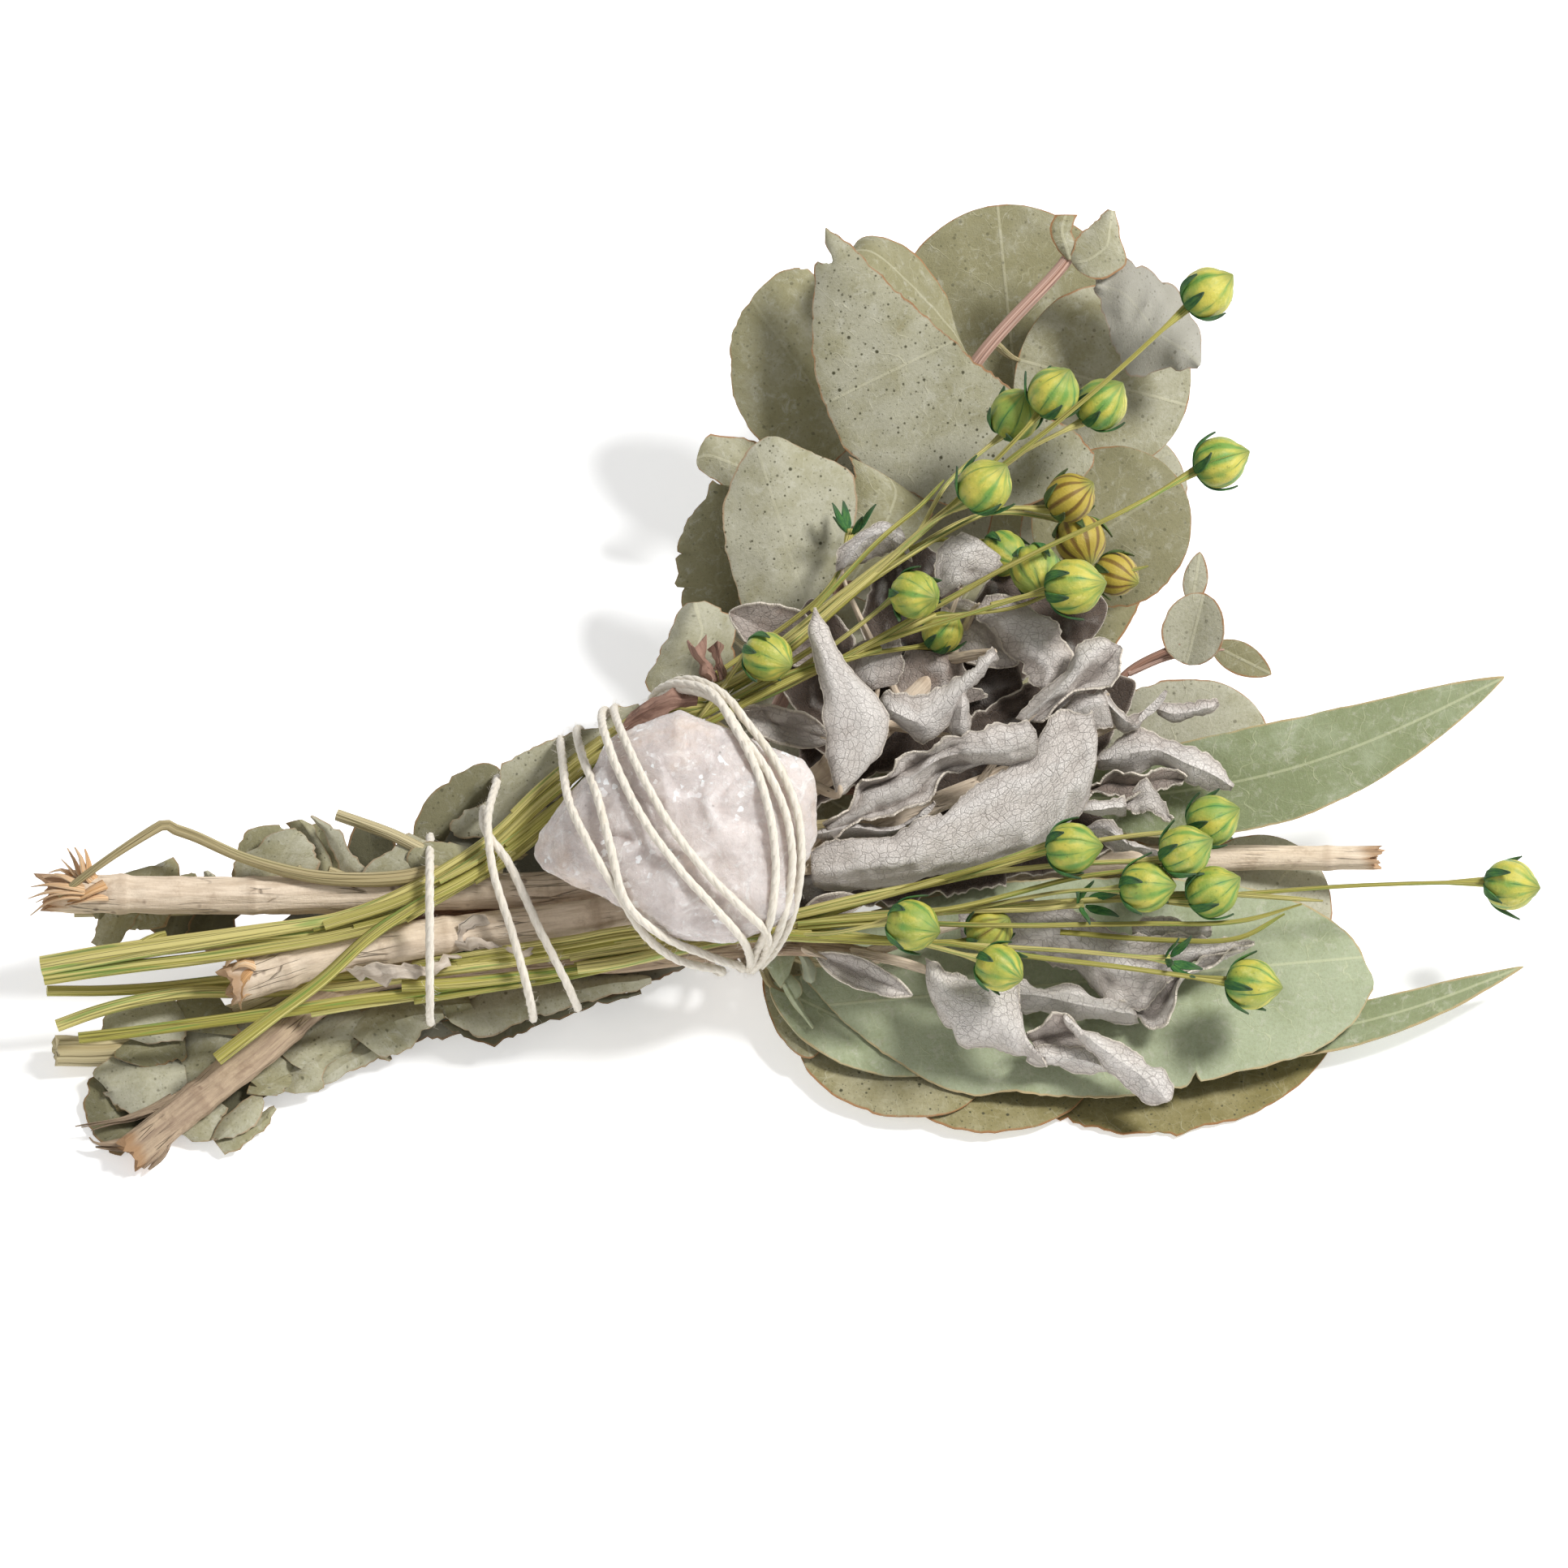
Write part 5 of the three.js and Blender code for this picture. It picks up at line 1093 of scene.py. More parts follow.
stringTurns = [
  [(-51.3, 43.5, -1), (-51.3, 40, 6.5), (-51.3, 34, 10.4), (-51.3, 26, 8.4), (-51.3, 20, 7),
   (-51.3, 16.9, 1)],
  [(-41.5, 51.8, -4), (-42.9, 45.4, 7.2), (-42, 38, 9.6), (-39.5, 30, 8.4), (-37.3, 22, 7.4),
   (-36.4, 17.6, 1)],
  [(-43.5, 47.5, -3), (-43.1, 44, 6.6), (-40.1, 40, 9), (-35.4, 30, 8.4), (-31.8, 22.9, 7.6),
   (-30.1, 19.1, 1)],
  [(-32.4, 57.4, -3), (-32.1, 54.8, 5.5), (-30.9, 48, 15.2), (-27.4, 40.9, 18.6), (-24, 35.3, 17),
   (-20.1, 29.2, 14.6), (-15.4, 25.6, 9), (-9.6, 24.2, 4)],
  [(-30, 58.8, -2), (-29.2, 55.1, 10), (-27.1, 49.6, 16.6), (-25.2, 42.4, 20), (-22.8, 33.9, 17.8),
   (-18.1, 29.4, 15), (-11.8, 26.5, 9), (-6.4, 24.7, 3)],
  [(-26.2, 61.6, -2), (-25.9, 58.2, 14.8), (-23.8, 52.6, 18.4), (-20.1, 45.6, 20.8), (-14.8, 38.4, 20.4),
   (-9.6, 32.7, 17), (-6, 28.5, 13.4), (-4.8, 24.9, 3)],
  [(-24.6, 62, -2), (-23.5, 58.6, 15), (-20.7, 52.6, 19.6), (-16.5, 45.2, 20.8), (-11.3, 38.4, 20.6),
   (-5.6, 32.7, 17.6), (-2.6, 29.6, 14), (-3.1, 25.6, 3)],
  [(-19.5, 62.1, -3), (-18.1, 64.7, 3), (-14.8, 65.6, 8), (-10.6, 64.4, 12), (-7.2, 59.4, 16),
   (-4, 53.2, 18.4), (-1.9, 45.9, 17.6), (-1.2, 38.8, 17.4), (-1.9, 31.8, 15.4), (-4, 26.8, 8),
   (-4.9, 24.7, 2)],
  [(-19.8, 61.2, -3), (-17.6, 63.8, 3.4), (-14.1, 64.7, 8.6), (-9.6, 63.1, 12.6), (-6.1, 58.2, 16),
   (-2.1, 52.4, 17.8), (0.5, 45.9, 17.4), (1.2, 38.8, 17), (-0.2, 31.2, 13), (-2.8, 26.1, 6),
   (-4.2, 24.5, 2)],
  [(-19.1, 63.1, -3), (-16.7, 65.5, 3), (-12.9, 66.1, 8), (-8.7, 64, 12), (-5.2, 59.8, 15),
   (-0.7, 53.5, 16.6), (1.9, 47.1, 16.4), (2.5, 40, 16), (1.2, 32, 11.5), (-1.4, 26.8, 5), (-3.3, 24.7, 2)],
]

cord = dict(handleBack=-14.5, neckBack=-18.5, neckFrom=-36, above=1.7, sunk=0.35, step=0.5, pitch=6.5,
            offset=0.17, ply=0.5)


def crossing(u, v):
    return u[0] * v[1] - u[1] * v[0]


def stoneFront(x, y):  # how far out the stone's front is at a place, or -1 beside it
    middle = np.array(quartz["middle"])
    ray = np.array([x, y]) - middle
    corners = np.array(quartz["outline"]) - middle
    most = 0
    for a, b in zip(corners, np.roll(corners, -1, 0)):
        if crossing(ray, a) * crossing(ray, b) <= 0 and (ray.dot(a) > 0 or ray.dot(b) > 0):
            most = max(most, (crossing(ray, b) - crossing(ray, a)) / crossing(a, b))
    front = quartz["levels"][2:]
    if most > front[0][1]:
        return -1
    for (lowZ, lowSize), (highZ, highSize) in zip(front, front[1:]):
        if most > highSize:
            return lowZ + (highZ - lowZ) * (lowSize - most) / (lowSize - highSize)
    return front[-1][0]


def stringRoute():
    route = []
    for turn, following in zip(stringTurns, stringTurns[1:] + [None]):
        route += [np.array(p, float) for p in turn]
        if following is None:
            break
        start, end = np.array(turn[-1], float), np.array(following[0], float)
        for way in (0.06, 0.5, 0.94):  # behind the bunch: round its edge, across, and round its other edge
            spot = start + way * (end - start)
            behind = cord["neckBack"] if spot[0] > cord["neckFrom"] else cord["handleBack"]
            spot[2] = behind if 0.2 < way < 0.8 else behind * 0.62
            spot[1] += -1 if way < 0.2 else 1 if way > 0.8 else 0
            route.append(spot)
    for spot in route:
        front = stoneFront(spot[0], spot[1])
        if front > 0 and spot[2] > 0:
            spot[2] = max(spot[2], front + cord["above"])
    return np.array(route)


def buildString():
    path = smoothPath(stringRoute(), cord["step"])[0]
    front = np.array([stoneFront(x, y) for x, y in path[:, :2]])
    onStone = (path[:, 2] > 0) & (front > 0)
    path[:, 2] = np.where(onStone, np.maximum(path[:, 2], front + cord["above"] - cord["sunk"]), path[:, 2])
    holder = curvesObject("stringPath", [(path, np.ones(len(path)))])
    mesh = grownMesh("cottonString", holder, twistedCord, Pitch=cord["pitch"] / 1000,
                     Offset=cord["offset"] / 1000, Ply=cord["ply"] / 1000, Seed=3, Material=finish["cotton"])
    return addPiece("cottonString", mesh, "cotton_string")


# rose quartz

stoneCut = dict(chips=80, chipDepth=1.4, chipReach=1.4, seed=5, longestEdge=0.62, sharpFrom=42,
                grain=((7.0, 0.32), (2.8, 0.16), (1.2, 0.12)))


def buildQuartz():
    middle = np.array(quartz["middle"])
    rng = np.random.default_rng(stoneCut["seed"])
    body = bmesh.new()
    rings = []
    for level, (z, size) in enumerate(quartz["levels"]):
        ring = []
        for k, corner in enumerate(quartz["outline"]):
            out = (np.array(corner) - middle) * size * (1.0 if level < 4 else 1.06)
            rise = 0 if level < 2 else 0.4 + 0.8 * math.sin(1.9 * k + level)
            ring.append(body.verts.new((middle[0] + out[0], middle[1] + out[1], z + rise)))
        rings.append(ring)
    body.faces.new(rings[0][::-1])
    body.faces.new(rings[-1])
    for low, high in zip(rings, rings[1:]):
        for k in range(len(low)):
            n = (k + 1) % len(low)
            body.faces.new((low[k], low[n], high[n], high[k]))
    bmesh.ops.recalc_face_normals(body, faces=body.faces)
    bmesh.ops.triangulate(body, faces=body.faces)
    for _ in range(stoneCut["chips"]):  # flat breaks: slices off the outside
        body.faces.ensure_lookup_table()
        face = body.faces[int(rng.integers(len(body.faces)))]
        normal = np.array(face.normal) + rng.normal(0, 0.25, 3)
        normal[2] = max(normal[2], -0.5)
        normal = normal / np.linalg.norm(normal)
        farthest = max(np.array(v.co).dot(normal) for v in body.verts)
        near = np.array(face.calc_center_median()).dot(normal)
        if farthest - near > stoneCut["chipReach"]:
            continue
        plane = normal * (farthest - rng.uniform(0.15, 1) ** 2 * stoneCut["chipDepth"] * 0.8)
        cut = bmesh.ops.bisect_plane(body, geom=body.verts[:] + body.edges[:] + body.faces[:], dist=1e-5,
                                     plane_co=plane, plane_no=normal, clear_outer=True)
        rim = [e for e in cut["geom_cut"] if isinstance(e, bmesh.types.BMEdge)]
        bmesh.ops.holes_fill(body, edges=rim, sides=0)
        bmesh.ops.triangulate(body, faces=[f for f in body.faces if len(f.verts) > 4])
    bmesh.ops.recalc_face_normals(body, faces=body.faces)
    bmesh.ops.triangulate(body, faces=body.faces)
    for _ in range(5):
        long = [e for e in body.edges if e.calc_length() > stoneCut["longestEdge"]]
        if not long:
            break
        bmesh.ops.subdivide_edges(body, edges=long, cuts=1)
        bmesh.ops.triangulate(body, faces=body.faces)
    for _ in range(2):
        bmesh.ops.smooth_vert(body, verts=body.verts[:], factor=0.5, use_axis_x=True, use_axis_y=True,
                              use_axis_z=True)
    body.normal_update()
    spots = np.array([v.co for v in body.verts])
    normals = np.array([v.normal for v in body.verts])
    grain = sum(depth * (0.6 * ridgeNoise(3 + k, size, *spots.T) + 0.5 * softNoise(13 + k, size, *spots.T))
                for k, (size, depth) in enumerate(stoneCut["grain"]))
    spots = spots + normals * (grain + 0.12)[:, None]
    for v, spot in zip(body.verts, onTable(spots)):
        v.co = spot
    mesh = bpy.data.meshes.new("roseQuartz")
    body.to_mesh(mesh)
    body.free()
    mesh.materials.append(finish["quartz"])
    mesh.polygons.foreach_set("use_smooth", [True] * len(mesh.polygons))
    mesh.set_sharp_from_angle(angle=math.radians(stoneCut["sharpFrom"]))
    return addPiece("roseQuartz", mesh, "rose_quartz")


# white sage

sageUpper = dict(
  stems=[
    dict(points=[(-106.6, 35.3, 1), (-90.1, 34.9, 1.6), (-66.6, 34.9, 1.6), (-47.8, 35.5, 1.2),
          (-29, 36.4, -1.4), (-10, 42.5, -1.4), (5, 52, -3.4), (18, 63, -6), (27, 74, -9)],
         radii=[2.9, 2.7, 2.6, 2.5, 2.2, 1.8, 1.2]),
  ],
  leaves=[
    dict(lines=[
      [(7.5, 49.9, 5.4), (6.6, 52.9, 6.3), (6, 58.8, 7.3), (5.4, 64.7, 7.8), (4.4, 69.4, 8),
       (3.9, 72.9, 8.3), (4.2, 75.1, 8.4), (4.4, 76.6, 8.6)],
      [(7.9, 49.8, 5.8), (8.2, 53.5, 7.3), (8, 58.8, 8.9), (7.2, 64.7, 9.5), (5.9, 69.4, 9.7),
       (4.6, 72.9, 9.3), (4.4, 75.1, 8.9), (4.4, 76.6, 8.8)],
      [(8.4, 49.6, 5.8), (11.1, 52.9, 6.9), (12.5, 57.1, 7.9), (12.5, 60.9, 9), (11.5, 63.5, 9.2),
       (10.1, 65.5, 9.4), (7.8, 68.5, 9.6), (5.8, 72.6, 9.2), (4.8, 75, 8.9), (4.5, 76.6, 8.8)],
      [(8.7, 49.6, 5), (12.2, 52.8, 5.1), (13.8, 56.5, 5.3), (14.4, 60.6, 5.4), (13.4, 62.9, 6.1),
       (11.6, 65.3, 6.7), (9.3, 68.2, 7.4), (6.2, 72.4, 8), (5, 75, 8.3), (4.5, 76.6, 8.6)],
    ], tone=-0.6, start=(3.6, 51.2, -2.6), petiole=0.8, look=dict(nibble=0.25, ruffle=0.5, wrinkle=0.3)),
    dict(lines=[
      [(31.1, 69.2, 0.6), (28.1, 65.9, 0.9), (25.2, 62.6, 1.1), (22.8, 59.4, 1.3), (20.5, 57.8, 1.5),
       (17.5, 59.6, 1.7), (14.8, 62, 2.2), (13.9, 62.9, 2.6)],
      [(30.7, 70.2, 2.4), (27.5, 67.1, 3.4), (24.2, 63.9, 4.5), (21.6, 61.4, 4.9), (19.3, 60.2, 4.9),
       (16.9, 61.3, 4.7), (14.8, 62.5, 3.9), (13.9, 63.2, 3)],
      [(30.1, 71.1, 1.6), (26.9, 68.2, 2), (23.8, 65.2, 2.5), (21.1, 64.1, 2.8), (18.7, 63.8, 3.2),
       (16.4, 63.8, 3.3), (14.6, 63.5, 2.9), (13.9, 63.3, 2.6)],
    ], start=(23, 69, -7.6), petiole=0.9, tone=-0.3),
    dict(lines=[
      [(24.7, 58.1, 0), (23.8, 60.6, 1.1), (24, 62.6, 1.7), (25.2, 64.1, 2)],
      [(25.8, 58.1, 1.4), (25.6, 60.6, 3.1), (25.8, 62.6, 3.7), (25.9, 64.4, 3)],
      [(26.8, 58.4, 0), (27.4, 60.5, 0.7), (27.3, 62.6, 1.3), (26.6, 64, 2)],
    ], start=(14, 59.6, -5), tone=0.1),
    dict(lines=[
      [(29.3, 78.2, -4), (34, 77.4, -3.7), (39.3, 74.7, -3.3), (40.2, 71.8, -3), (41.4, 68.8, -2.8),
       (39.3, 66.1, -2.6), (37.5, 64.7, -2.4)],
      [(28.5, 77.1, -3), (31.6, 74.7, -2.3), (34.8, 72, -1.7), (36.9, 69.6, -1), (38.1, 67.6, -1.2),
       (38.1, 66.1, -1.4), (37.4, 64.7, -1.6)],
      [(27.5, 75.9, -4), (29.9, 72.9, -3.5), (32.2, 70.6, -3.1), (34, 68.8, -2.6), (35.2, 67.1, -2.5),
       (36.4, 65.6, -2.5), (37.3, 64.7, -2.4)],
    ], start=(25.6, 72.4, -8.6), tone=0.35),
    dict(lines=[
      [(15.5, 62.6, -7), (16.4, 67.1, -6.3), (16.9, 70, -6), (17.2, 70.8, -6)],
      [(21.6, 61.4, -7), (21.6, 65.9, -5.4), (21.6, 69.2, -4.7), (21.6, 70.2, -5)],
      [(28.9, 63.5, -7.6), (27.5, 66.5, -6.5), (26.6, 68.5, -6), (26.1, 69.2, -6)],
    ], tone=0.9),
    dict(lines=[
      [(11.1, 64.7, -4), (9.4, 67.1, -3.3), (10.1, 70, -3.3), (12.8, 71.8, -4)],
      [(13.4, 64.9, -3), (12.5, 67.1, -1.7), (13.2, 69.6, -1.7), (14.8, 72.4, -3)],
      [(16.4, 65.6, -4), (17.2, 68.2, -4), (16.9, 70.6, -4.2), (16.2, 73.2, -4.6)],
    ], start=(12, 58.4, -4.6), tone=0.45),
    dict(lines=[
      [(7.5, 81.8, -7), (8.2, 84.9, -6), (10.6, 87.6, -5), (14, 89.1, -5.3), (16.9, 88, -5.6)],
      [(8.7, 82.4, -5), (10.6, 85.3, -3.7), (12.9, 87.1, -2.4), (15.5, 87.5, -3.2), (17.6, 86.6, -4)],
      [(9.3, 83.3, -8), (11.8, 84, -7.5), (14.6, 84.7, -7), (17.2, 84.7, -7.5), (18.7, 83.5, -8)],
    ], start=(17, 62.6, -6), tone=-0.35),
    dict(lines=[
      [(22.6, 78.1, -6), (21.4, 81.8, -4.9), (22.8, 84.9, -4.6), (26.1, 87.4, -5)],
      [(25.2, 79.8, -4), (24.9, 82.6, -2.7), (26.4, 84.7, -2.3), (28.2, 86.6, -3)],
      [(29.3, 80.9, -5), (30.1, 81.8, -4.1), (31.3, 82.6, -3.9), (30.8, 84.5, -4.6)],
    ], start=(21, 67, -6.8), tone=-0.2),
    dict(base=(23, 77, -8), tip=(34, 68.4, -6), width=9, outline="sage", start=(26, 73, -8.8), foldLeft=30),
    dict(base=(6, 70, -9), tip=(-8, 76, -8), width=9, outline="sage", start=(11, 57.6, -4.6), foldLeft=30,
         foldRight=20, arch=20),
    dict(base=(7, 57.4, -2), tip=(-7.2, 61.6, -2), width=6.5, outline="sage", start=(4, 51.4, -3.2),
         foldLeft=30, foldRight=30),
    # these four lie behind the others as dark sheets: their high tone paints the shade in the gaps
    dict(base=(26, 72.6, -9.4), tip=(47, 77, -18), width=17, outline="sage", tone=1.6),
    dict(base=(18, 63.6, -7.4), tip=(20, 86, -17), width=16, outline="sage", tone=1.8),
    dict(base=(8, 54.6, -5), tip=(4, 78, -14), width=12, outline="sage", tone=1.6),
    dict(lines=[
      [(2.2, 45.9, -8.4), (11.1, 51.2, -8.9), (21.6, 55.9, -9.5), (35.2, 60.6, -10)],
      [(2.2, 52.4, -8), (11.1, 58.2, -8.3), (21.6, 62.4, -8.7), (34.6, 65.9, -9)],
      [(2.2, 58.8, -9), (11.1, 64.5, -9.7), (21.6, 68.8, -10.3), (33.4, 71.2, -11)],
    ], tone=2.1),
  ],
)

sageLower = dict(
  stems=[
    dict(points=[(-80.1, 21.8, 3.4), (-66.6, 26.2, 3), (-51.3, 28.9, 2.6), (-30, 31.6, 2.6),
          (-12, 34.8, 0.6), (4, 41, -2.4), (20, 47.4, -4.4), (38, 55, -6)],
         radii=[3, 2.9, 2.6, 2.2, 2, 1.6, 1]),
  ],
  leaves=[
    dict(lines=[
      [(4, 41.2, 0.8), (9.9, 42.8, 2.2), (15.8, 43.2, 3.6), (19.1, 45.9, 4.7), (23.4, 47.1, 5.1),
       (27.5, 50.8, 4.3), (31.6, 52.9, 3.9), (35.5, 55.5, 3.6), (38.4, 60.2, 3.3), (44.6, 61.9, 3)],
      [(4, 39.8, 2.6), (11.1, 41.4, 4.7), (17.2, 41.9, 6.2), (21.6, 44.5, 6.9), (27.5, 48, 6.7),
       (33.4, 50.8, 6.3), (39.3, 53.5, 5.7), (42.6, 55.5, 4.9), (45.4, 58.2, 4)],
      [(4, 38.2, 3.4), (11.1, 39.1, 5.7), (18.1, 40, 6.8), (25.2, 42.1, 6.9), (32.2, 44.9, 6.5),
       (38.1, 48.2, 5.8), (42.4, 51.5, 5), (45.2, 54.7, 4)],
      [(4.2, 36.9, 2.4), (11.1, 37.4, 3.8), (18.1, 38.4, 4.7), (25.2, 39.8, 4.9), (32.2, 41.8, 4.7),
       (37.9, 44.5, 4.3), (42.2, 48.2, 3.7), (44.6, 51.8, 3)],
      [(4.5, 36.4, -0.4), (11.1, 36.6, 0.3), (18.1, 37.4, 0.8), (25.2, 38.6, 1), (32.2, 40.2, 1),
       (38.1, 42.6, 1.2), (41.9, 46.1, 1.5), (44.2, 48.8, 1.6)],
    ], start=(-2, 38.8, -1.2), tone=-0.75),
    dict(lines=[
      [(5.4, 45.6, 2), (9.4, 48.8, 2.9), (10.6, 51.8, 3.7), (14, 52.9, 4.3), (17.5, 54.7, 5),
       (20.5, 56.7, 6), (23.4, 57.9, 7.1), (27.5, 58.8, 8.2), (32.2, 59.8, 8.2), (35.5, 60.1, 8)],
      [(5.9, 44.9, 0), (9.9, 47.8, 0.3), (11.8, 50.4, 0.7), (14.8, 51.5, 1.3), (18.1, 53.3, 2.1),
       (21.2, 55.2, 3.5), (24.2, 56.7, 5.7), (28.1, 57.6, 8.4), (32.8, 58.2, 8.8), (36.5, 58.8, 8.6)],
      [(6.4, 44.5, 2.4), (10.6, 46.8, 3.5), (13.4, 48.8, 4.5), (16.7, 50.4, 5.2), (19.5, 52.7, 5.7),
       (22.1, 54.6, 5.9), (25.2, 55.5, 6.9), (28.9, 56, 8.3), (33.2, 55.9, 8.3), (36.8, 57.2, 8)],
      [(6.8, 43.8, 0), (11.1, 45.9, 0.2), (14.4, 47.3, 0.4), (17.4, 48.8, 0.7), (20.7, 51.4, 0.9),
       (22.8, 52.9, 1.3), (26.4, 53.9, 2.8), (29.5, 54.4, 5.1), (33.1, 54, 5.8), (36.7, 55.6, 6)],
      [(7.3, 43.1, 2), (11.8, 44.9, 2.9), (15.3, 45.9, 3.6), (18.4, 47.1, 3.9), (21.9, 49.9, 3.8),
       (23.8, 52, 3.2), (26.9, 52.9, 2.7), (30.1, 53.4, 2.1), (33.4, 53.4, 2.4), (35.9, 54.6, 3)],
    ], start=(2, 40.2, -2), tone=-0.3),
    dict(lines=[
      [(4.5, 44.2, 0), (9.9, 45.4, 0.5), (14.6, 44.9, 1), (18.1, 46.1, 0.8), (21.6, 48.8, 0.6)],
      [(4.6, 43.8, 2.4), (9.9, 44.8, 3.2), (14.4, 44.2, 4), (17.9, 45.2, 3.2), (21.9, 48.2, 2.4)],
      [(4.7, 43.1, 0), (9.9, 43.8, 0.5), (14.1, 43.5, 1), (17.2, 44.2, 0.7), (21.4, 47.5, 0.4)],
    ], start=(3.6, 41, -2), tone=0.1),
    dict(lines=[
      [(33.4, 60.6, 0), (36.9, 64.1, 0.4), (40.5, 67.3, 0.8), (42.2, 70.2, 1.1), (44.6, 71.4, 1.2),
       (46.6, 72.1, 1.4)],
      [(34.6, 60.2, 3), (38.4, 63.3, 3.6), (41.9, 66.1, 4.1), (43.3, 68.7, 3.9), (44.9, 70.4, 3),
       (47.5, 71.6, 2)],
      [(35.8, 60.1, 0.4), (39.8, 62.8, 0.2), (43.5, 65.6, 0.1), (45.4, 67.5, 0.1), (47.3, 69.3, 0.4),
       (48.8, 71.1, 0.6)],
      [(37.5, 60, 2.6), (40.7, 62.9, 2.9), (44.6, 64.7, 3.2), (47.3, 65.2, 3.1), (49.2, 67.6, 2.6),
       (49.6, 70.2, 2)],
    ], start=(28, 50.8, -5), tone=-0.35),
    dict(lines=[
      [(38.1, 59.8, -1), (41.1, 62.6, 0.1), (43.8, 64.5, 0.7), (46.1, 64.7, 1)],
      [(39.3, 59.6, 1.6), (42.2, 61.4, 2.5), (44.9, 62.8, 2.7), (46.8, 63.3, 2)],
      [(41.4, 59.8, -1), (44, 60, -0.7), (45.9, 59.6, -0.7), (47.8, 59.3, -1)],
    ], tone=-0.15),
    dict(lines=[
      [(45.4, 63.3, -4), (47.8, 60, -3.6), (50.4, 58.7, -3.2), (52.7, 60.2, -3), (55.1, 62.1, -3),
       (55.8, 64.5, -3)],
      [(46.1, 64, -1.6), (48.2, 61.2, -1.2), (50.4, 59.6, -0.8), (52.5, 61.2, -0.7), (54.4, 63.1, -0.8),
       (55.5, 64.6, -1)],
      [(46.6, 64.7, -4), (48, 62.6, -3.6), (50, 60.5, -3.2), (51.8, 61.9, -3), (53.4, 63.8, -3),
       (55.1, 64.8, -3)],
    ], start=(32, 52.6, -5.4), tone=0.2),
    dict(lines=[
      [(53.9, 62.8, -6), (56.4, 62.1, -5.3), (59.3, 62.6, -5), (62.8, 63.3, -5)],
      [(54.1, 61.9, -4.4), (56.6, 61.2, -3.5), (59.5, 61.6, -3.5), (62.9, 63.1, -4.4)],
      [(54.4, 61.2, -6), (56.7, 60.1, -5.6), (59.8, 60.6, -5.5), (63.1, 62.7, -5.6)],
    ], start=(36, 54.2, -5.9), tone=0.1),
    dict(lines=[
      [(45.8, 55.1, -5), (49.3, 58.1, -4.6), (54.6, 57.9, -4.2), (59.3, 56, -4.1), (62.8, 53.6, -4.4),
       (65.2, 51.1, -4.6)],
      [(45.5, 54.4, -4), (49.3, 55.3, -3), (54, 55.9, -1.9), (58.4, 54.1, -1.7), (62.2, 52.4, -2.4),
       (65.2, 50.7, -3)],
      [(45.4, 53.4, -6), (49.3, 52.6, -5.6), (53.4, 53.4, -5.2), (57.5, 52, -5), (61.6, 50.8, -5),
       (64.9, 50.2, -5)],
    ], start=(37, 54.6, -5.9), tone=-0.45),
    dict(lines=[
      [(43.8, 51.2, -4), (47.5, 52.7, -3), (51.1, 52.9, -2), (54.8, 53.3, -2.5), (58.4, 52, -3)],
      [(43.8, 50, -5.6), (47.3, 51.2, -4.8), (50.8, 51.1, -4), (54.4, 51.8, -4.3), (58.1, 51.8, -4.6)],
      [(43.5, 48.5, -4), (47.3, 49.6, -3.5), (50.5, 48.9, -3), (53.4, 50.4, -3.3), (57.8, 51.3, -3.6)],
    ], start=(30, 51.6, -5.4), tone=1.3),
    dict(lines=[
      [(40.7, 47.5, -0.6), (44.9, 48.8, 1.4), (49.4, 49.3, 1)],
      [(40.9, 46.9, 0.6), (45.2, 47.5, 3), (49.6, 47.9, 2)],
      [(41.2, 46.6, -1.6), (45.2, 46.5, -0.6), (49.6, 46.4, -1)],
    ], start=(34, 53.2, -5.6), tone=-0.55),
    dict(lines=[
      [(49.3, 48.8, -3), (51.1, 50.8, -2.3), (52.9, 51.6, -1.6), (54.8, 49.6, -2.3), (56.5, 46.1, -3)],
      [(49.4, 48.2, -4), (51.1, 48.8, -3.5), (52.8, 49.1, -3), (54.6, 47.8, -3.3), (56.2, 45.9, -3.6)],
      [(49.4, 47.5, -3), (50.8, 46.8, -2.5), (52.4, 46.9, -2), (54.1, 46.4, -2.5), (55.9, 45.6, -3)],
    ], tone=-0.2),
    dict(lines=[
      [(42.4, 44.5, -5), (46.8, 45.9, -4.5), (50.6, 43.5, -4), (53.4, 42.1, -4.3), (54.9, 40.9, -4.6)],
      [(42.6, 43.8, -3.6), (46.6, 44.5, -2.8), (49.9, 42.4, -2), (52.7, 41.4, -2.8), (54.8, 40.7, -3.6)],
      [(43.1, 42.8, -6), (46.1, 42.8, -5.7), (48.9, 41.2, -5.4), (52, 40.5, -5.5), (54.6, 40.2, -5.6)],
    ], start=(30, 51.4, -5.6), tone=-0.35),
    dict(lines=[
      [(-63.1, 24, 4.6), (-58.4, 25.4, 5.7), (-52.5, 24.8, 5.9), (-47.1, 26.2, 5.4)],
      [(-61.6, 22.8, 4.2), (-56.9, 23.2, 5.1), (-51.1, 23.9, 5.4), (-46.1, 25.2, 5)],
    ], kind="bark", tone=0.2, bulge=0.5),
    dict(lines=[
      [(-46.4, 26.8, 5), (-47.5, 29.2, 5.8), (-45.4, 31.2, 6), (-43.4, 32.2, 5.6)],
      [(-44.7, 27.1, 4.8), (-46.2, 28.8, 5.3), (-44.5, 30.2, 5.5), (-42.8, 31.3, 5.4)],
    ], kind="bark", tone=0.2, bulge=0.4),
    dict(lines=[
      [(-47.8, 28.2, 5), (-43.1, 28.6, 5.7), (-37.2, 27.3, 5.8), (-31.3, 27.5, 5.4)],
      [(-46.8, 27.1, 4.4), (-42.8, 27.5, 5.2), (-37.2, 26.2, 5.3), (-31.1, 26.7, 4.8)],
    ], kind="bark", tone=0.2, bulge=0.4),
    # these three lie behind the others as dark sheets: their high tone paints the shade in the gaps
    dict(base=(22, 48.6, -5.4), tip=(51, 66, -12), width=16, outline="sage", tone=1.8),
    dict(base=(12, 43.8, -4.2), tip=(50, 44, -11), width=14, outline="sage", foldLeft=-20, tone=1.8),
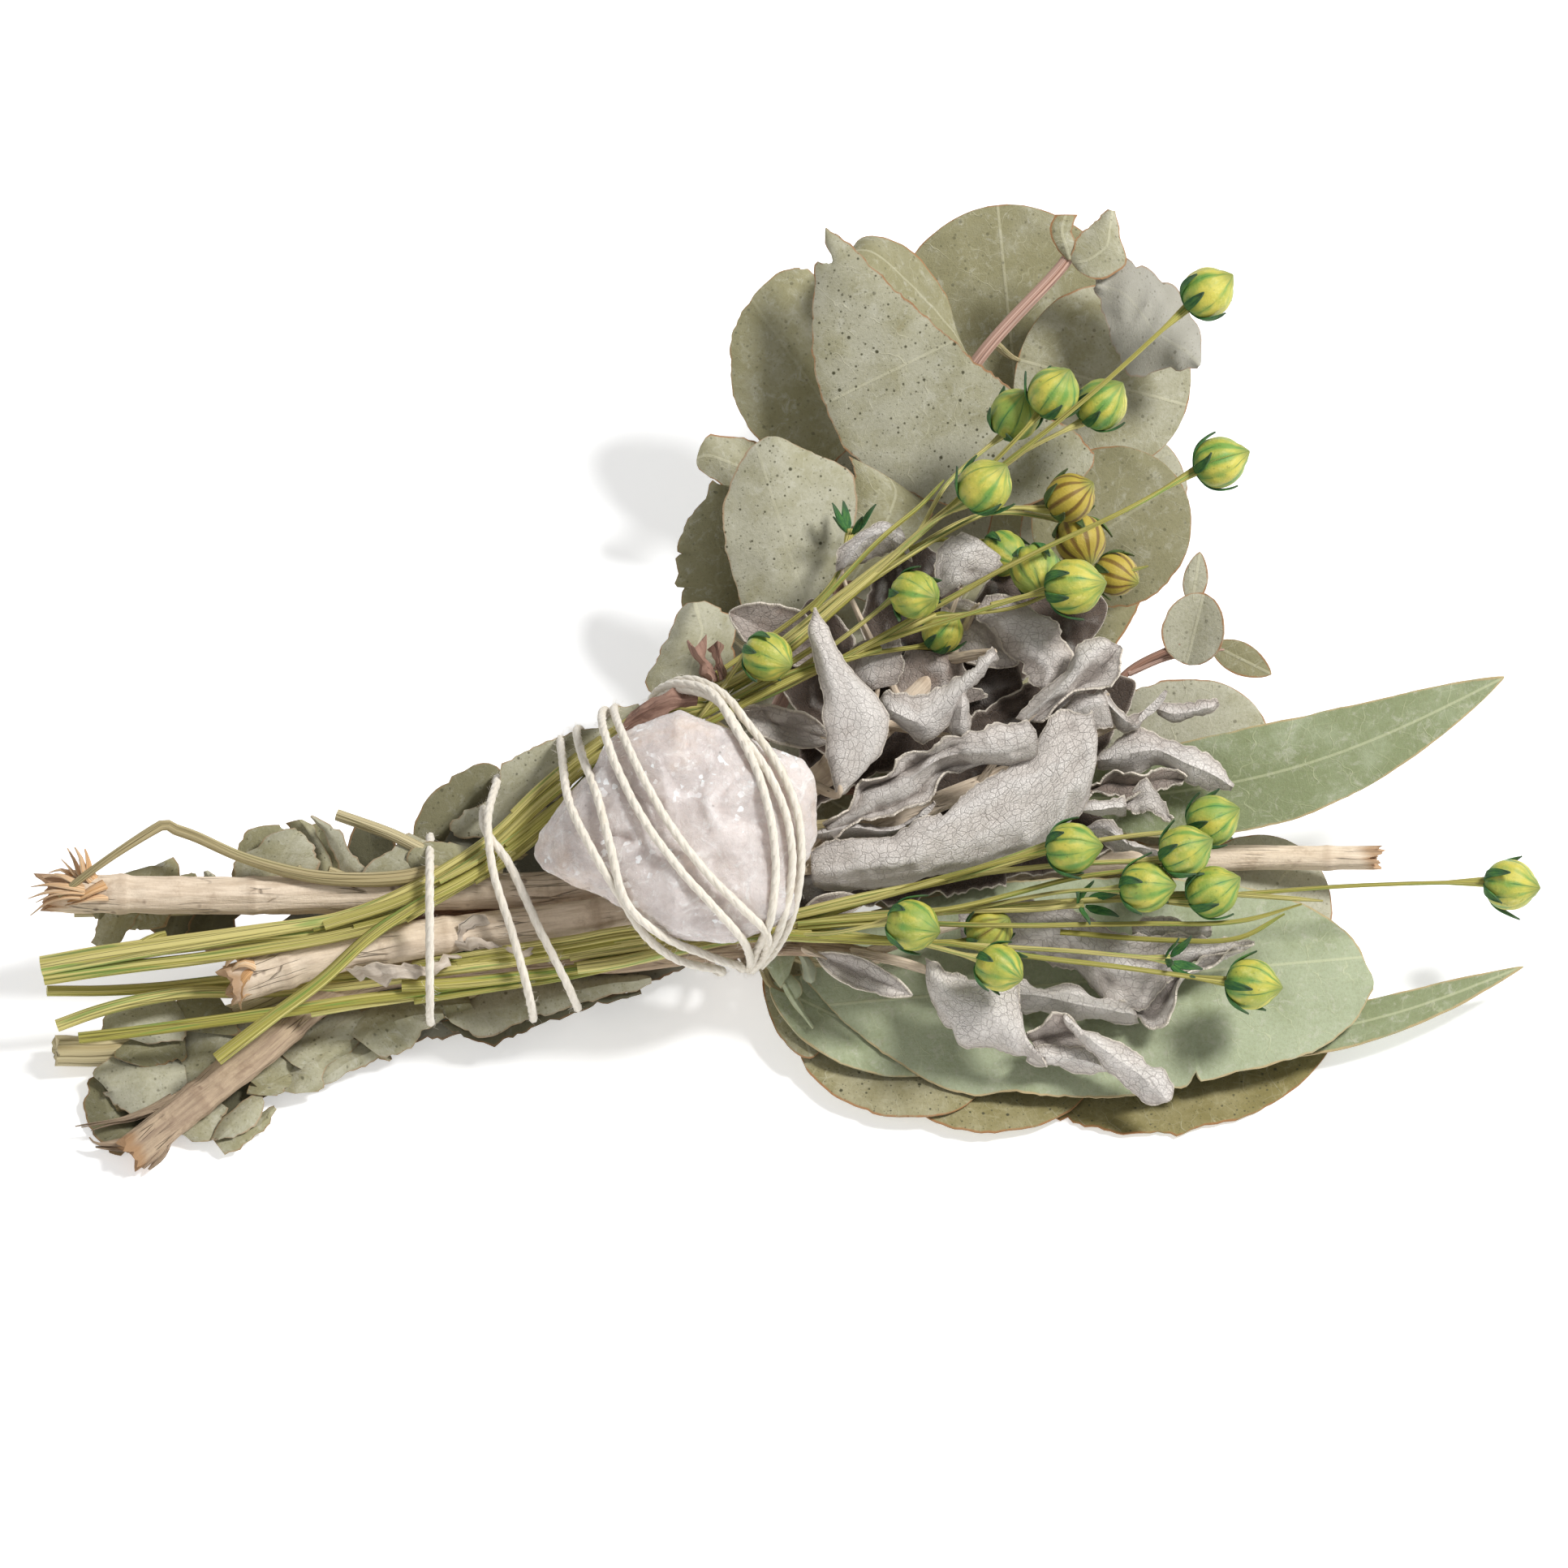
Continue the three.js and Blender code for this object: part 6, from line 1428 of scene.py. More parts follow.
    dict(lines=[
      [(0.7, 32.2, -4.4), (9.9, 33.2, -5), (19.3, 34.4, -5.6), (32.2, 36.2, -6.2)],
      [(0.7, 37.6, -3.8), (9.9, 37.6, -4.3), (19.3, 38.1, -4.9), (32.2, 39.8, -5.4)],
      [(0.7, 43.5, -4.4), (9.9, 42.4, -5.1), (19.3, 42.4, -5.7), (31.6, 43.5, -6.4)],
    ], tone=2.1),
  ],
)

sageLow = dict(
  stems=[
    dict(points=[(-94.8, -2.4, 4.9), (-78.4, 10.6, 1.4), (-63.1, 22, -3.4), (-44, 24.4, -4.8),
          (-22, 25.6, -4.6), (-6, 27.4, -1.6), (6, 27.2, 1.4), (14, 26, 2)],
         radii=[2.65, 2.6, 2.4, 2.1, 1.9, 1.6, 1]),
  ],
  leaves=[
    dict(lines=[
      [(20.5, 25.6, 3.4), (23.4, 23.5, 5), (28.1, 23.1, 6.2), (32.8, 22.4, 7.2), (34.2, 20.2, 8.4),
       (34.6, 17.1, 7.9), (35.6, 14.1, 7.1), (37.1, 11.9, 6.4)],
      [(20.7, 24.7, 4.4), (23.8, 21.4, 7.3), (27.5, 19.8, 8.7), (30.8, 18.2, 8.9), (33.2, 16.2, 8.5),
       (34.8, 14.4, 7.8), (36.2, 12.7, 7.1), (37.4, 11.4, 6.4)],
      [(20.7, 23.8, 4.2), (22.8, 19.1, 6.3), (25.2, 16.7, 7.4), (28.1, 15.1, 7.5), (31.3, 13.9, 7.3),
       (34, 12.9, 6.7), (36, 11.9, 6.2), (37.8, 10.8, 5.8)],
      [(20.9, 22.8, 3.4), (22.6, 18.6, 4), (23.5, 15.5, 4.3), (25.2, 13.4, 4.4), (29.9, 12.4, 4.4),
       (34, 11.4, 4.5), (36.4, 10.8, 4.6), (38.1, 10.2, 4.6)],
    ], start=(6, 27.4, 1.4), petiole=0.9, tone=-0.75),
    dict(lines=[
      [(40.2, 17.8, 7.4), (43.4, 16, 7.2), (47.3, 13.6, 7), (51.3, 11.6, 6.8), (54.6, 10.1, 6.6),
       (55.9, 8.2, 6.3), (56.1, 5.5, 6)],
      [(40.5, 17.5, 8.6), (43.3, 14.9, 8.8), (46.6, 12.4, 9), (50.4, 9.8, 8.9), (53.2, 7.6, 8.8),
       (54.8, 6.2, 7.9), (55.9, 5.3, 7)],
      [(40.6, 17.3, 6.6), (41.9, 14.6, 6.6), (44.7, 12.1, 6.6), (47.5, 9.3, 6.3), (49.3, 6.9, 6),
       (51.3, 5.8, 5.5), (55.5, 5.1, 5)],
    ], tone=-0.75),
    dict(lines=[
      [(35.5, 12.5, 4), (39.3, 12.8, 4.2), (43.4, 12.9, 4.4), (46.6, 11.5, 4.5), (49.4, 8.7, 4.6)],
      [(35.3, 11.8, 5.6), (39.3, 11.4, 5.8), (43.4, 11.1, 6), (46.8, 9.9, 5.7), (49.5, 8.2, 5.4)],
      [(35.1, 11.1, 3.6), (39.3, 10, 3.6), (43.4, 9.2, 3.6), (47.1, 8.5, 3.8), (49.6, 7.8, 4)],
    ], tone=-0.6),
    dict(lines=[
      [(34.8, 14.9, 6), (37.4, 16.1, 6.7), (40.4, 17.8, 7.2), (41.9, 16.9, 7.6)],
      [(35.8, 13.8, 3.4), (38.6, 14.5, 3.1), (41.4, 15.3, 3.3), (43.4, 14.6, 4)],
      [(36.5, 12.5, 4.6), (39.5, 12.5, 4.5), (43.1, 12.8, 4.6), (45.4, 12.5, 5)],
    ], tone=0.5),
    dict(lines=[
      [(33.4, 22.9, 1), (38.1, 22.1, 1.5), (42.8, 20.9, 2), (47.1, 19.8, 2.3), (50.8, 18, 2.6)],
      [(33.4, 20.7, 3), (38.1, 20.1, 4.1), (42.8, 19.1, 5.2), (47.1, 18.4, 4.6), (51.1, 17.6, 4)],
      [(33.4, 17.8, 0), (38.1, 17.5, 0.5), (42.8, 17.2, 1), (47.5, 16.7, 1.2), (51.3, 16.9, 1.4)],
    ], start=(13, 26.2, 1.9), tone=-0.7),
    dict(lines=[
      [(25.2, 33.2, 0.6), (33.4, 33.9, 1.4), (40.5, 33.2, 2.1), (47.5, 30.6, 2.7), (53.4, 29.2, 2.9),
       (59.3, 29.2, 2.7), (64, 28.7, 2.3), (68.2, 28.1, 2)],
      [(25.4, 30.6, 1.6), (33.4, 30.4, 2.7), (40.5, 29.4, 3.7), (46.6, 26.1, 4.2), (51.1, 24.5, 4.2),
       (55.8, 25.9, 3.7), (61.6, 27.1, 3.1), (68.1, 27.9, 2.4)],
      [(25.9, 28.2, 0), (33.4, 26.1, 0.5), (41.4, 24.2, 1), (45.6, 20.9, 1.7), (49.2, 18.5, 2.4),
       (52.9, 19.1, 2.2), (55.5, 22.9, 2), (60.9, 25.4, 1.8), (67.5, 27.5, 1.6)],
    ], start=(12, 26.6, 1.8), petiole=0.8, tone=-0.3),
    dict(lines=[
      [(50.6, 18.5, 1.6), (52.7, 19.8, 2.2), (55.1, 22.1, 2.7), (57.6, 24.7, 2.9), (61.9, 25.9, 2.6),
       (67.8, 28.2, 2.4)],
      [(50.7, 17.9, 1), (52.9, 17.6, 0.8), (55.4, 19.8, 0.5), (57.4, 22.9, 0.6), (61.6, 24.5, 1),
       (68, 28, 1.4)],
      [(50.8, 17.4, 2.6), (52.5, 16, 3.2), (54.8, 16.5, 3.7), (56.7, 20.2, 3.8), (59.5, 23.2, 3.4),
       (68.2, 27.9, 3)],
    ], tone=-0.6),
    dict(lines=[
      [(50.5, 30.6, 0), (54.6, 31.1, 0.7), (58.7, 30.6, 0.9), (61.9, 30.6, 0.6)],
      [(50.5, 29.6, 1.6), (54.6, 29.8, 2.3), (58.7, 29.5, 2.3), (62, 29.8, 1.6)],
      [(50.6, 28.5, 0), (54.6, 28.2, 0), (58.7, 28.2, 0), (61.9, 28.9, 0)],
    ], tone=-0.25),
    dict(base=(4.6, 26.4, 3.4), tip=(18.6, 20.4, 5.6), width=5, outline="sage", start=(2, 27.6, 0.6),
         foldLeft=30, foldRight=20),
    dict(base=(3, 33, 1.8), tip=(12, 34.2, 1.6), width=4, outline="sage", start=(0, 28.6, 0), foldLeft=30,
         foldRight=20),
  ],
)

sageStub = dict(
  stems=[
    dict(points=[(-105.6, 12.4, -4), (-97.2, 12.6, -5.4), (-80, 17, -9), (-58, 27, -11.4), (-38, 31, -11)],
         radii=(2.25, 2.2, 1.8)),
  ],
)

sageThrough = dict(
  stems=[
    dict(points=[(-58, 36, -8), (-40, 36, -10.6), (-14, 36.6, -12), (20, 38.6, -13), (60, 40.2, -12.6),
          (86, 40.4, -12)], radii=[2.2, 2.2, 2, 1.7]),
  ],
)

# eucalyptus

roundTop = dict(
  stems=[
    dict(points=[(-46, 42, -9.6), (-30, 45.6, -10.6), (-10.1, 49.4, -11.6), (5.2, 74.1, -23),
          (15.8, 91.8, -29.5), (28, 112.5, -27.4), (40.6, 126.6, -28), (42.4, 129.4, -28)],
         radii=[1.3, 1.2, 1.1, 0.9]),
  ],
  leaves=[
    dict(lines=[
      [(45.1, 98.8, -25.8), (44.6, 96.8, -26.1), (42.2, 94.5, -26.3), (38.1, 92.7, -26.6),
       (33.4, 91.2, -26.9), (26.4, 91.3, -27.2), (21.6, 92.1, -27.5), (16.9, 93.9, -27.6),
       (12.8, 96.5, -27.7), (9.3, 99.6, -27.8), (6.6, 104.1, -27.7), (4.8, 110, -27.6), (4, 115.9, -27.5),
       (4, 121.2, -27.3), (4.2, 124.7, -27), (4.8, 127.1, -26.7), (6, 126.7, -26.3), (7.5, 126.6, -26),
       (6, 129.2, -25.7), (6.1, 131.9, -25.4)],
      [(45.1, 99.1, -25.6), (41.6, 98.6, -25.5), (35.8, 99.3, -25.4), (27.5, 102.1, -25.4),
       (19.9, 107.6, -25.4), (14, 114.7, -25.4), (9.9, 121.4, -25.4), (8.2, 125.6, -25.4),
       (6.8, 129.2, -25.3), (6.1, 131.9, -25.2)],
      [(45.1, 99.3, -25.6), (42.8, 101.8, -25.1), (38.1, 104.7, -24.5), (32.2, 109.2, -24.3),
       (27.2, 113.3, -24.1), (25.4, 115.1, -24), (21.6, 118.2, -24.1), (15.8, 123.5, -24.3),
       (9.6, 129.4, -24.8), (6.1, 132, -25.2)],
    ], vein=((24.9, 115.6), (9.3, 108)), tone=-0.2, look=dict(specks=1)),
    dict(lines=[
      [(27.5, 112, -27.4), (21.6, 115.9, -27.4), (15.8, 121.2, -27.4), (10.1, 127.1, -27.4)],
      [(26.9, 112.9, -29), (22.6, 119.4, -30.5), (18.1, 124.7, -32), (12.8, 129.1, -31), (10.1, 128.5, -30)],
      [(25.6, 114.8, -31), (24.4, 119.4, -32.1), (22.8, 123.5, -33.3), (19.9, 127.1, -34.4),
       (16.5, 129.6, -34.7), (13.4, 130.6, -34.1), (11.1, 130.2, -33.6), (9.9, 128.9, -33)],
    ], tone=0.8),
    dict(lines=[
      [(41.2, 127.3, -27.4), (39.6, 129.4, -26.9), (38.8, 131.8, -26.4), (39.4, 133.9, -26)],
      [(41.9, 127.4, -27), (42.4, 129.4, -26.7), (41.9, 131.3, -26.5), (42.4, 133.9, -26.4)],
    ], tone=0.4, bulge=0.5),
    dict(lines=[
      [(41.6, 127.5, -27), (42.8, 130.4, -26.6), (44.9, 132.5, -26.3), (47.2, 134.6, -26)],
      [(41.9, 127.1, -27), (44.6, 128.5, -26.1), (46.4, 130.8, -25.6), (47.6, 134.5, -25.6)],
      [(42.1, 126.7, -27.4), (45.2, 124.7, -27.5), (49.5, 126.9, -27.6), (48.8, 130.6, -27),
       (48, 134.4, -26.4)],
    ], tone=-0.1),
    dict(lines=[
      [(45.4, 124.5, -29.4), (49.6, 127.1, -29.6), (54, 125.3, -29.8), (57.2, 122.9, -30),
       (59.5, 119.4, -29.8), (60.5, 115.9, -29.6), (60.4, 112, -29.4)],
      [(45.4, 123.8, -28.6), (48.7, 122.1, -28.2), (52.2, 119.8, -27.8), (55.3, 117.2, -27.4),
       (57.6, 114.8, -27.7), (59.3, 113.2, -28.1), (60.4, 111.9, -28.4)],
      [(45.2, 123.3, -29.4), (46.6, 119.4, -29.6), (48.5, 115.3, -29.8), (50.1, 111.1, -30),
       (53.4, 110.8, -29.7), (56.9, 112.1, -29.5), (60.1, 111.6, -29.2)],
    ], tone=0.2, look=dict(pale=0.8, veins=0.3, wrinkle=1.3, wrinkleSize=7, nibble=0.5)),
    dict(base=(34.8, 98.8, -48), tip=(31.1, 135.5, -43), width=37, start=(20.6, 100, -28.9)),
    dict(base=(34, 112.9, -39), tip=(58.8, 106.2, -41), width=29, start=(30.6, 115.2, -27.6), arch=14),
    dict(lines=[
      [(11.3, 97.4, -41), (7.5, 97.5, -40.4), (4, 98.1, -39.8), (-0.7, 99.3, -39.2), (-4.8, 102.4, -39),
       (-7.2, 107.1, -39), (-7.9, 112.9, -39), (-7.2, 117.6, -39), (-4.8, 121.8, -39), (-1.3, 125.3, -39),
       (2.2, 126.5, -39)],
      [(11.4, 98.8, -41), (6.4, 103.5, -39.6), (2.2, 109.4, -38.5), (-0.1, 115.3, -38.1),
       (-0.1, 121.2, -38.4), (2.4, 126.2, -39)],
      [(11.5, 100.6, -42), (11.1, 105.9, -42), (9.3, 112.9, -41.8), (7.5, 118.8, -41.2), (5.8, 123.5, -40.6),
       (3.5, 126.1, -40)],
    ], vein=((11.3, 98.8), (-4.2, 120.9)), start=(15.4, 91.2, -36.4), tone=0.2,
         look=dict(nibble=0.2, veins=0.4)),
    dict(lines=[
      [(-6, 73.5, -21), (-6.6, 77.1, -21.2), (-7.4, 80.9, -21.4), (-8.4, 84.1, -21.7), (-8.7, 88.2, -21.9),
       (-8.6, 91.8, -22.2), (-7.8, 95.1, -22.5), (-6.4, 97.9, -22.8), (-4.2, 100.2, -23.1),
       (-2.5, 101.5, -23.4)],
      [(0.5, 72.9, -20), (0.2, 78.8, -19.8), (-0.1, 83.5, -19.7), (-0.5, 88.2, -19.8), (-0.5, 92.9, -20.2),
       (-0.1, 97.1, -20.8), (-0.7, 99.8, -21.9), (-1.6, 101.5, -23)],
      [(5.2, 73.5, -20.5), (7.5, 78.8, -20.8), (9.3, 83.5, -21.1), (10.1, 88.2, -21.3), (10.5, 92.9, -21.6),
       (9.9, 96.5, -22.1), (7.5, 97.9, -22.5), (2.8, 99.8, -22.9), (-0.7, 101.4, -23.4)],
    ], vein=((4, 74.1), (-3.6, 98.8)), tone=-0.3, look=dict(specks=1, veins=0.45)),
    dict(lines=[
      [(4, 80.6, -22), (7.5, 85.9, -22.8), (9.6, 91.8, -23.6), (10.1, 96.5, -23.8), (9.3, 98.8, -24)],
      [(9.9, 80.6, -22), (12.8, 85.9, -22.5), (14.6, 90.6, -23), (15.2, 94.1, -23.7), (14.6, 95.9, -24.4)],
      [(15.2, 81.2, -24), (18.7, 85.9, -25), (20.5, 88.8, -26), (21.6, 90.4, -26.5), (20.5, 91.8, -27)],
    ], tone=0.7),
    dict(lines=[
      [(-6, 92.4, -40), (-8.1, 93.6, -39.8), (-9.5, 95.2, -39.5), (-11.1, 96, -39.2), (-12.4, 96.9, -39)],
      [(-4.8, 96.5, -38.6), (-7.2, 97.6, -38.3), (-9.5, 98.6, -38), (-11.3, 98.8, -38.5),
       (-12.7, 98.1, -39)],
      [(-3.6, 100.6, -40), (-6, 101.5, -39.8), (-8.9, 101.6, -39.5), (-11.1, 101.9, -39.2),
       (-12.2, 100.2, -39)],
    ], tone=0.3),
    dict(lines=[
      [(-12.2, 74.4, -31), (-14.6, 76.5, -31), (-15.3, 78.2, -31), (-14.5, 79.8, -31), (-16.1, 79.9, -31),
       (-15.5, 82.1, -31), (-15.5, 84.2, -31), (-14.5, 84.5, -31), (-15.4, 85.2, -31), (-15.1, 87.6, -31),
       (-13.6, 90.4, -31), (-11.5, 92.9, -31), (-10.1, 95.1, -31)],
      [(-8.9, 74.1, -30), (-9.5, 80, -29.8), (-9.9, 84.7, -29.6), (-9.5, 89.4, -30), (-9.3, 94.6, -30.4)],
      [(-5.4, 74.1, -32), (-4.5, 80, -32.5), (-4.5, 84.7, -33), (-5.4, 89.4, -32.5), (-7.8, 94.4, -32)],
    ], start=(0.4, 66.6, -19.4), tone=0.9, look=dict(nibble=0.35, veins=0.3)),
    dict(base=(-11.6, 62, -22), tip=(-15.4, 73.6, -26), width=7.4, start=(-6, 56.4, -14.2)),
    dict(lines=[
      [(-16.9, 63.3, -17), (-19.5, 64.7, -17.7), (-20, 66.1, -18.3), (-18.6, 69.2, -19),
       (-16.9, 71.8, -19.3), (-15.5, 74.7, -19.7), (-14.1, 77.2, -20)],
      [(-13.6, 62.6, -15), (-14.1, 67.1, -15.7), (-13.9, 70.6, -16.4), (-13.4, 74.1, -17.2),
       (-12.8, 77.4, -18)],
      [(-8.4, 62.1, -17), (-7.2, 67.1, -17.8), (-6.8, 71.8, -18.6), (-6.8, 74.6, -19.1), (-9.2, 75.8, -19.4),
       (-11.5, 77.5, -19.6)],
    ], start=(-5.6, 56.8, -14.4), tone=-0.1, look=dict(nibble=0.6, wrinkle=0.6, wrinkleSize=6)),
    dict(base=(38.1, 82.4, -31), tip=(57.6, 95.2, -33), width=24, start=(12, 85.6, -24.4), arch=14, tone=1,
         look=dict(veins=0.6)),
    dict(base=(8, 80, -34), tip=(27, 101, -36), width=26, start=(6, 75.4, -21.5)),
  ],
)

roundLow = dict(
  stems=[
    dict(points=[(-56, 23, -9), (-30, 25.4, -10), (-6, 27, -10), table(16, 26, 4), table(34, 30, 1.3)],
         radii=[1.3, 1.2, 1.1, 0.9]),
  ],
  leaves=[
    dict(base=table(27, 33), tip=table(81.4, 21), width=56, facing=level, tone=0.5,
         look=dict(warm=0.85, specks=0.9)),
    dict(base=table(14, 17.6, 1.7), tip=table(45, 9, 1.7), width=29, start=table(14, 25.6, 4.4),
         facing=level, tone=0.3, look=dict(warm=0.7, specks=1)),
    dict(base=table(3, 19, 3.4), tip=table(28, 5.4, 2.8), width=21, start=table(6, 26, 5), facing=level,
         tone=0.1, look=dict(warm=0.5, specks=1)),
    dict(base=table(-1, 27.6, 7), tip=table(4, 10.6, 4.6), width=8, facing=level),
    dict(base=(58, 18, -8), tip=(75.4, 41.6, -18.4), width=25, start=table(34, 29.6, 1.5), arch=12,
         facing=(0.2, 0.2, 1)),
  ],
)

roundBack = dict(
  stems=[
    dict(points=[(-84, 27, -10), (-54, 31.4, -11.4), (-14, 43, -15.2), table(14, 62, 12), table(34, 84, 6),
          table(46, 102, 4)], radii=[1.5, 1.5, 1.2, 0.9]),
  ],
  leaves=[
    dict(base=table(26, 82), tip=table(42, 116), width=38, start=table(26, 75.4, 8.3), facing=level),
    dict(base=table(8, 58, 11.8), tip=table(-2, 92, 3), width=30, facing=level),
    dict(base=table(20, 68.6, 10.4), tip=table(17, 106, 9), width=30, facing=level),
    dict(base=table(23, 72, 9), tip=table(50, 58, 4), width=28, facing=level),
    dict(base=table(40, 93, 5), tip=table(54, 116, 12), width=24, facing=level),
    dict(base=table(3, 54, 11.6), tip=table(28, 40, 4.6), width=24, facing=level),
    dict(base=table(14, 62, 12.4), tip=table(30, 92, 15), width=28, facing=(0, 0.9, 0.4)),
    dict(base=table(0, 52.4, 12.2), tip=table(-2, 84, 13), width=22, facing=(0, 0.9, 0.4)),
  ],
)

smallSpray = dict(
  stems=[
    dict(points=[(-30, 49, -6), (-4, 50, -9), (26, 52, -14), (44, 60, -17), (50, 67.4, -17),
          (57.6, 71.4, -16)], radii=[1, 0.9, 0.7, 0.5]),
    dict(points=[(50, 67.2, -17), (56, 69.6, -17.4), (64, 70.6, -17)], radii=(0.6, 0.45)),
  ],
  leaves=[
    dict(base=(58.4, 68.4, -16), tip=(61, 78.8, -15), width=9.6, foldRight=25),
    dict(base=(59.2, 77, -15.4), tip=(60.4, 84.8, -15), width=3.6, outline="sage"),
    dict(base=(62, 71.4, -17.1), tip=(70.8, 67, -15.6), width=4.8, outline="sage"),
    dict(base=(44, 49, -16.6), tip=(70, 60, -15), width=24, start=(28, 52.4, -14.4), arch=14),
  ],
)

lanceUpper = dict(
  leaves=[
    dict(base=(36, 48.6, -13), tip=(104.6, 66.6, -6), width=23, outline="lance", start=(-40, 40.6, -5.4),
         petiole=1, sweep=5, arch=14, tone=0.55),
  ],
)

lanceLower = dict(
  stems=[
    dict(points=[(-56, 28.6, -6.4), (-28, 29.8, -7), (-6, 29, -6), (4, 25.4, -4.6)], radii=(1.3, 1.2, 1)),
  ],
  leaves=[
    dict(lines=[
      [(2.8, 29.4, -7.4), (13.4, 32.9, -8.1), (27.5, 36.2, -8.6), (45.2, 37.4, -8.7), (62.8, 36.7, -8.3),
       (74.6, 33.9, -7.3), (81.6, 29.4, -6.1), (85.2, 23.5, -5)],
      [(2.2, 25.3, -5.4), (13.4, 24.7, -4.4), (27.5, 21.8, -3.6), (45.2, 21.8, -3.5), (62.8, 22.9, -3.5),
       (74.6, 23.5, -3.7), (81.6, 23.5, -4.2), (85.5, 22.4, -4.8)],
      [(2.8, 22.9, -4.4), (8.7, 16.5, -3), (13.4, 12.9, -1.7), (21.6, 7.6, -0.5), (28.7, 5.9, 0.4),
       (32.8, 6.5, 1.4), (39.3, 5.6, 1.5), (49.3, 5.9, 1.6), (55.8, 6.9, 1.6), (58.5, 7.5, 1.5),
       (59.6, 9.5, 1.4), (60.4, 8, 0.8), (66.4, 9.4, 0.3), (74.6, 11.4, -0.8), (81.6, 15.3, -2.4),
       (85.5, 21.2, -4)],
    ], vein=((4, 18.8), (84, 25.9)), tone=-0.5, look=dict(specks=0)),
    dict(base=(-2, 22, -5.8), tip=(23.4, 9.6, -1.8), width=13, outline="sage", facing=(0, 0.45, 0.9),
         start=(-4, 27.8, -5.6)),
    dict(base=(50, 14, -5.4), tip=(107.4, 24.6, -9), width=12, outline="lance", start=(3, 25.4, -5),
         sweep=4.4, facing=(0, 0.5, 0.86)),
    dict(lines=[
      [(4, 25.6, -6), (7.5, 19.8, -5.1), (10.8, 15.5, -4.3), (12.9, 12.8, -3.4)],
      [(3.1, 24, -5.6), (4.9, 18.8, -4.8), (7.5, 14.8, -4), (9.6, 12.8, -3.2)],
      [(2.1, 22.8, -5.6), (3.1, 18.8, -4.9), (4.4, 15.5, -4.1), (6.2, 12.8, -3.4)],
    ], tone=-0.4, look=dict(specks=0, veins=0.3)),
    dict(lines=[
      [(1.2, 27.1, -2), (1.8, 26.6, -1.9), (1.4, 25.2, -1.7), (0.7, 23.5, -1.6)],
      [(-1.6, 26.8, -1.4), (-0.5, 25.2, -1.3), (0.2, 24, -1.1), (0.1, 22.6, -1)],
      [(-3.3, 25.6, -2), (-2.6, 24.5, -1.8), (-1.5, 22.8, -1.6), (-0.5, 21.3, -1.4)],
    ], tone=-0.4, look=dict(specks=0, veins=0.4)),
    dict(lines=[
      [(2, 26.4, -3), (2.6, 24.5, -2.8), (2.8, 22.8, -2.6), (4, 22.2, -2.4)],
      [(2.8, 26.8, -2.6), (4.1, 25.4, -2.4), (4.8, 24, -2.2), (4.6, 22.6, -2)],
    ], tone=-0.3, bulge=0.6, look=dict(specks=0, veins=0.4)),
    dict(lines=[
      [(0.9, 23.5, -2.8), (2.1, 22.1, -2.7), (2.6, 20.9, -2.5), (1.8, 19.9, -2.4)],
      [(-0.2, 23.3, -2.6), (0.2, 22.1, -2.5), (0.8, 20.9, -2.5), (1.5, 19.9, -2.4)],
    ], tone=-0.2, bulge=0.5, look=dict(specks=0, veins=0.3)),
    dict(lines=[
      [(0.5, 22.4, -2.6), (1.9, 20.2, -2.4), (3.5, 17.6, -2.2), (4.5, 15.8, -2)],
      [(-0.2, 21.9, -2.8), (0.9, 19.5, -2.6), (2.6, 17.2, -2.4), (4.1, 15.5, -2.2)],
    ], tone=-0.3, bulge=0.8, look=dict(specks=0, veins=0.3)),
  ],
)
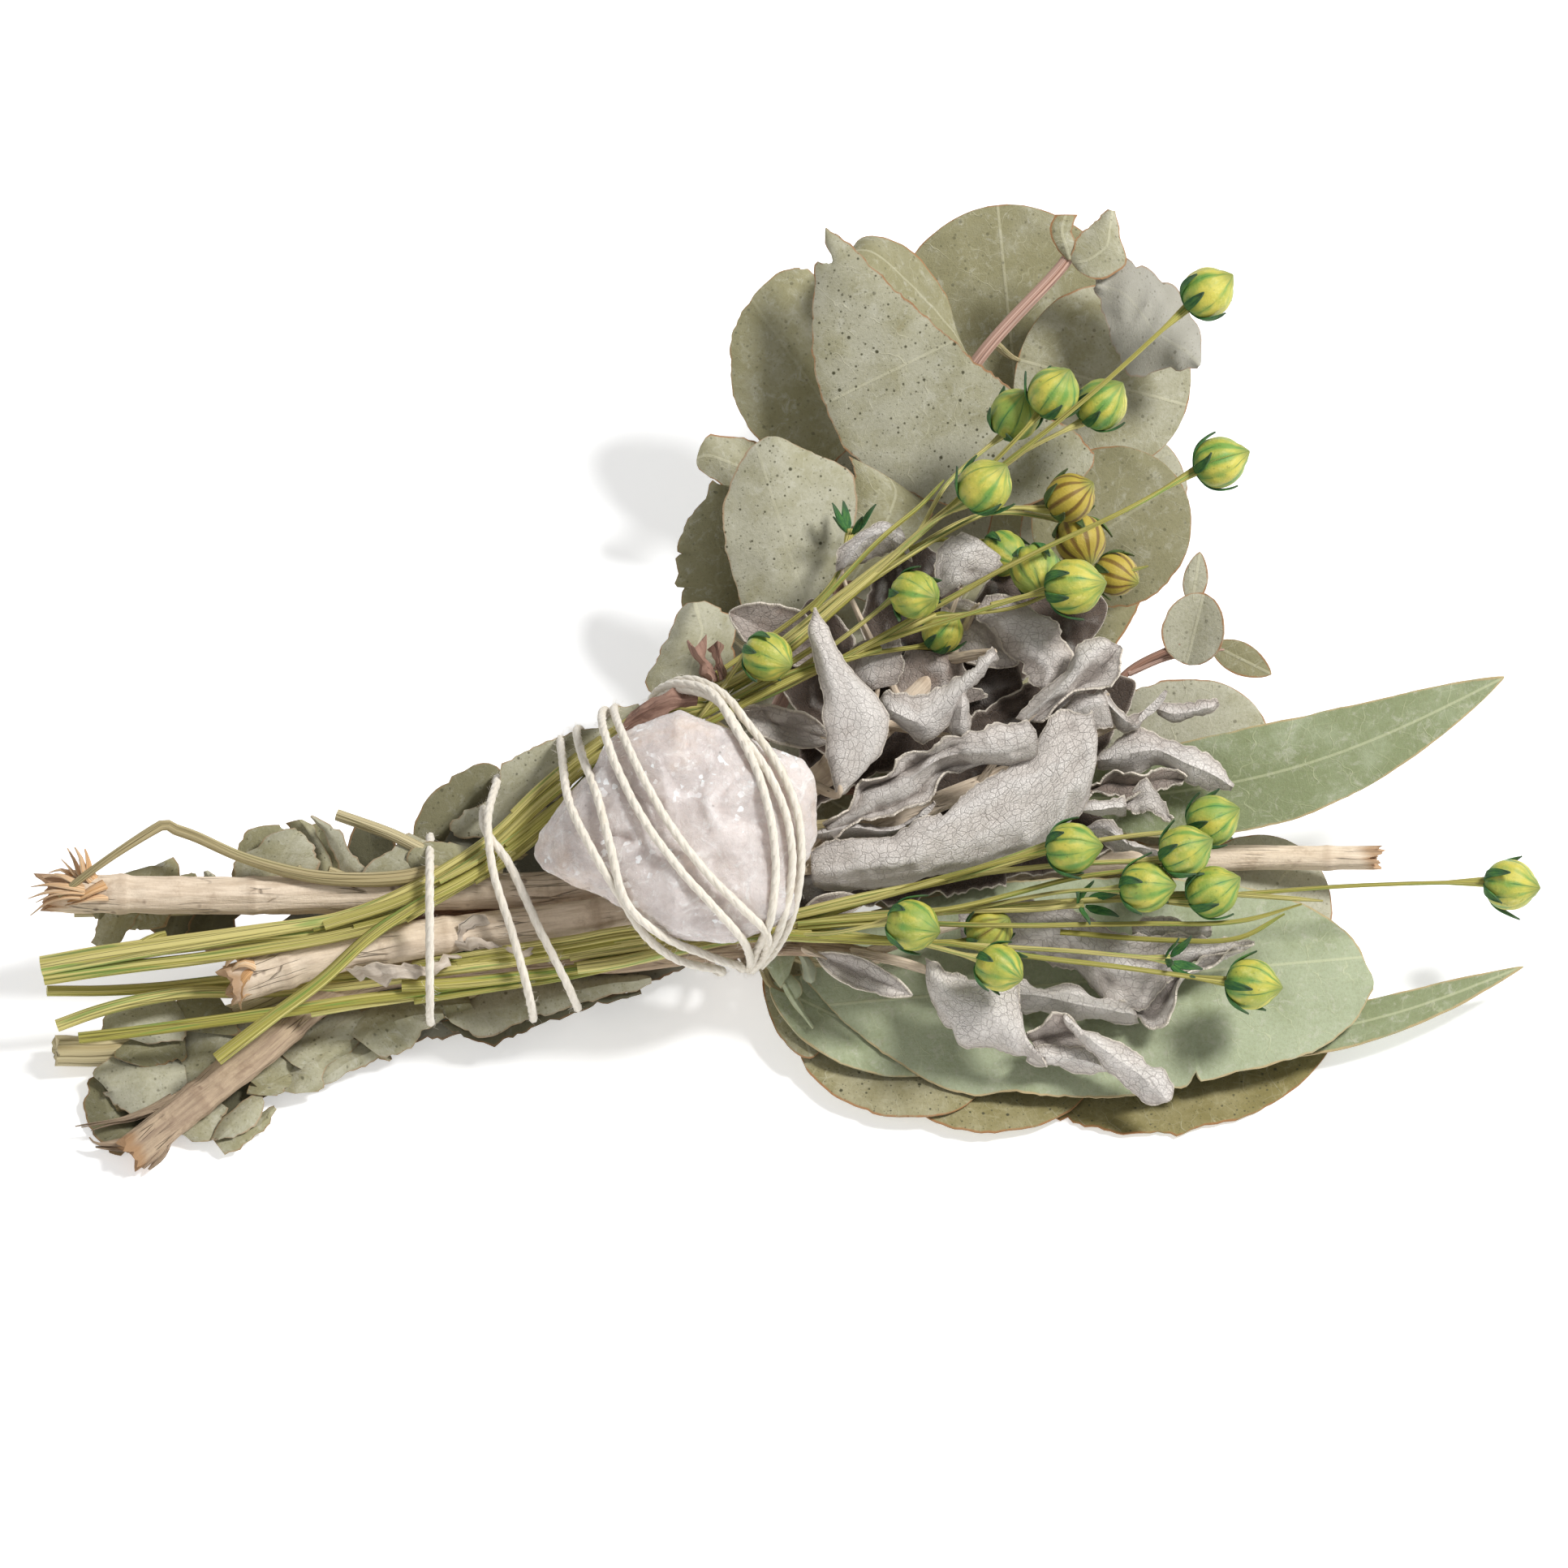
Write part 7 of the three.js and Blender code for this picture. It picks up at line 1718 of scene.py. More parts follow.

# small leaves round the handle; a high tone paints the shade on the leaves that lie under and between the
# others

handleUpper = dict(
  stems=[
    dict(points=[(-105.1, 34.8, 4.6), (-100.7, 38.2, 5), (-96, 41.5, 4.8), (-90.7, 44.8, 4),
          (-89.6, 45.3, 3.8), (-88.7, 44.7, 3.6), (-85.4, 43.5, 3.4), (-78.4, 40.4, 3.2), (-68.9, 37.8, 4.6),
          (-61.9, 37.2, 5.2), (-54.8, 37.6, 5), (-47.8, 39.5, 3.4)],
         radii=(0.5, 0.6, 0.85, 0.8, 1, 1.15, 1.1)),
    dict(points=[(-64.8, 46.6, 0.6), (-57, 43.8, 2), (-50, 40.6, 3.4), (-40.7, 39, 2.6)], radii=(0.85, 1)),
  ],
  leaves=[
    dict(lines=[
      [(-79.8, 36.5, -3), (-80.1, 39.4, -2.9), (-79.5, 41.8, -2.8), (-78.4, 44, -2.6), (-75.8, 44.9, -2.5),
       (-73.1, 44.9, -2.4)],
      [(-77.2, 36.5, -2.4), (-77.2, 40, -2.1), (-75.8, 42.4, -1.9), (-72.8, 44.6, -1.6)],
      [(-74.6, 36.7, -3), (-72.8, 40, -2.8), (-71.6, 42.4, -2.6), (-72.2, 44.4, -2.4)],
    ], tone=0.7),
    dict(lines=[
      [(-79.5, 36.7, -0.6), (-80, 38.5, -0.2), (-78.6, 40.6, 0.2), (-76.2, 42.8, 0.3), (-73.4, 44.6, 0.2),
       (-70.8, 44.6, 0)],
      [(-75.8, 36.5, 0.6), (-75.2, 39.3, 1.3), (-73.4, 41.8, 1.3), (-70.4, 44.2, 0.6)],
      [(-69.6, 36.5, -0.4), (-67.9, 38.8, -0.2), (-68.1, 41.2, 0), (-68.9, 43.1, 0), (-70.1, 44.2, 0)],
    ], start=(-70, 38.8, 3), tone=0.1, look=dict(specks=0.7)),
    dict(lines=[
      [(-69.9, 36.5, -3.4), (-70.4, 40, -3.3), (-71.1, 42.8, -3.1), (-72.2, 45.4, -3)],
      [(-67.8, 36.5, -2.6), (-67.6, 40, -2.4), (-68.2, 42.8, -2.2), (-70.4, 45.9, -2)],
      [(-65.4, 36.5, -3.6), (-65.2, 39.8, -3.5), (-66.4, 42.2, -3.3), (-68, 44.7, -3.1), (-69.9, 45.8, -3)],
    ], tone=0.3),
    dict(lines=[
      [(-59.8, 37.2, 0.4), (-63.3, 38.1, 0.2), (-65.3, 41.5, 0), (-66.8, 44.4, -0.3), (-68.6, 46.4, -0.6)],
      [(-59.1, 37.6, 1), (-61.6, 40, 0.9), (-63.4, 42.9, 0.8), (-65.4, 45.1, 0.2), (-68.5, 46.5, -0.4)],
    ], tone=-0.3, bulge=0.4),
    dict(lines=[
      [(-63.6, 37.4, -4), (-63.6, 41.8, -4), (-62.8, 44.9, -4)],
      [(-60.5, 37.4, -4.6), (-60, 41.6, -4.8), (-60.5, 45.3, -5)],
      [(-56.6, 37.4, -4), (-56.2, 41.6, -4), (-58.1, 44.9, -4)],
    ], tone=1.9),
    dict(lines=[
      [(-62.1, 36.2, 2.4), (-60, 39.3, 2.4), (-57.4, 41.8, 1.9), (-54.6, 44, 1)],
      [(-58.4, 36, 3.4), (-56, 38.4, 3.5), (-53.4, 40.5, 3.1), (-51.9, 42.8, 2)],
      [(-53.9, 36, 2.6), (-51.5, 37.6, 2.5), (-49.9, 39.8, 1.9), (-50.4, 41.8, 1)],
    ], start=(-66, 38.6, 4.4), tone=-0.1),
    dict(lines=[
      [(-23.8, 57.9, 7.6), (-20.9, 59.3, 7.9), (-17.4, 60.9, 8.3), (-12.7, 61.9, 8.6)],
      [(-23.4, 59.5, 9), (-20.2, 61.6, 9.2), (-16.7, 63.1, 9.4), (-12.5, 63.3, 9.6)],
      [(-22.6, 60.9, 7.4), (-19.5, 63.1, 7.6), (-16, 64.2, 7.8), (-12.5, 64.7, 8)],
    ], kind="bark", look=dict(finish="husk")),
    dict(lines=[
      [(-14.1, 72.2, 5), (-13.6, 69.9, 5.3), (-12.2, 67.8, 5.7), (-10.8, 65.9, 6)],
      [(-12.9, 70.8, 7.4), (-11.8, 69.2, 7.3), (-11.1, 67.5, 7.1), (-10.1, 65.9, 7)],
      [(-11.5, 72.5, 6), (-10.8, 69.9, 6), (-10.1, 68, 6), (-9.4, 65.9, 6)],
    ], kind="bark", look=dict(finish="husk")),
    dict(lines=[
      [(-11.1, 70.6, 6), (-10.4, 68.7, 6.2), (-9.9, 66.1, 6.4)],
      [(-9.6, 71.8, 7.6), (-9.4, 69.2, 7.3), (-9.3, 66.1, 7)],
      [(-8.5, 71.1, 5.6), (-8.6, 68.7, 5.8), (-8.7, 66.4, 6)],
    ], kind="bark", look=dict(finish="husk")),
    dict(lines=[
      [(-51.3, 36.7, -5), (-43.1, 35.3, -5.2), (-33.6, 36.2, -5.4), (-23.8, 40.9, -5.6)],
      [(-50.1, 41.2, -4.6), (-40.7, 42.4, -4.7), (-31.3, 43.5, -4.9), (-23.1, 46.5, -5)],
      [(-47.1, 46.4, -5.4), (-38.4, 48.8, -5.6), (-31.3, 50, -5.8), (-24.7, 51.1, -6)],
    ], tone=1.7),
  ],
)

handleUnder = dict(
  stems=[
    dict(points=[(-103, 32.6, -5.4), (-80, 33.4, -5.6), (-58, 37.6, -5), (-42, 42, -3.6), (-34, 47, -3.2)],
         radii=(0.9, 1, 0.9)),
  ],
  leaves=[
    dict(lines=[
      [(-97.4, 35.8, -3), (-97.5, 33.4, -3.5), (-99.2, 31.5, -4)],
      [(-101.9, 35.8, -3), (-101.4, 33.9, -3.5), (-99.9, 31.6, -4)],
    ], tone=1.2),
    dict(lines=[
      [(-93.6, 35.5, -3.4), (-94, 31.8, -3.8), (-95.1, 29.4, -4.2), (-96.5, 27.6, -4.6), (-98.8, 27.2, -5)],
      [(-96, 35.8, -2.6), (-96.9, 31.8, -3), (-98.4, 29.2, -3.4), (-99.6, 27.5, -3.8)],
      [(-99.5, 35.5, -3.4), (-99.6, 31.8, -3.9), (-100.2, 29.4, -4.5), (-100.4, 28, -5)],
    ], start=(-97, 33, -5.2), tone=0.5),
    dict(lines=[
      [(-89.2, 36, -4), (-89.3, 32.9, -4.7), (-90.9, 30.7, -5.3), (-93.4, 30, -6)],
      [(-93.6, 36, -3), (-93.5, 32.9, -3.8), (-93.8, 30.1, -4.6)],
      [(-98.4, 35.8, -4), (-97.8, 32.7, -4.7), (-96.2, 30.8, -5.3), (-94.1, 30, -6)],
    ], tone=0.8),
    dict(lines=[
      [(-81.6, 36, -6), (-83.5, 32.9, -6.5), (-85.1, 31.1, -7), (-86.2, 29.2, -7.5), (-88.2, 27.9, -8)],
      [(-86.6, 36, -5.4), (-87.5, 32.2, -6.2), (-89.2, 28.1, -7)],
      [(-90.7, 35.8, -6), (-91.3, 32.2, -6.7), (-91.3, 29.9, -7.3), (-90.4, 28.1, -8)],
    ], tone=1.6),
    dict(lines=[
      [(-78, 36, -5), (-78.4, 32.9, -5.2), (-79.4, 31.1, -5.5), (-79.2, 29.5, -5.8), (-80.6, 28, -6)],
      [(-81.6, 35.5, -6), (-82.7, 32.2, -6.5), (-83.6, 28.2, -7)],
      [(-84.7, 35.5, -5), (-85.4, 32, -5.3), (-87.1, 29.4, -5.7), (-87.5, 27.8, -6)],
    ], tone=2),
    dict(lines=[
      [(-96.7, 35.1, -3), (-97.2, 37.3, -3), (-96, 37.9, -3), (-94.5, 38.5, -3), (-93.9, 38, -3)],
      [(-92.8, 35.1, -2.4), (-92.8, 36.9, -2.4), (-91.6, 39.1, -2.4), (-90.1, 39.2, -2.4)],
      [(-87.5, 35.1, -3), (-87.8, 36.9, -3), (-87.6, 39.1, -3), (-88.6, 40.5, -3), (-89.3, 40.2, -3),
       (-89.1, 39.6, -3), (-89.6, 39.1, -3)],
    ], tone=0.7),
    dict(lines=[
      [(-88.5, 35.1, -4), (-88.7, 36.9, -4), (-87.5, 38, -4), (-86.4, 38.2, -4)],
      [(-85.9, 35.1, -3.4), (-85.8, 36.9, -3.5), (-85.6, 38.1, -3.6)],
      [(-82.6, 35.1, -4), (-83.9, 36.6, -4), (-84.6, 37.6, -4), (-85.5, 38.1, -4)],
    ], tone=0.6),
    dict(lines=[
      [(-83.5, 35.1, -3), (-83.6, 36.9, -2.8), (-83.9, 38.4, -2.6)],
      [(-79.8, 35.1, -3), (-81.1, 36.8, -2.8), (-83.6, 38.4, -2.6)],
    ], tone=-0.3),
    dict(base=(-68, 35.6, -5.2), tip=(-67.4, 45.4, -6), width=8, foldRight=30, tone=0.8),
    dict(base=(-53, 41, -6.4), tip=(-41.4, 53.4, -8), width=9, foldRight=-40, start=(-57, 37.6, -5),
         tone=1.3),
    dict(lines=[
      [(-48.2, 44.2, -4), (-47.5, 45.8, -3.6), (-44.5, 47.9, -3.2), (-42.4, 49.9, -2.9), (-41.1, 52.7, -2.5),
       (-38.4, 55.8, -2.4), (-35.1, 57.1, -2.2), (-31.3, 58.2, -2.1), (-27.8, 59.3, -1.8),
       (-25.6, 61.2, -1.5), (-23.6, 62.6, -1.3), (-21.2, 62.8, -1)],
      [(-47.8, 43.9, -3.6), (-43.1, 46.8, -2.7), (-38.4, 50.4, -1.8), (-33.6, 53.4, -1.3),
       (-28.9, 56.5, -0.8), (-24.8, 59.4, -0.6), (-20.9, 62.4, -0.4)],
      [(-47.8, 43.5, -4), (-44.8, 43.3, -3.6), (-41.5, 43.8, -3.2), (-38.2, 45.5, -2.9), (-34.1, 48.2, -2.7),
       (-30, 51.8, -2.5), (-25.9, 55.3, -2.2), (-22.4, 58.8, -1.9), (-20.6, 62, -1.6)],
    ], vein=((-47.8, 43.9), (-21.2, 62.4)), tone=-0.1, look=dict(specks=0.8)),
    dict(lines=[
      [(-54.8, 37.6, 2.6), (-55.1, 39.6, 3.2), (-54.6, 41.2, 3.7), (-53.4, 42.4, 3.9), (-49.5, 42.7, 3.6),
       (-45.9, 41.8, 3.4)],
      [(-50.1, 37.2, 3.6), (-49.4, 38.9, 4.5), (-47.6, 40.4, 4.7), (-44.7, 41.2, 4)],
      [(-44, 37.4, 3), (-42.8, 38.9, 3.7), (-42.9, 40.5, 3.9), (-44, 41.2, 3.6)],
    ], tone=0.3, look=dict(wrinkle=0.6, wrinkleSize=5)),
    dict(lines=[
      [(-79.2, 25.9, -12), (-72.5, 21.6, -8.7), (-63.1, 23.3, -9.5), (-53.9, 29.2, -13.1)],
      [(-79.3, 26.4, -11.1), (-71.3, 27.3, -11.3), (-63.1, 29.2, -12.4), (-53.8, 29.9, -12.9)],
      [(-78.9, 27.1, -12.8), (-72.5, 31.5, -15.5), (-63.1, 34.4, -16.9), (-54.1, 30.6, -13.6)],
    ], tone=1.9),
    dict(lines=[
      [(-61.9, 27.5, -12), (-51.3, 24.9, -9.8), (-40.7, 27.1, -10.9), (-30.6, 32.5, -14.2)],
      [(-61.9, 28.2, -11.7), (-50.1, 30.6, -12.7), (-40.7, 32.5, -13.6), (-30.4, 33.2, -14)],
      [(-61.5, 29.2, -13.1), (-51.3, 35.8, -17.2), (-40.7, 37.9, -18.1), (-30.9, 33.9, -14.7)],
    ], tone=1.6),
    dict(lines=[
      [(-38.4, 31.8, -13.7), (-28.9, 28.5, -11.1), (-17.2, 30.1, -11.8), (-6.6, 36.5, -15.8)],
      [(-38.4, 32.5, -13.5), (-28.9, 33.9, -14.1), (-17.2, 35.5, -14.9), (-6.4, 36.9, -15.6)],
      [(-37.9, 33.2, -14.7), (-28.9, 39.1, -18.5), (-17.2, 40.9, -19.4), (-6.8, 37.6, -16.6)],
    ], tone=1.9),
    dict(lines=[
      [(-63.3, 18.1, -9.5), (-54.8, 13.6, -6.1), (-44.2, 16.2, -7.1), (-35.5, 21.6, -9.5)],
      [(-63.4, 18.8, -8.3), (-53.6, 19.3, -8.3), (-44.2, 21.2, -9.2), (-35.3, 22.4, -9.5)],
      [(-63.1, 19.5, -9.8), (-54.8, 24, -12.2), (-44.2, 25.9, -12.9), (-35.8, 23.1, -10.3)],
    ], tone=1.3),
    dict(lines=[
      [(-41.9, 20.7, -9.6), (-31.3, 19.5, -8.3), (-19.5, 22.1, -9.5), (-8.9, 27.1, -12.4)],
      [(-42, 21.4, -8.9), (-31.3, 24, -10.2), (-19.5, 25.9, -11.1), (-8.7, 27.8, -12.1)],
      [(-41.6, 22.4, -10.3), (-31.3, 28, -13.7), (-19.5, 29.4, -14.2), (-9.2, 28.5, -13.1)],
    ], tone=1.6),
  ],
)

handleLow = dict(
  stems=[
    dict(points=[(-97, 4, -0.4), (-84, 8.6, -4), (-68, 15, -7.4), (-50, 20.4, -8), (-28, 21, -6.4)],
         radii=(0.9, 1, 0.9)),
  ],
  leaves=[
    dict(lines=[
      [(-99.4, 15.3, -3.4), (-98.4, 17.4, -4.3), (-96, 19.5, -5.1), (-91.3, 20.7, -6.2), (-88.6, 20, -5.9)],
      [(-96, 14.5, -2.1), (-93.6, 16.1, -2.1), (-90.7, 17.8, -3.1), (-87.4, 18.1, -4.1)],
      [(-91.9, 13.3, -2.5), (-88.8, 14, -2.2), (-86.7, 15.4, -2.8), (-86.9, 17.5, -4.5)],
    ], tone=-0.4),
    dict(lines=[
      [(-89.6, 16, -3.9), (-89.1, 18.7, -5.2), (-86.8, 20.2, -5.6), (-83.3, 20.8, -6.3), (-82, 20.1, -6)],
      [(-85.4, 15.1, -2.7), (-83.5, 17.5, -3.2), (-81.1, 18.8, -5.1)],
      [(-79.3, 14.5, -3.5), (-79.1, 16.4, -3.6), (-80, 18.2, -5.4)],
    ], tone=1),
    dict(lines=[
      [(-87.2, 5.6, -1), (-87.6, 10.5, -3.1), (-86.9, 14.6, -5.1), (-84.9, 16.4, -5.8)],
      [(-84.2, 7.1, -1.3), (-83.2, 11.6, -2.3), (-81.8, 15.5, -4.3)],
      [(-81.3, 9.4, -3.7), (-79.1, 12.9, -4.8), (-76.9, 16.2, -6.1), (-78.1, 17.8, -6.3)],
    ], tone=0.1),
    dict(lines=[
      [(-97.4, 11.5, -2.5), (-96, 13.5, -3.7), (-92.5, 14.5, -4.2), (-86.8, 14.9, -4.4)],
      [(-95.1, 10.7, -0.9), (-92.5, 12, -1.8), (-86.8, 12.9, -2.5)],
      [(-92.7, 9.9, -1.3), (-89.5, 10.7, -1.9), (-86.5, 11.2, -2.2)],
    ], tone=1.1),
    dict(lines=[
      [(-98.6, 7.4, -1.5), (-100.5, 9.2, -2.5), (-98.6, 11.1, -3.5), (-94.8, 11.9, -4), (-90.1, 12.1, -4.2),
       (-87.1, 11.3, -3.8)],
      [(-97.9, 6.4, 0.4), (-94.8, 7.6, 0.7), (-90.7, 8.2, 0.3), (-86.6, 8.2, -0.9)],
      [(-98.8, 6.4, -1.3), (-96.9, 4, 0.8), (-94.2, 2.7, 2.1), (-90.7, 2.7, 2.1), (-87.9, 4.6, 0.4),
       (-86.4, 7.1, -1.8)],
    ], vein=((-98.4, 7.1), (-87.2, 9.2)), tone=-0.4, look=dict(nibble=0.4, specks=0.6)),
    dict(lines=[
      [(-95.8, -2.5, 2.8), (-98.9, -0.7, 1.7), (-100.9, 1.8, 0.2), (-101.1, 4.7, -1.7), (-100.4, 7.5, -3.5),
       (-99.3, 8.8, -4.2)],
      [(-94.1, -0.7, 2.4), (-97.1, 1.6, 1.3), (-98.2, 4.6, -0.4), (-98.2, 7.5, -2.3)],
      [(-91.6, 0.5, 0.9), (-94, 2.8, -0.4), (-95.9, 5.8, -2.2), (-97.1, 7.5, -3.3)],
    ], tone=1.3),
    dict(lines=[
      [(-82.8, -0.4, 3.4), (-81.6, 2.4, 1.9), (-79.5, 4.5, 0.8), (-76.9, 5.9, -0.3), (-75.6, 5.6, -0.3)],
      [(-81.9, -0.4, 4.2), (-79.5, 1.6, 3.6), (-77.1, 3.6, 2.2), (-75.5, 5.2, 0.5)],
      [(-82.8, -0.6, 3.3), (-80.1, -0.6, 3.6), (-77.3, 1.1, 2.7), (-75.9, 3.4, 1.2), (-75.4, 4.8, 0.3)],
    ], tone=0, look=dict(nibble=0.35)),
    dict(lines=[
      [(-82.8, -0.4, 2), (-80.1, 1.1, 1.1), (-76.6, 3.4, -0.4), (-73.9, 4.4, -0.9)],
      [(-81.9, -1.5, 3.3), (-79.2, -0.1, 2.8), (-76.1, 1.6, 1.6), (-73.8, 4.1, -0.4)],
      [(-80.9, -2.9, 3.2), (-77.9, -1.5, 2.4), (-75.3, 1.1, 0.9), (-73.6, 3.9, -0.8)],
    ], tone=0.5),
    dict(lines=[
      [(-73.2, 6.7, -1), (-71.9, 9.3, -2.4), (-69.5, 12.2, -4.1), (-66.6, 15.1, -5.7)],
      [(-70.8, 6.2, 0), (-68.8, 9.3, -1), (-66.5, 11.6, -2.1), (-64, 14.4, -3.9)],
      [(-68.4, 6.4, -1), (-66.5, 7.5, -1.4), (-66.9, 9.2, -2), (-64.1, 11.6, -3.5), (-61.5, 13.8, -4.8)],
    ], tone=0.2, look=dict(nibble=0.5, wrinkle=0.6, wrinkleSize=5)),
    dict(lines=[
      [(-78.6, 6.2, -0.9), (-76, 8.1, -2.1), (-72.9, 9.3, -2.8)],
      [(-76.2, 5.9, 0), (-74.1, 7.3, -0.8), (-71.3, 8.6, -1.6)],
      [(-73.6, 5.9, -0.7), (-71.8, 6.7, -1.2), (-69.9, 8, -1.9)],
    ], tone=0.5),
    dict(lines=[
      [(-69.6, 7.1, -1.8), (-66.6, 10.7, -3.8), (-62.5, 13.2, -5.4), (-58.1, 14.1, -6.2)],
      [(-68.8, 6.8, -1.1), (-65.3, 9.3, -2), (-61.2, 11.6, -3.5), (-57.5, 13.1, -5)],
      [(-69.4, 6.7, -2), (-65.9, 8.1, -2.7), (-61.8, 10.2, -4), (-57.9, 12.1, -5.3)],
    ], tone=-0.1),
    dict(lines=[
      [(-59.3, 14, -5.7), (-57.8, 12.9, -5.3), (-56.9, 11.1, -4.3)],
      [(-60.8, 13.1, -5.5), (-59.1, 11.8, -4.8), (-57.2, 10.9, -4.5)],
    ], tone=0.4, bulge=0.3),
    dict(lines=[
      [(-63.5, 15.1, -4.4), (-61.9, 17.6, -5.3), (-58.4, 19.4, -5.5), (-53.6, 19.9, -6),
       (-50.1, 18.8, -5.4)],
      [(-60.9, 13.3, -2), (-57.2, 16.2, -2.4), (-53.5, 17.4, -2.8), (-49.5, 17.8, -3.9)],
      [(-58.6, 11.6, -3.3), (-54.8, 12.8, -3.6), (-51.6, 15.6, -5.2), (-49.3, 17.1, -5.8)],
    ], tone=0.4, look=dict(nibble=0.5, wrinkle=0.8, wrinkleSize=4.5)),
    dict(lines=[
      [(-49.8, 17.8, -5.1), (-45.4, 20, -5.9), (-40.7, 21.9, -6.4), (-33.6, 23.1, -6.8), (-26.6, 23.4, -6.8),
       (-20.5, 23.2, -6.5)],
      [(-48.6, 16.9, -3.8), (-43.1, 18.1, -3.7), (-37.2, 19.2, -3.6), (-31.3, 20.7, -4.2), (-25.4, 22, -5),
       (-19.3, 22.9, -5.6)],
      [(-48, 16.1, -4.7), (-44.2, 14.2, -2.9), (-38.4, 16.1, -3.7), (-32.5, 18.4, -4.8), (-26.6, 20.2, -5.6),
       (-19.3, 22.1, -6.5)],
    ], vein=((-49.2, 16.9), (-19.5, 22.8)), tone=-0.1, look=dict(nibble=0.4)),
    dict(lines=[
      [(-50.1, 17.2, -5.9), (-44.2, 16, -4.5), (-38.4, 17.4, -4.9), (-31.3, 19.3, -5.8),
       (-20.9, 21.3, -6.9)],
      [(-48.9, 15.8, -6.2), (-44.2, 13.2, -3.7), (-37.8, 15.4, -4.7), (-31.3, 17.9, -5.8),
       (-20.7, 20.8, -7.3)],
    ], tone=1.9, bulge=0.3, look=dict(nibble=0.6)),
    dict(lines=[
      [(-88.6, 1.4, 1.5), (-86.8, 2.6, 0.8), (-84.2, 4, 0), (-82.1, 5.2, -0.7)],
      [(-87.3, 0.4, 2.9), (-85.2, 1.5, 2.3), (-82.8, 3.1, 1.4), (-81.2, 4.5, 0.5)],
      [(-85.9, -0.6, 2.4), (-84, -0.9, 2.9), (-82.4, 0, 2.4), (-81.4, 2.6, 0.8), (-80.7, 4.2, -0.3)],
    ], tone=0.1),
    dict(lines=[
      [(-78.8, 9.2, -2.8), (-76.2, 10.8, -3.7), (-73.1, 12, -4.3)],
      [(-77.2, 7.8, -0.8), (-74.6, 9.2, -1.4), (-71.1, 11.2, -2.5)],
      [(-75.1, 6.2, -0.9), (-72.5, 6.9, -1.1), (-70.4, 10.4, -3.1)],
    ], tone=0.3),
    dict(lines=[
      [(-73.1, 12, -3.5), (-69.5, 15.5, -5.4), (-65.4, 17.9, -6.5), (-61.9, 18.8, -6.6)],
      [(-71.3, 10.4, -1.1), (-67.5, 13.2, -2.5), (-63.8, 16, -3.8), (-60.9, 17.4, -4.1)],
      [(-68.9, 9.2, -1.5), (-65.4, 11.5, -2.8), (-62.1, 14.1, -4.2), (-60, 16.2, -5.3)],
    ], tone=0.2, look=dict(nibble=0.5)),
    dict(lines=[
      [(-99.5, 8, -3.6), (-87.8, 15.1, -8.1), (-74.8, 18.6, -10.1), (-60.7, 20.4, -11), (-49.5, 19.1, -9.7)],
      [(-99.8, 3.3, -0.8), (-86.6, 8, -3.6), (-73.6, 11.8, -5.8), (-60.7, 15.1, -7.5), (-49.2, 17.6, -8.7)],
      [(-96.2, 0, 1), (-84.2, 0.7, 0.8), (-73.6, 6.6, -2.9), (-60.7, 12.7, -6.6), (-48.9, 16.7, -8.8)],
    ], tone=2.2),
    dict(lines=[
      [(-58.4, 18.8, -6.6), (-54.8, 20.5, -7.3), (-50.1, 20.9, -7.1), (-46, 20.5, -6.3)],
      [(-57.4, 17.2, -4.2), (-53.6, 18.6, -4.7), (-49.2, 18.8, -4.4), (-45.4, 19.1, -4.1)],
      [(-56.5, 15.3, -4.8), (-52.5, 16.2, -5), (-48.2, 16.9, -5), (-44.7, 17.6, -5)],
    ], tone=0.7, look=dict(nibble=0.5)),
  ],
)

# flax: a pod leaves its stalk at a share of the stalk's length and ends at its own place

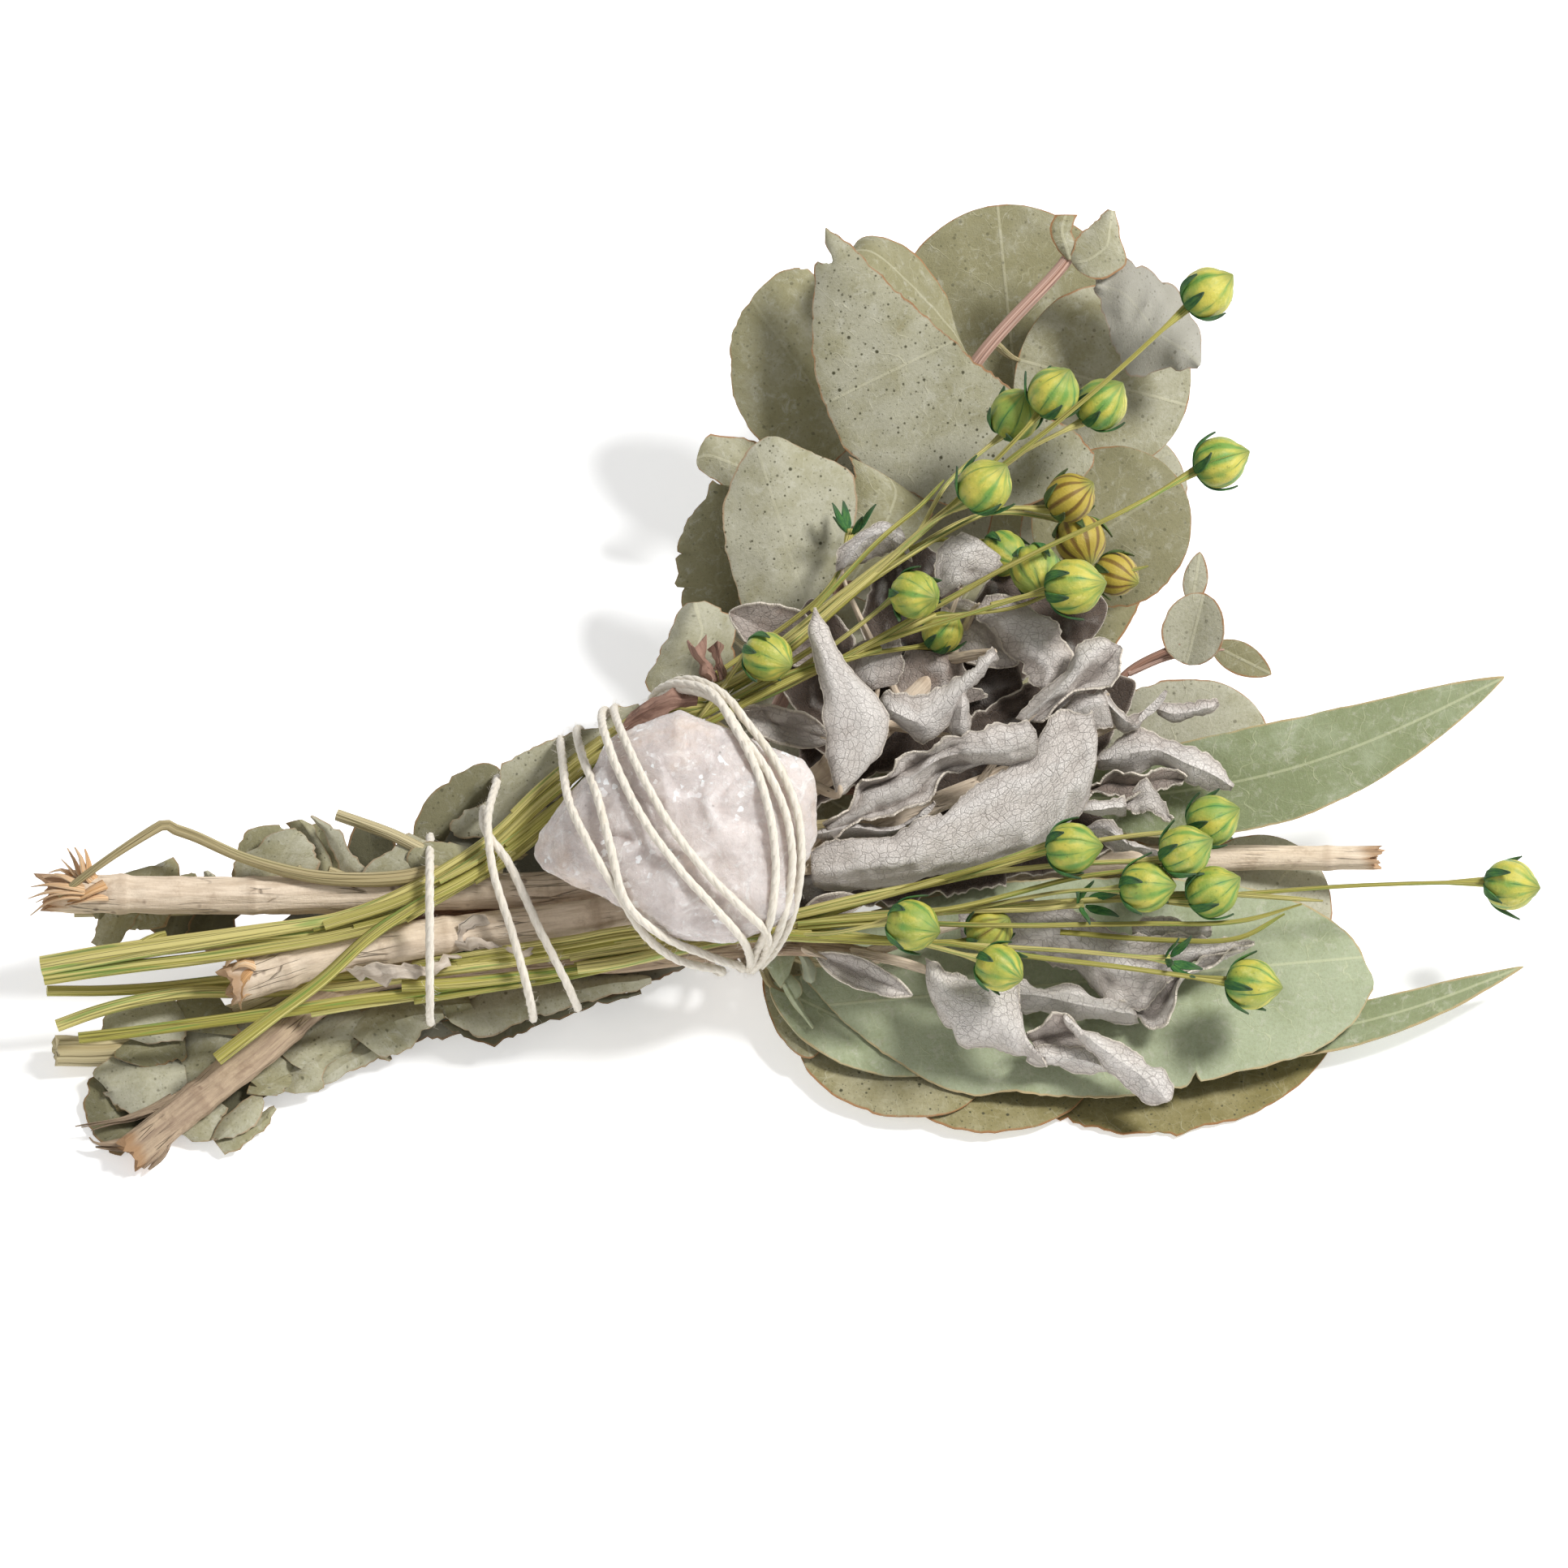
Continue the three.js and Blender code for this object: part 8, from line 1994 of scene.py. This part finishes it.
flaxUpper = dict(
  cutEnds=[1.55, 0.95, 1.05],
  stalks=[
    [(-107.6, 24.6, 4.6), (-99.5, 26.1, 5.4), (-87.8, 27.9, 6), (-74.8, 29.9, 6.2), (-64.2, 31.8, 6),
     (-54.8, 35.5, 5.8), (-43.1, 42.8, 4.4), (-32.5, 52.6, 4), (-19.5, 61.1, 4.2), (-6, 66.6, 4),
     (10, 79.1, 2), (24, 91.1, -2), (36, 100.4, -5)],
    [(-107.2, 22.8, 4.4), (-98.4, 24.1, 5.2), (-84.2, 25.8, 5.4), (-74.8, 27.3, 6), (-63.1, 29.4, 6.6),
     (-54.8, 32, 6.6), (-47.8, 36, 5.8), (-40.6, 40.4, 5), (-30, 49.6, 4.2), (-18.6, 60.8, 4.2),
     (-4.9, 63.1, 4.4), (8, 69.1, 3), (22, 75.6, 1)],
    [(-82.1, 11.2, 6.6), (-74.8, 16.8, 7), (-66.6, 22.9, 7.6), (-59.5, 29.4, 8.4), (-52.5, 33.9, 8.2),
     (-44.9, 38, 7.6), (-36.9, 44, 5.4), (-26.4, 52.2, 6.4), (-12, 59.4, 7), (2, 66.6, 5.8), (14, 70.8, 1)],
    [(-92.5, 26.8, 5.6), (-78.4, 28.5, 5.2), (-66.6, 29.9, 5), (-56, 33.4, 4.6), (-45.4, 39.8, 3.8),
     (-32.5, 50.6, 3.4), (-19.5, 59.3, 3.4), (-7.8, 64.7, 3.4), (6.4, 75.3, 2)],
    [(-66.6, 30.6, 6.4), (-54.8, 34.4, 6.8), (-44.2, 40.2, 6), (-33.6, 49.6, 5.2), (-21.9, 58.2, 5.2),
     (-8.9, 62.6, 5.6), (4, 70.6, 5)],
    [(-95.2, 26.1, 5.8), (-93.4, 27.6, 5.8), (-90.7, 29.1, 5.4), (-89.6, 29.4, 5)],
  ],
  bare=[
    [(4, 76, 5), (14, 86.6, 2.4), (20, 91.6, 1), (23.2, 95.1, 0)],
    [(30, 77, 1), (42, 80, -2), (52.8, 82.7, -3)],
  ],
  pods=[
    dict(stalk=0, leave=0.95, via=[(45, 108, -1)], at=(61.1, 122.1, -10), towards=(0.7, 0.5, 0.3)),
    dict(stalk=1, leave=0.7, via=[(6, 79, -6)], at=(9.9, 90.6, -14), towards=(0.05, 0.9, 0.4), spent=True),
    dict(stalk=0, leave=0.91, via=[(33.6, 101, -3)], at=(38.9, 107.5, -5.4), towards=(0.45, 0.65, 0.5)),
    dict(stalk=0, leave=0.87, via=[(24, 95, -6)], at=(33.4, 104.4, -11), towards=(0.3, 0.6, 0.6)),
    dict(stalk=0, leave=1, via=[], at=(45.8, 105.9, -11), towards=(0.6, 0.6, 0.4)),
    dict(stalk=0, leave=0.83, via=[(21.6, 89, 1.4)], at=(28.8, 93.9, 3), towards=(0.6, 0.6, 0.5), size=1.05),
    dict(stalk=1, leave=0.87, via=[(24, 78, 2.6), (36, 84.4, 3), (50, 91, 0)], at=(62.7, 97.6, -6),
         towards=(0.9, 0.32, 0.2)),
    dict(stalk=0, leave=0.78, via=[(30, 90.6, -6)], at=(41.2, 92.4, -9), towards=(0.7, 0.45, 0.45), aged=1,
         size=0.95),
    dict(stalk=0, leave=0.72, via=[(28, 90, -13)], at=(42.9, 86.8, -16), towards=(0.3, -0.75, 0.5), aged=1),
    dict(stalk=1, leave=1, via=[(34, 76.8, -1)], at=(47.9, 81.6, -5), towards=(0.75, -0.3, 0.5), aged=1,
         size=0.85),
    dict(stalk=1, leave=0.96, via=[(31, 77, 4)], at=(41.5, 79.6, 4), towards=(0.85, 0.1, 0.4), size=1.1),
    dict(stalk=1, leave=0.92, via=[(28, 80, 0)], at=(36.4, 82.4, -3), towards=(0.2, -0.7, 0.6), aged=0.5),
    dict(stalk=0, leave=0.68, via=[(20, 86, -8)], at=(31.6, 84.7, -12), towards=(0.6, -0.4, 0.6), size=0.9),
    dict(stalk=1, leave=0.8, via=[(9, 72.6, 4.6)], at=(18.7, 78.5, 6), towards=(0.6, -0.1, 0.7), size=0.95),
    dict(stalk=2, leave=0.98, via=[], at=(22.8, 72.9, -4.6), towards=(0.5, 0.6, 0.5), size=0.8),
    dict(stalk=2, leave=0.76, via=[(-10, 63.6, 7)], at=(-2.7, 69.6, 9.6), towards=(0.75, -0.3, 0.6),
         size=0.96),
  ],
)

flaxLower = dict(
  cutEnds=[0.8, 0.95, 0.85],
  stalks=[
    [(-106.8, 21.1, 2.4), (-98.4, 21.1, 1), (-90.1, 21.6, -1), (-80.7, 22.6, -1.8), (-71.3, 22.9, -1.6),
     (-60.7, 23.5, 0), (-50.1, 24.9, 3.4), (-40, 26.4, 5.4), (-31.3, 27.6, 6.2), (-21.9, 29.2, 6.4),
     (-4.2, 30.5, 6.2), (12, 34.6, 6.4), (30, 38.4, 7.4)],
    [(-105.4, 16, 3), (-99.5, 18.1, 2.6), (-92.5, 19.9, 1.4), (-85.4, 20.9, -0.4), (-76, 20.9, -2),
     (-64.2, 21.9, -0.6), (-54.8, 23.1, 2), (-47.8, 24.2, 4.6), (-40, 25.2, 5.4), (-31.3, 26.5, 6),
     (-21.9, 28.1, 6.2), (-4.2, 30, 6.4), (12, 31.6, 6.6), (40, 34, 7)],
    [(-102.2, 14.2, 5.4), (-94.8, 15.1, 5), (-84.2, 16.5, 4.2), (-72.5, 18.1, 3.6), (-60.7, 19.9, 3.6),
     (-52.5, 20.9, 3.8), (-43.1, 22.4, 4.4), (-31.3, 24, 5), (-21.9, 25.9, 5.6), (-4.2, 29.3, 6.7),
     (8, 28.9, 7.6), (24, 28, 9)],
    [(-55.4, 21.8, 4.6), (-47.8, 22.1, 4.8), (-37.2, 23.3, 5.2), (-26.6, 24.7, 5.6), (-14.8, 27.1, 6),
     (-1.9, 29.2, 6)],
    [(-29.9, 24.4, 6.6), (-24.2, 25.2, 6.8), (-17.2, 26.7, 6.8), (-7.8, 28.5, 6.8), (4, 29.9, 6.6)],
  ],
  bare=[
    [(40, 34, 7), (60, 35.2, 6), (78.1, 34.1, 5)],
    [(2, 30.2, 6.8), (14, 31, 7.6), (30, 30.6, 8.4), (50, 30.8, 8.2), (66, 31.2, 6.6), (75, 33.6, 5)],
    [(0, 31.4, 7), (16, 35.2, 8.2), (32, 40.2, 8.2), (41, 43.6, 9)],
    [(2, 30.8, 7.4), (24, 33, 8.6), (43, 37.6, 9.4), (56, 39.2, 9.8)],
    [(40, 29.6, 7.4), (56, 28.4, 7), (66, 28.8, 6), (72.5, 32.2, 5)],
  ],
  pods=[
    dict(stalk=1, leave=0.9, via=[(38, 33, 8)], at=(45.2, 34.1, 9.6), towards=(0.6, 0.1, 0.8), spent=True),
    dict(stalk=2, leave=0.96, via=[(40, 27, 9)], at=(58.1, 25.9, 9), towards=(0.7, 0.1, 0.7), spent=True),
    dict(stalk=0, leave=0.94, via=[(30, 39.4, 10)], at=(41.2, 41.8, 12), towards=(0.9, 0.05, 0.3)),
    dict(stalk=0, leave=0.98, via=[(44, 42.6, 7.6)], at=(61.6, 45.6, 7), towards=(0.8, 0.35, 0.4)),
    dict(stalk=0, leave=1, via=[(44, 39.6, 9)], at=(57.6, 41.2, 12), towards=(0.8, 0.35, 0.4)),
    dict(stalk=1, leave=0.9, via=[(40, 35.4, 9.6)], at=(51.9, 36.1, 11.4), towards=(0.85, 0.05, 0.35)),
    dict(stalk=1, leave=0.98, via=[(48, 34.2, 7)], at=(61.6, 35.3, 7.6), towards=(0.8, 0.4, 0.3)),
    dict(stalk=2, leave=0.84, via=[(8, 29.6, 10)], at=(18.2, 30.7, 13), towards=(0.8, -0.2, 0.5)),
    dict(stalk=2, leave=0.98, via=[], at=(29.5, 29.6, 5), towards=(0.6, 0.4, 0.6), size=0.9, aged=0.6),
    dict(stalk=2, leave=0.96, via=[], at=(30.8, 24.6, 14.6), towards=(0.7, -0.35, 0.5), size=0.92),
    dict(stalk=2, leave=1, via=[(34, 26.4, 9.8), (48, 24.6, 10.4)], at=(67.2, 22.1, 9),
         towards=(0.95, -0.1, 0.3)),
    dict(stalk=1, leave=1, via=[(64, 35, 3), (84, 36.4, 2)], at=(104.8, 36.5, 1), towards=(0.9, -0.1, 0.4)),
  ],
)

podLook = dict(radius=3.7, length=7.5, seams=10, groove=0.022, beak=0.9, sepalWidth=1.0, sepalLength=5.2,
               stalks=(0.9, 0.46), ownStalk=0.42, bareStalk=(0.42, 0.36, 0.15), sepals=5, sepalThick=0.22)


def podRadius(rise):  # how far the capsule's side is from its axis, base at 0 and beak at 1
    return podLook["radius"] * (1 - np.abs(2 * np.clip(rise, 0, 1) ** 0.9 - 1) ** 2.15 + 0.002) ** 0.52


def capsuleShape():  # a capsule pointing along z from its middle
    rings, around = 30, 80
    rise = np.linspace(0, 1, rings)[:, None]
    turn = (np.arange(around) / around)[None, :]
    ringX, ringY = np.cos(2 * np.pi * turn), np.sin(2 * np.pi * turn)
    seam = np.abs(np.cos(np.pi * podLook["seams"] * turn)) + 0 * rise
    groove = podLook["groove"] * np.sin(np.pi * rise) * np.clip(seam * 3.2 - 2.2, 0, 1)
    radius = podRadius(rise) * (1 - groove)
    radius = radius * (1 + 0.02 * softNoise(4, 0.35, ringX, ringY, rise * 2.2))
    z = podLook["length"] * (rise - 0.42) + podLook["beak"] * between(0.94, 1.0, rise) ** 1.2
    spots = np.stack([radius * ringX, radius * ringY, z + 0 * turn], -1)
    return [partOf(spots, closedTube(rings, around), 0, turn=(turn + 0 * rise).ravel(),
                   rise=(rise + 0 * turn).ravel(), seam=seam.ravel())]


def sepalShape(spent, seed):  # the pointed leaves round a capsule, or left where one has gone
    rng = np.random.default_rng(seed)
    parts = []
    for k in range(podLook["sepals"]):
        angle = 2 * np.pi * (k + 0.2 * rng.normal()) / podLook["sepals"]
        long = podLook["sepalLength"] * rng.uniform(0.7, 1.15)
        spread = rng.uniform(0.6, 1.6) if spent else rng.uniform(0.25, 1.4)
        rows, columns = 14, 7
        s, t = np.linspace(0, 1, rows)[:, None], np.linspace(-1, 1, columns)[None, :]
        halfWide = podLook["sepalWidth"] * 1.5 * (s + 0.06) ** 0.5 * np.maximum(1 - s, 0.004) ** 0.8
        height = podLook["length"] * -0.44 + long * s * (0.8 if spent else 0.95)
        hug = podRadius(np.clip(height / podLook["length"] + 0.42, 0, 1)) * (0.55 if spent else 1)
        out = np.maximum(hug, 0.5) + 0.2 + spread * s ** 3.2 + 0.16 * t ** 2 * s
        swing = angle + halfWide * t / np.maximum(out, 1.5) + 0.12 * rng.normal() * s ** 2
        spots = np.stack([out * np.cos(swing), out * np.sin(swing), height + 0 * t], -1)
        thick = podLook["sepalThick"] / 2 * sheetNormals(spots)
        parts.append(partOf(np.concatenate([(spots + thick).reshape(-1, 3), (spots - thick).reshape(-1, 3)]),
                            sheetFaces(rows, columns), 0,
                            turn=twice(0.2 * k + 0.1 * t + 0 * s), rise=twice(s + 0 * t)))
    return parts


def shapeObject(name, parts):  # a shape of its own, about the origin
    mesh = meshFrom(name, parts, [])
    mesh.vertices.foreach_set("co", (np.vstack([p["points"] for p in parts]) / 1000).ravel())
    mesh.update()
    return newObject(name, mesh)


def buildFlax(name, node, spray, seed):
    rng = np.random.default_rng(seed)
    paths, stalkPaths = [], []
    for points in spray["stalks"]:
        path, along = smoothPath(points, 1.5)
        stalkPaths.append(smoothPath(points, 0.5)[0])
        cut = spray["cutEnds"][len(paths)] if len(paths) < len(spray["cutEnds"]) else podLook["stalks"][0]
        paths.append((path, np.interp(along / along[-1], [0, 0.05, 0.25, 1], [cut, cut, *podLook["stalks"]])))
    for pod in spray["pods"]:  # each pod's own stalk runs beside a thicker one, then leaves it
        stalk = stalkPaths[pod["stalk"]]
        leave = int(round(pod["leave"] * (len(stalk) - 1)))
        begin = int(rng.uniform(0.3, 0.62) * leave)
        beside = stalk[begin:leave:12]
        reached = np.linspace(0, 1, len(beside))
        shift = rng.uniform(-1.3, 1.3) + 0.35 * np.sin(5 * reached + rng.uniform(0, 6))
        sink = rng.uniform(-1.3, 0.5) * np.sin(np.pi * reached) + 0.35 * np.cos(5 * reached)
        beside = beside + np.stack([0 * reached, shift * (1 - reached ** 6), sink], -1)
        way = unit(np.array(pod["towards"], float))
        end = np.array(pod["at"], float) - way * 0.43 * podLook["length"] * pod.get("size", 1)
        path, along = smoothPath([*beside, *pod["via"], end], 1.0)
        own = podLook["ownStalk"] * rng.uniform(0.85, 1.15)
        paths.append((path, np.interp(along / along[-1], [0, 0.5, 0.96, 1], [own, own, own * 0.8, 0.8])))
    for points in spray.get("bare", ()):
        path, along = smoothPath(points, 1.0)
        paths.append((path, np.interp(along / along[-1], [0, 0.9, 1], podLook["bareStalk"])))
    stalks = grownMesh(name, curvesObject(name, paths), stalksAlongPaths, Seed=seed,
                       Material=finish["flaxStalk"])
    pieces = [addPiece(name, stalks, node)]
    full = [p for p in spray["pods"] if not p.get("spent")]
    spent = [p for p in spray["pods"] if p.get("spent")]
    for part, chosen, shape in (("Pods", full, capsuleShape()), ("Sepals", full, sepalShape(False, seed)),
                                ("Open", spent, sepalShape(True, seed + 1))):
        if not chosen:
            continue
        ways = unit(np.array([p["towards"] for p in chosen], float))
        places = pointsObject(
            "podPlaces", [p["at"] for p in chosen], way=onTable(ways) - onTable(np.zeros(3)),
            size=[p.get("size", 1.0) for p in chosen], seed=rng.uniform(0, 1, len(chosen)),
            aged=[p.get("aged", 0) for p in chosen])
        shape = shapeObject("podShape", shape)
        made = grownMesh(name + part, places, shapesOnPoints, Shape=shape, Seed=seed,
                         Material=finish["pod" if part == "Pods" else "sepal"])
        bpy.data.objects.remove(shape)
        pieces.append(addPiece(name + part, made, node))
    return pieces


# torn fibres at the cut ends

frayedEnds = dict(  # each strand: its points, and how thick it is
  upper=[
    ([(-99.3, 36.2, 3), (-100.7, 38.2, 3.4), (-100.9, 40, 3.6), (-101.3, 41.6, 3.4)], 0.45),
    ([(-99.8, 36.5, 3.4), (-101.5, 38.2, 4), (-101.9, 40.2, 4.2), (-102.8, 41.9, 4)], 0.5),
    ([(-100.2, 36.2, 3), (-102.1, 37.9, 3.4), (-102.8, 39.8, 3.2), (-103.9, 41.8, 3)], 0.38),
    ([(-100.5, 36.5, 2.6), (-102.5, 37.6, 3.4), (-103.8, 39.1, 3), (-104.8, 40.2, 2.6)], 0.3),
    ([(-100.9, 36.5, 2), (-103.1, 37.6, 2.6), (-104.7, 38.7, 2.2), (-106.6, 38.2, 1.8)], 0.4),
    ([(-101.4, 36, 4), (-103.5, 37.2, 4.6), (-105.6, 38, 4), (-107.5, 37.4, 3.6)], 0.34),
    ([(-101.4, 35.8, 4.4), (-103.8, 36.2, 5), (-106.6, 36.5, 4), (-109.2, 36.2, 3.4)], 0.42),
    ([(-101.9, 35.5, 4.4), (-104.2, 35.6, 5), (-107.1, 35.3, 4.6), (-109.6, 34.5, 4)], 0.36),
    ([(-101.4, 34.8, 4), (-103.5, 34.8, 4.8), (-106.4, 34.1, 4), (-109.2, 32.1, 3.4)], 0.45),
    ([(-100.7, 34.1, 3), (-102.8, 33.9, 3.4), (-104.9, 33.8, 3), (-107.5, 32.8, 2.4)], 0.38),
    ([(-101.2, 35.3, 4.6), (-103.8, 35.3, 5.2), (-106.1, 34.9, 5), (-108.5, 33.9, 4.4)], 0.3),
    ([(-100.5, 37.2, 2), (-102.1, 37.9, 2.6), (-103.5, 38.4, 2.4), (-105.4, 38.6, 2)], 0.34),
    ([(-98.4, 36.5, 4.2), (-100.5, 35.5, 4.8), (-102.1, 34.4, 4.4), (-103.8, 33.9, 4)], 0.5),
    ([(-98.1, 34.8, 4), (-100, 34.6, 4.6), (-102.1, 33.9, 4), (-104.2, 33.4, 3.4)], 0.45),
  ],
  middle=[
    ([(-78.4, 25.3, 4.4), (-79.3, 26.4, 5.4), (-80, 25.9, 5.6), (-80.7, 24.7, 5)], 0.4),
    ([(-76.2, 24.5, 5.2), (-77.9, 25.2, 5.8), (-79.3, 24.7, 5.6), (-80.2, 23.5, 5.2)], 0.5),
    ([(-75.8, 22.8, 5.4), (-77.6, 23.3, 6), (-79.1, 22.6, 5.8), (-80, 21.6, 5.2)], 0.5),
    ([(-76.5, 21.4, 4.6), (-77.9, 20.9, 5.4), (-78.8, 19.8, 5), (-78.6, 18.5, 4.4)], 0.42),
    ([(-77.6, 20.9, 4), (-78.6, 20.5, 4.8), (-79.8, 20.9, 4.4), (-80.9, 20.5, 4)], 0.36),
    ([(-77.2, 24, 5.6), (-78.1, 23.1, 6.2), (-78.8, 21.6, 6), (-78.4, 20, 5.4)], 0.45),
  ],
  low=[
    ([(-86.8, 6.4, 3.4), (-89.5, 4.9, 3.6), (-93.1, 3.5, 2.8), (-96, 2.6, 2.6), (-100.5, 1.9, 2.4),
      (-102.8, 1.5, 2.2)], 0.4),
    ([(-88.4, 5.6, 3.2), (-91.3, 4.1, 3.2), (-94.8, 2.8, 2.6), (-98.9, 1.9, 2.4), (-101.9, 1.4, 2.4)], 0.5),
    ([(-90.1, 4.5, 2.8), (-93.6, 2.8, 2.4), (-97.2, 1.9, 2.4), (-100.5, 0.9, 2.4)], 0.42),
    ([(-91.3, 0.6, 3.6), (-93.9, -0.5, 3), (-97.2, -0.9, 3.2), (-99.8, -0.9, 3.4), (-100.7, 0, 3.4)], 0.7),
    ([(-92.5, 0, 3.4), (-94.8, -1.4, 3), (-97.6, -1.6, 3.2), (-99.8, -1.4, 3.4)], 0.6),
    ([(-90.1, 0.6, 5), (-90.6, -1.4, 5), (-91.8, -3.1, 5.2), (-92.9, -4.5, 5.4)], 0.7),
    ([(-89.4, 0.2, 4.6), (-89.9, -1.9, 4.8), (-90.8, -3.5, 5), (-92, -4.7, 5.4)], 0.5),
  ],
)


def buildFrayed(name, node, strands, seed, finishName="frayed"):
    paths = []
    for points, thick in strands:
        path, along = smoothPath(points, 0.8)
        paths.append((path, np.interp(along / along[-1], [0, 0.5, 1], np.array([1.9, 1.7, 0.5]) * thick)))
    mesh = grownMesh(name, curvesObject(name, paths), stalksAlongPaths, Step=0.0009, Wander=0.0007, Sides=8,
                     Flat=0.32, Twist=90.0, Seed=seed, Material=finish[finishName])
    return addPiece(name, mesh, node)


# the bunch

woodyStem = dict(sides=30, step=0.8, ridge=0.11, nodes=21)
pieces = [
    buildString(),
    buildQuartz(),
    *buildFlax("flaxUpper", "flax_upper", flaxUpper, 2),
    *buildFlax("flaxLower", "flax_lower", flaxLower, 9),
    buildSprig("sageLower", "sage_sprig_lower", sageLower, "sage", "sageWood", 11,
               dict(woodyStem, torn=(2.4, 0))),
    buildSprig("sageUpper", "sage_sprig_upper", sageUpper, "sage", "sageWood", 41,
               dict(woodyStem, torn=(2.8, 0))),
    buildFrayed("frayedUpper", "sage_sprig_upper", frayedEnds["upper"], 7),
    buildFrayed("frayedMiddle", "sage_sprig_lower", frayedEnds["middle"], 8),
    buildFrayed("frayedLow", "sage_sprig_low", frayedEnds["low"], 9, "brownWood"),
    buildSprig("sageLow", "sage_sprig_low", sageLow, "sage", "brownWood", 71,
               dict(woodyStem, torn=(1.6, 0))),
    buildSprig("sageStub", "sage_stem_stub", sageStub, "sage", "paleStem", 81,
               dict(woodyStem, torn=(0.5, 0))),
    buildSprig("sageThrough", "sage_stem_through", sageThrough, "sage", "sageWood", 91,
               dict(woodyStem, torn=(0, 2.2))),
    buildSprig("lanceUpper", "eucalyptus_lance_upper", lanceUpper, "lance", "paleStem", 101),
    buildSprig("lanceLower", "eucalyptus_lance_lower", lanceLower, "lance", "paleStem", 111),
    buildSprig("roundTop", "eucalyptus_round_top", roundTop, "round", "redStem", 121),
    buildSprig("roundLow", "eucalyptus_round_low", roundLow, "round", "redStem", 151),
    buildSprig("smallSpray", "eucalyptus_small_spray", smallSpray, "round", "redStem", 171),
    buildSprig("roundBack", "eucalyptus_round_back", roundBack, "round", "redStem", 181),
    buildSprig("handleUpper", "handle_leaves_upper", handleUpper, "scrap", "paleStem", 201),
    buildSprig("handleUnder", "handle_leaves_under", handleUnder, "scrap", "paleStem", 221),
    buildSprig("handleLow", "handle_leaves_low", handleLow, "scrap", "paleStem", 241),
]

# floor, light and camera

stage = dict(floor="f8f8f8", floorGlow=0.42, floorHalf=3.0, lens=1200, sensor=36, frameWidth=227.3,
             lookAt=(0, 51.06, 0), sky=0.34, lampsAim=(0, 0, 0.02),
             lamps=(("keyLight", (0.56, 0.03, 0.86), 0.24, 11.0), ("fillLight", (-0.5, -0.6, 0.6), 0.9, 1.3)))


def buildStage():
    mesh = bpy.data.meshes.new("floor")
    half = stage["floorHalf"]
    corners = [(-half, -half, 0), (half, -half, 0), (half, half, 0), (-half, half, 0)]
    mesh.from_pydata(corners, [], [(0, 1, 2, 3)])
    floor = newObject("floor", mesh)
    material, _, shader = newFinish("paleFloor", 0.9, Specular_IOR_Level=0.1)
    shader.inputs["Base Color"].default_value = tint(stage["floor"])
    shader.inputs["Emission Color"].default_value = (1, 1, 1, 1)
    shader.inputs["Emission Strength"].default_value = stage["floorGlow"]
    mesh.materials.append(material)
    world = bpy.data.worlds.new("softSky")
    world.use_nodes = True
    world.node_tree.nodes["Background"].inputs["Color"].default_value = (1, 1, 1, 1)
    world.node_tree.nodes["Background"].inputs["Strength"].default_value = stage["sky"]
    bpy.context.scene.world = world
    for name, spot, size, power in stage["lamps"]:
        lamp = bpy.data.lights.new(name, "AREA")
        lamp.shape, lamp.size, lamp.energy = "DISK", size, power
        holder = newObject(name, lamp)
        holder.location = spot
        way = np.array(stage["lampsAim"]) - np.array(spot)
        holder.rotation_mode = "QUATERNION"
        holder.rotation_quaternion = Vector(way).to_track_quat("-Z", "Y")
    camera = newObject("camera", bpy.data.cameras.new("camera"))
    camera.data.lens, camera.data.sensor_width = stage["lens"], stage["sensor"]
    away = stage["frameWidth"] * stage["lens"] / stage["sensor"]
    x, y, z = stage["lookAt"]
    camera.location = onTable((x, y, z + away))
    camera.rotation_euler = (math.radians(layout["lean"]), 0, 0)
    bpy.context.scene.camera = camera
    bpy.context.scene.view_settings.view_transform = "Standard"


buildStage()
print("stage made")
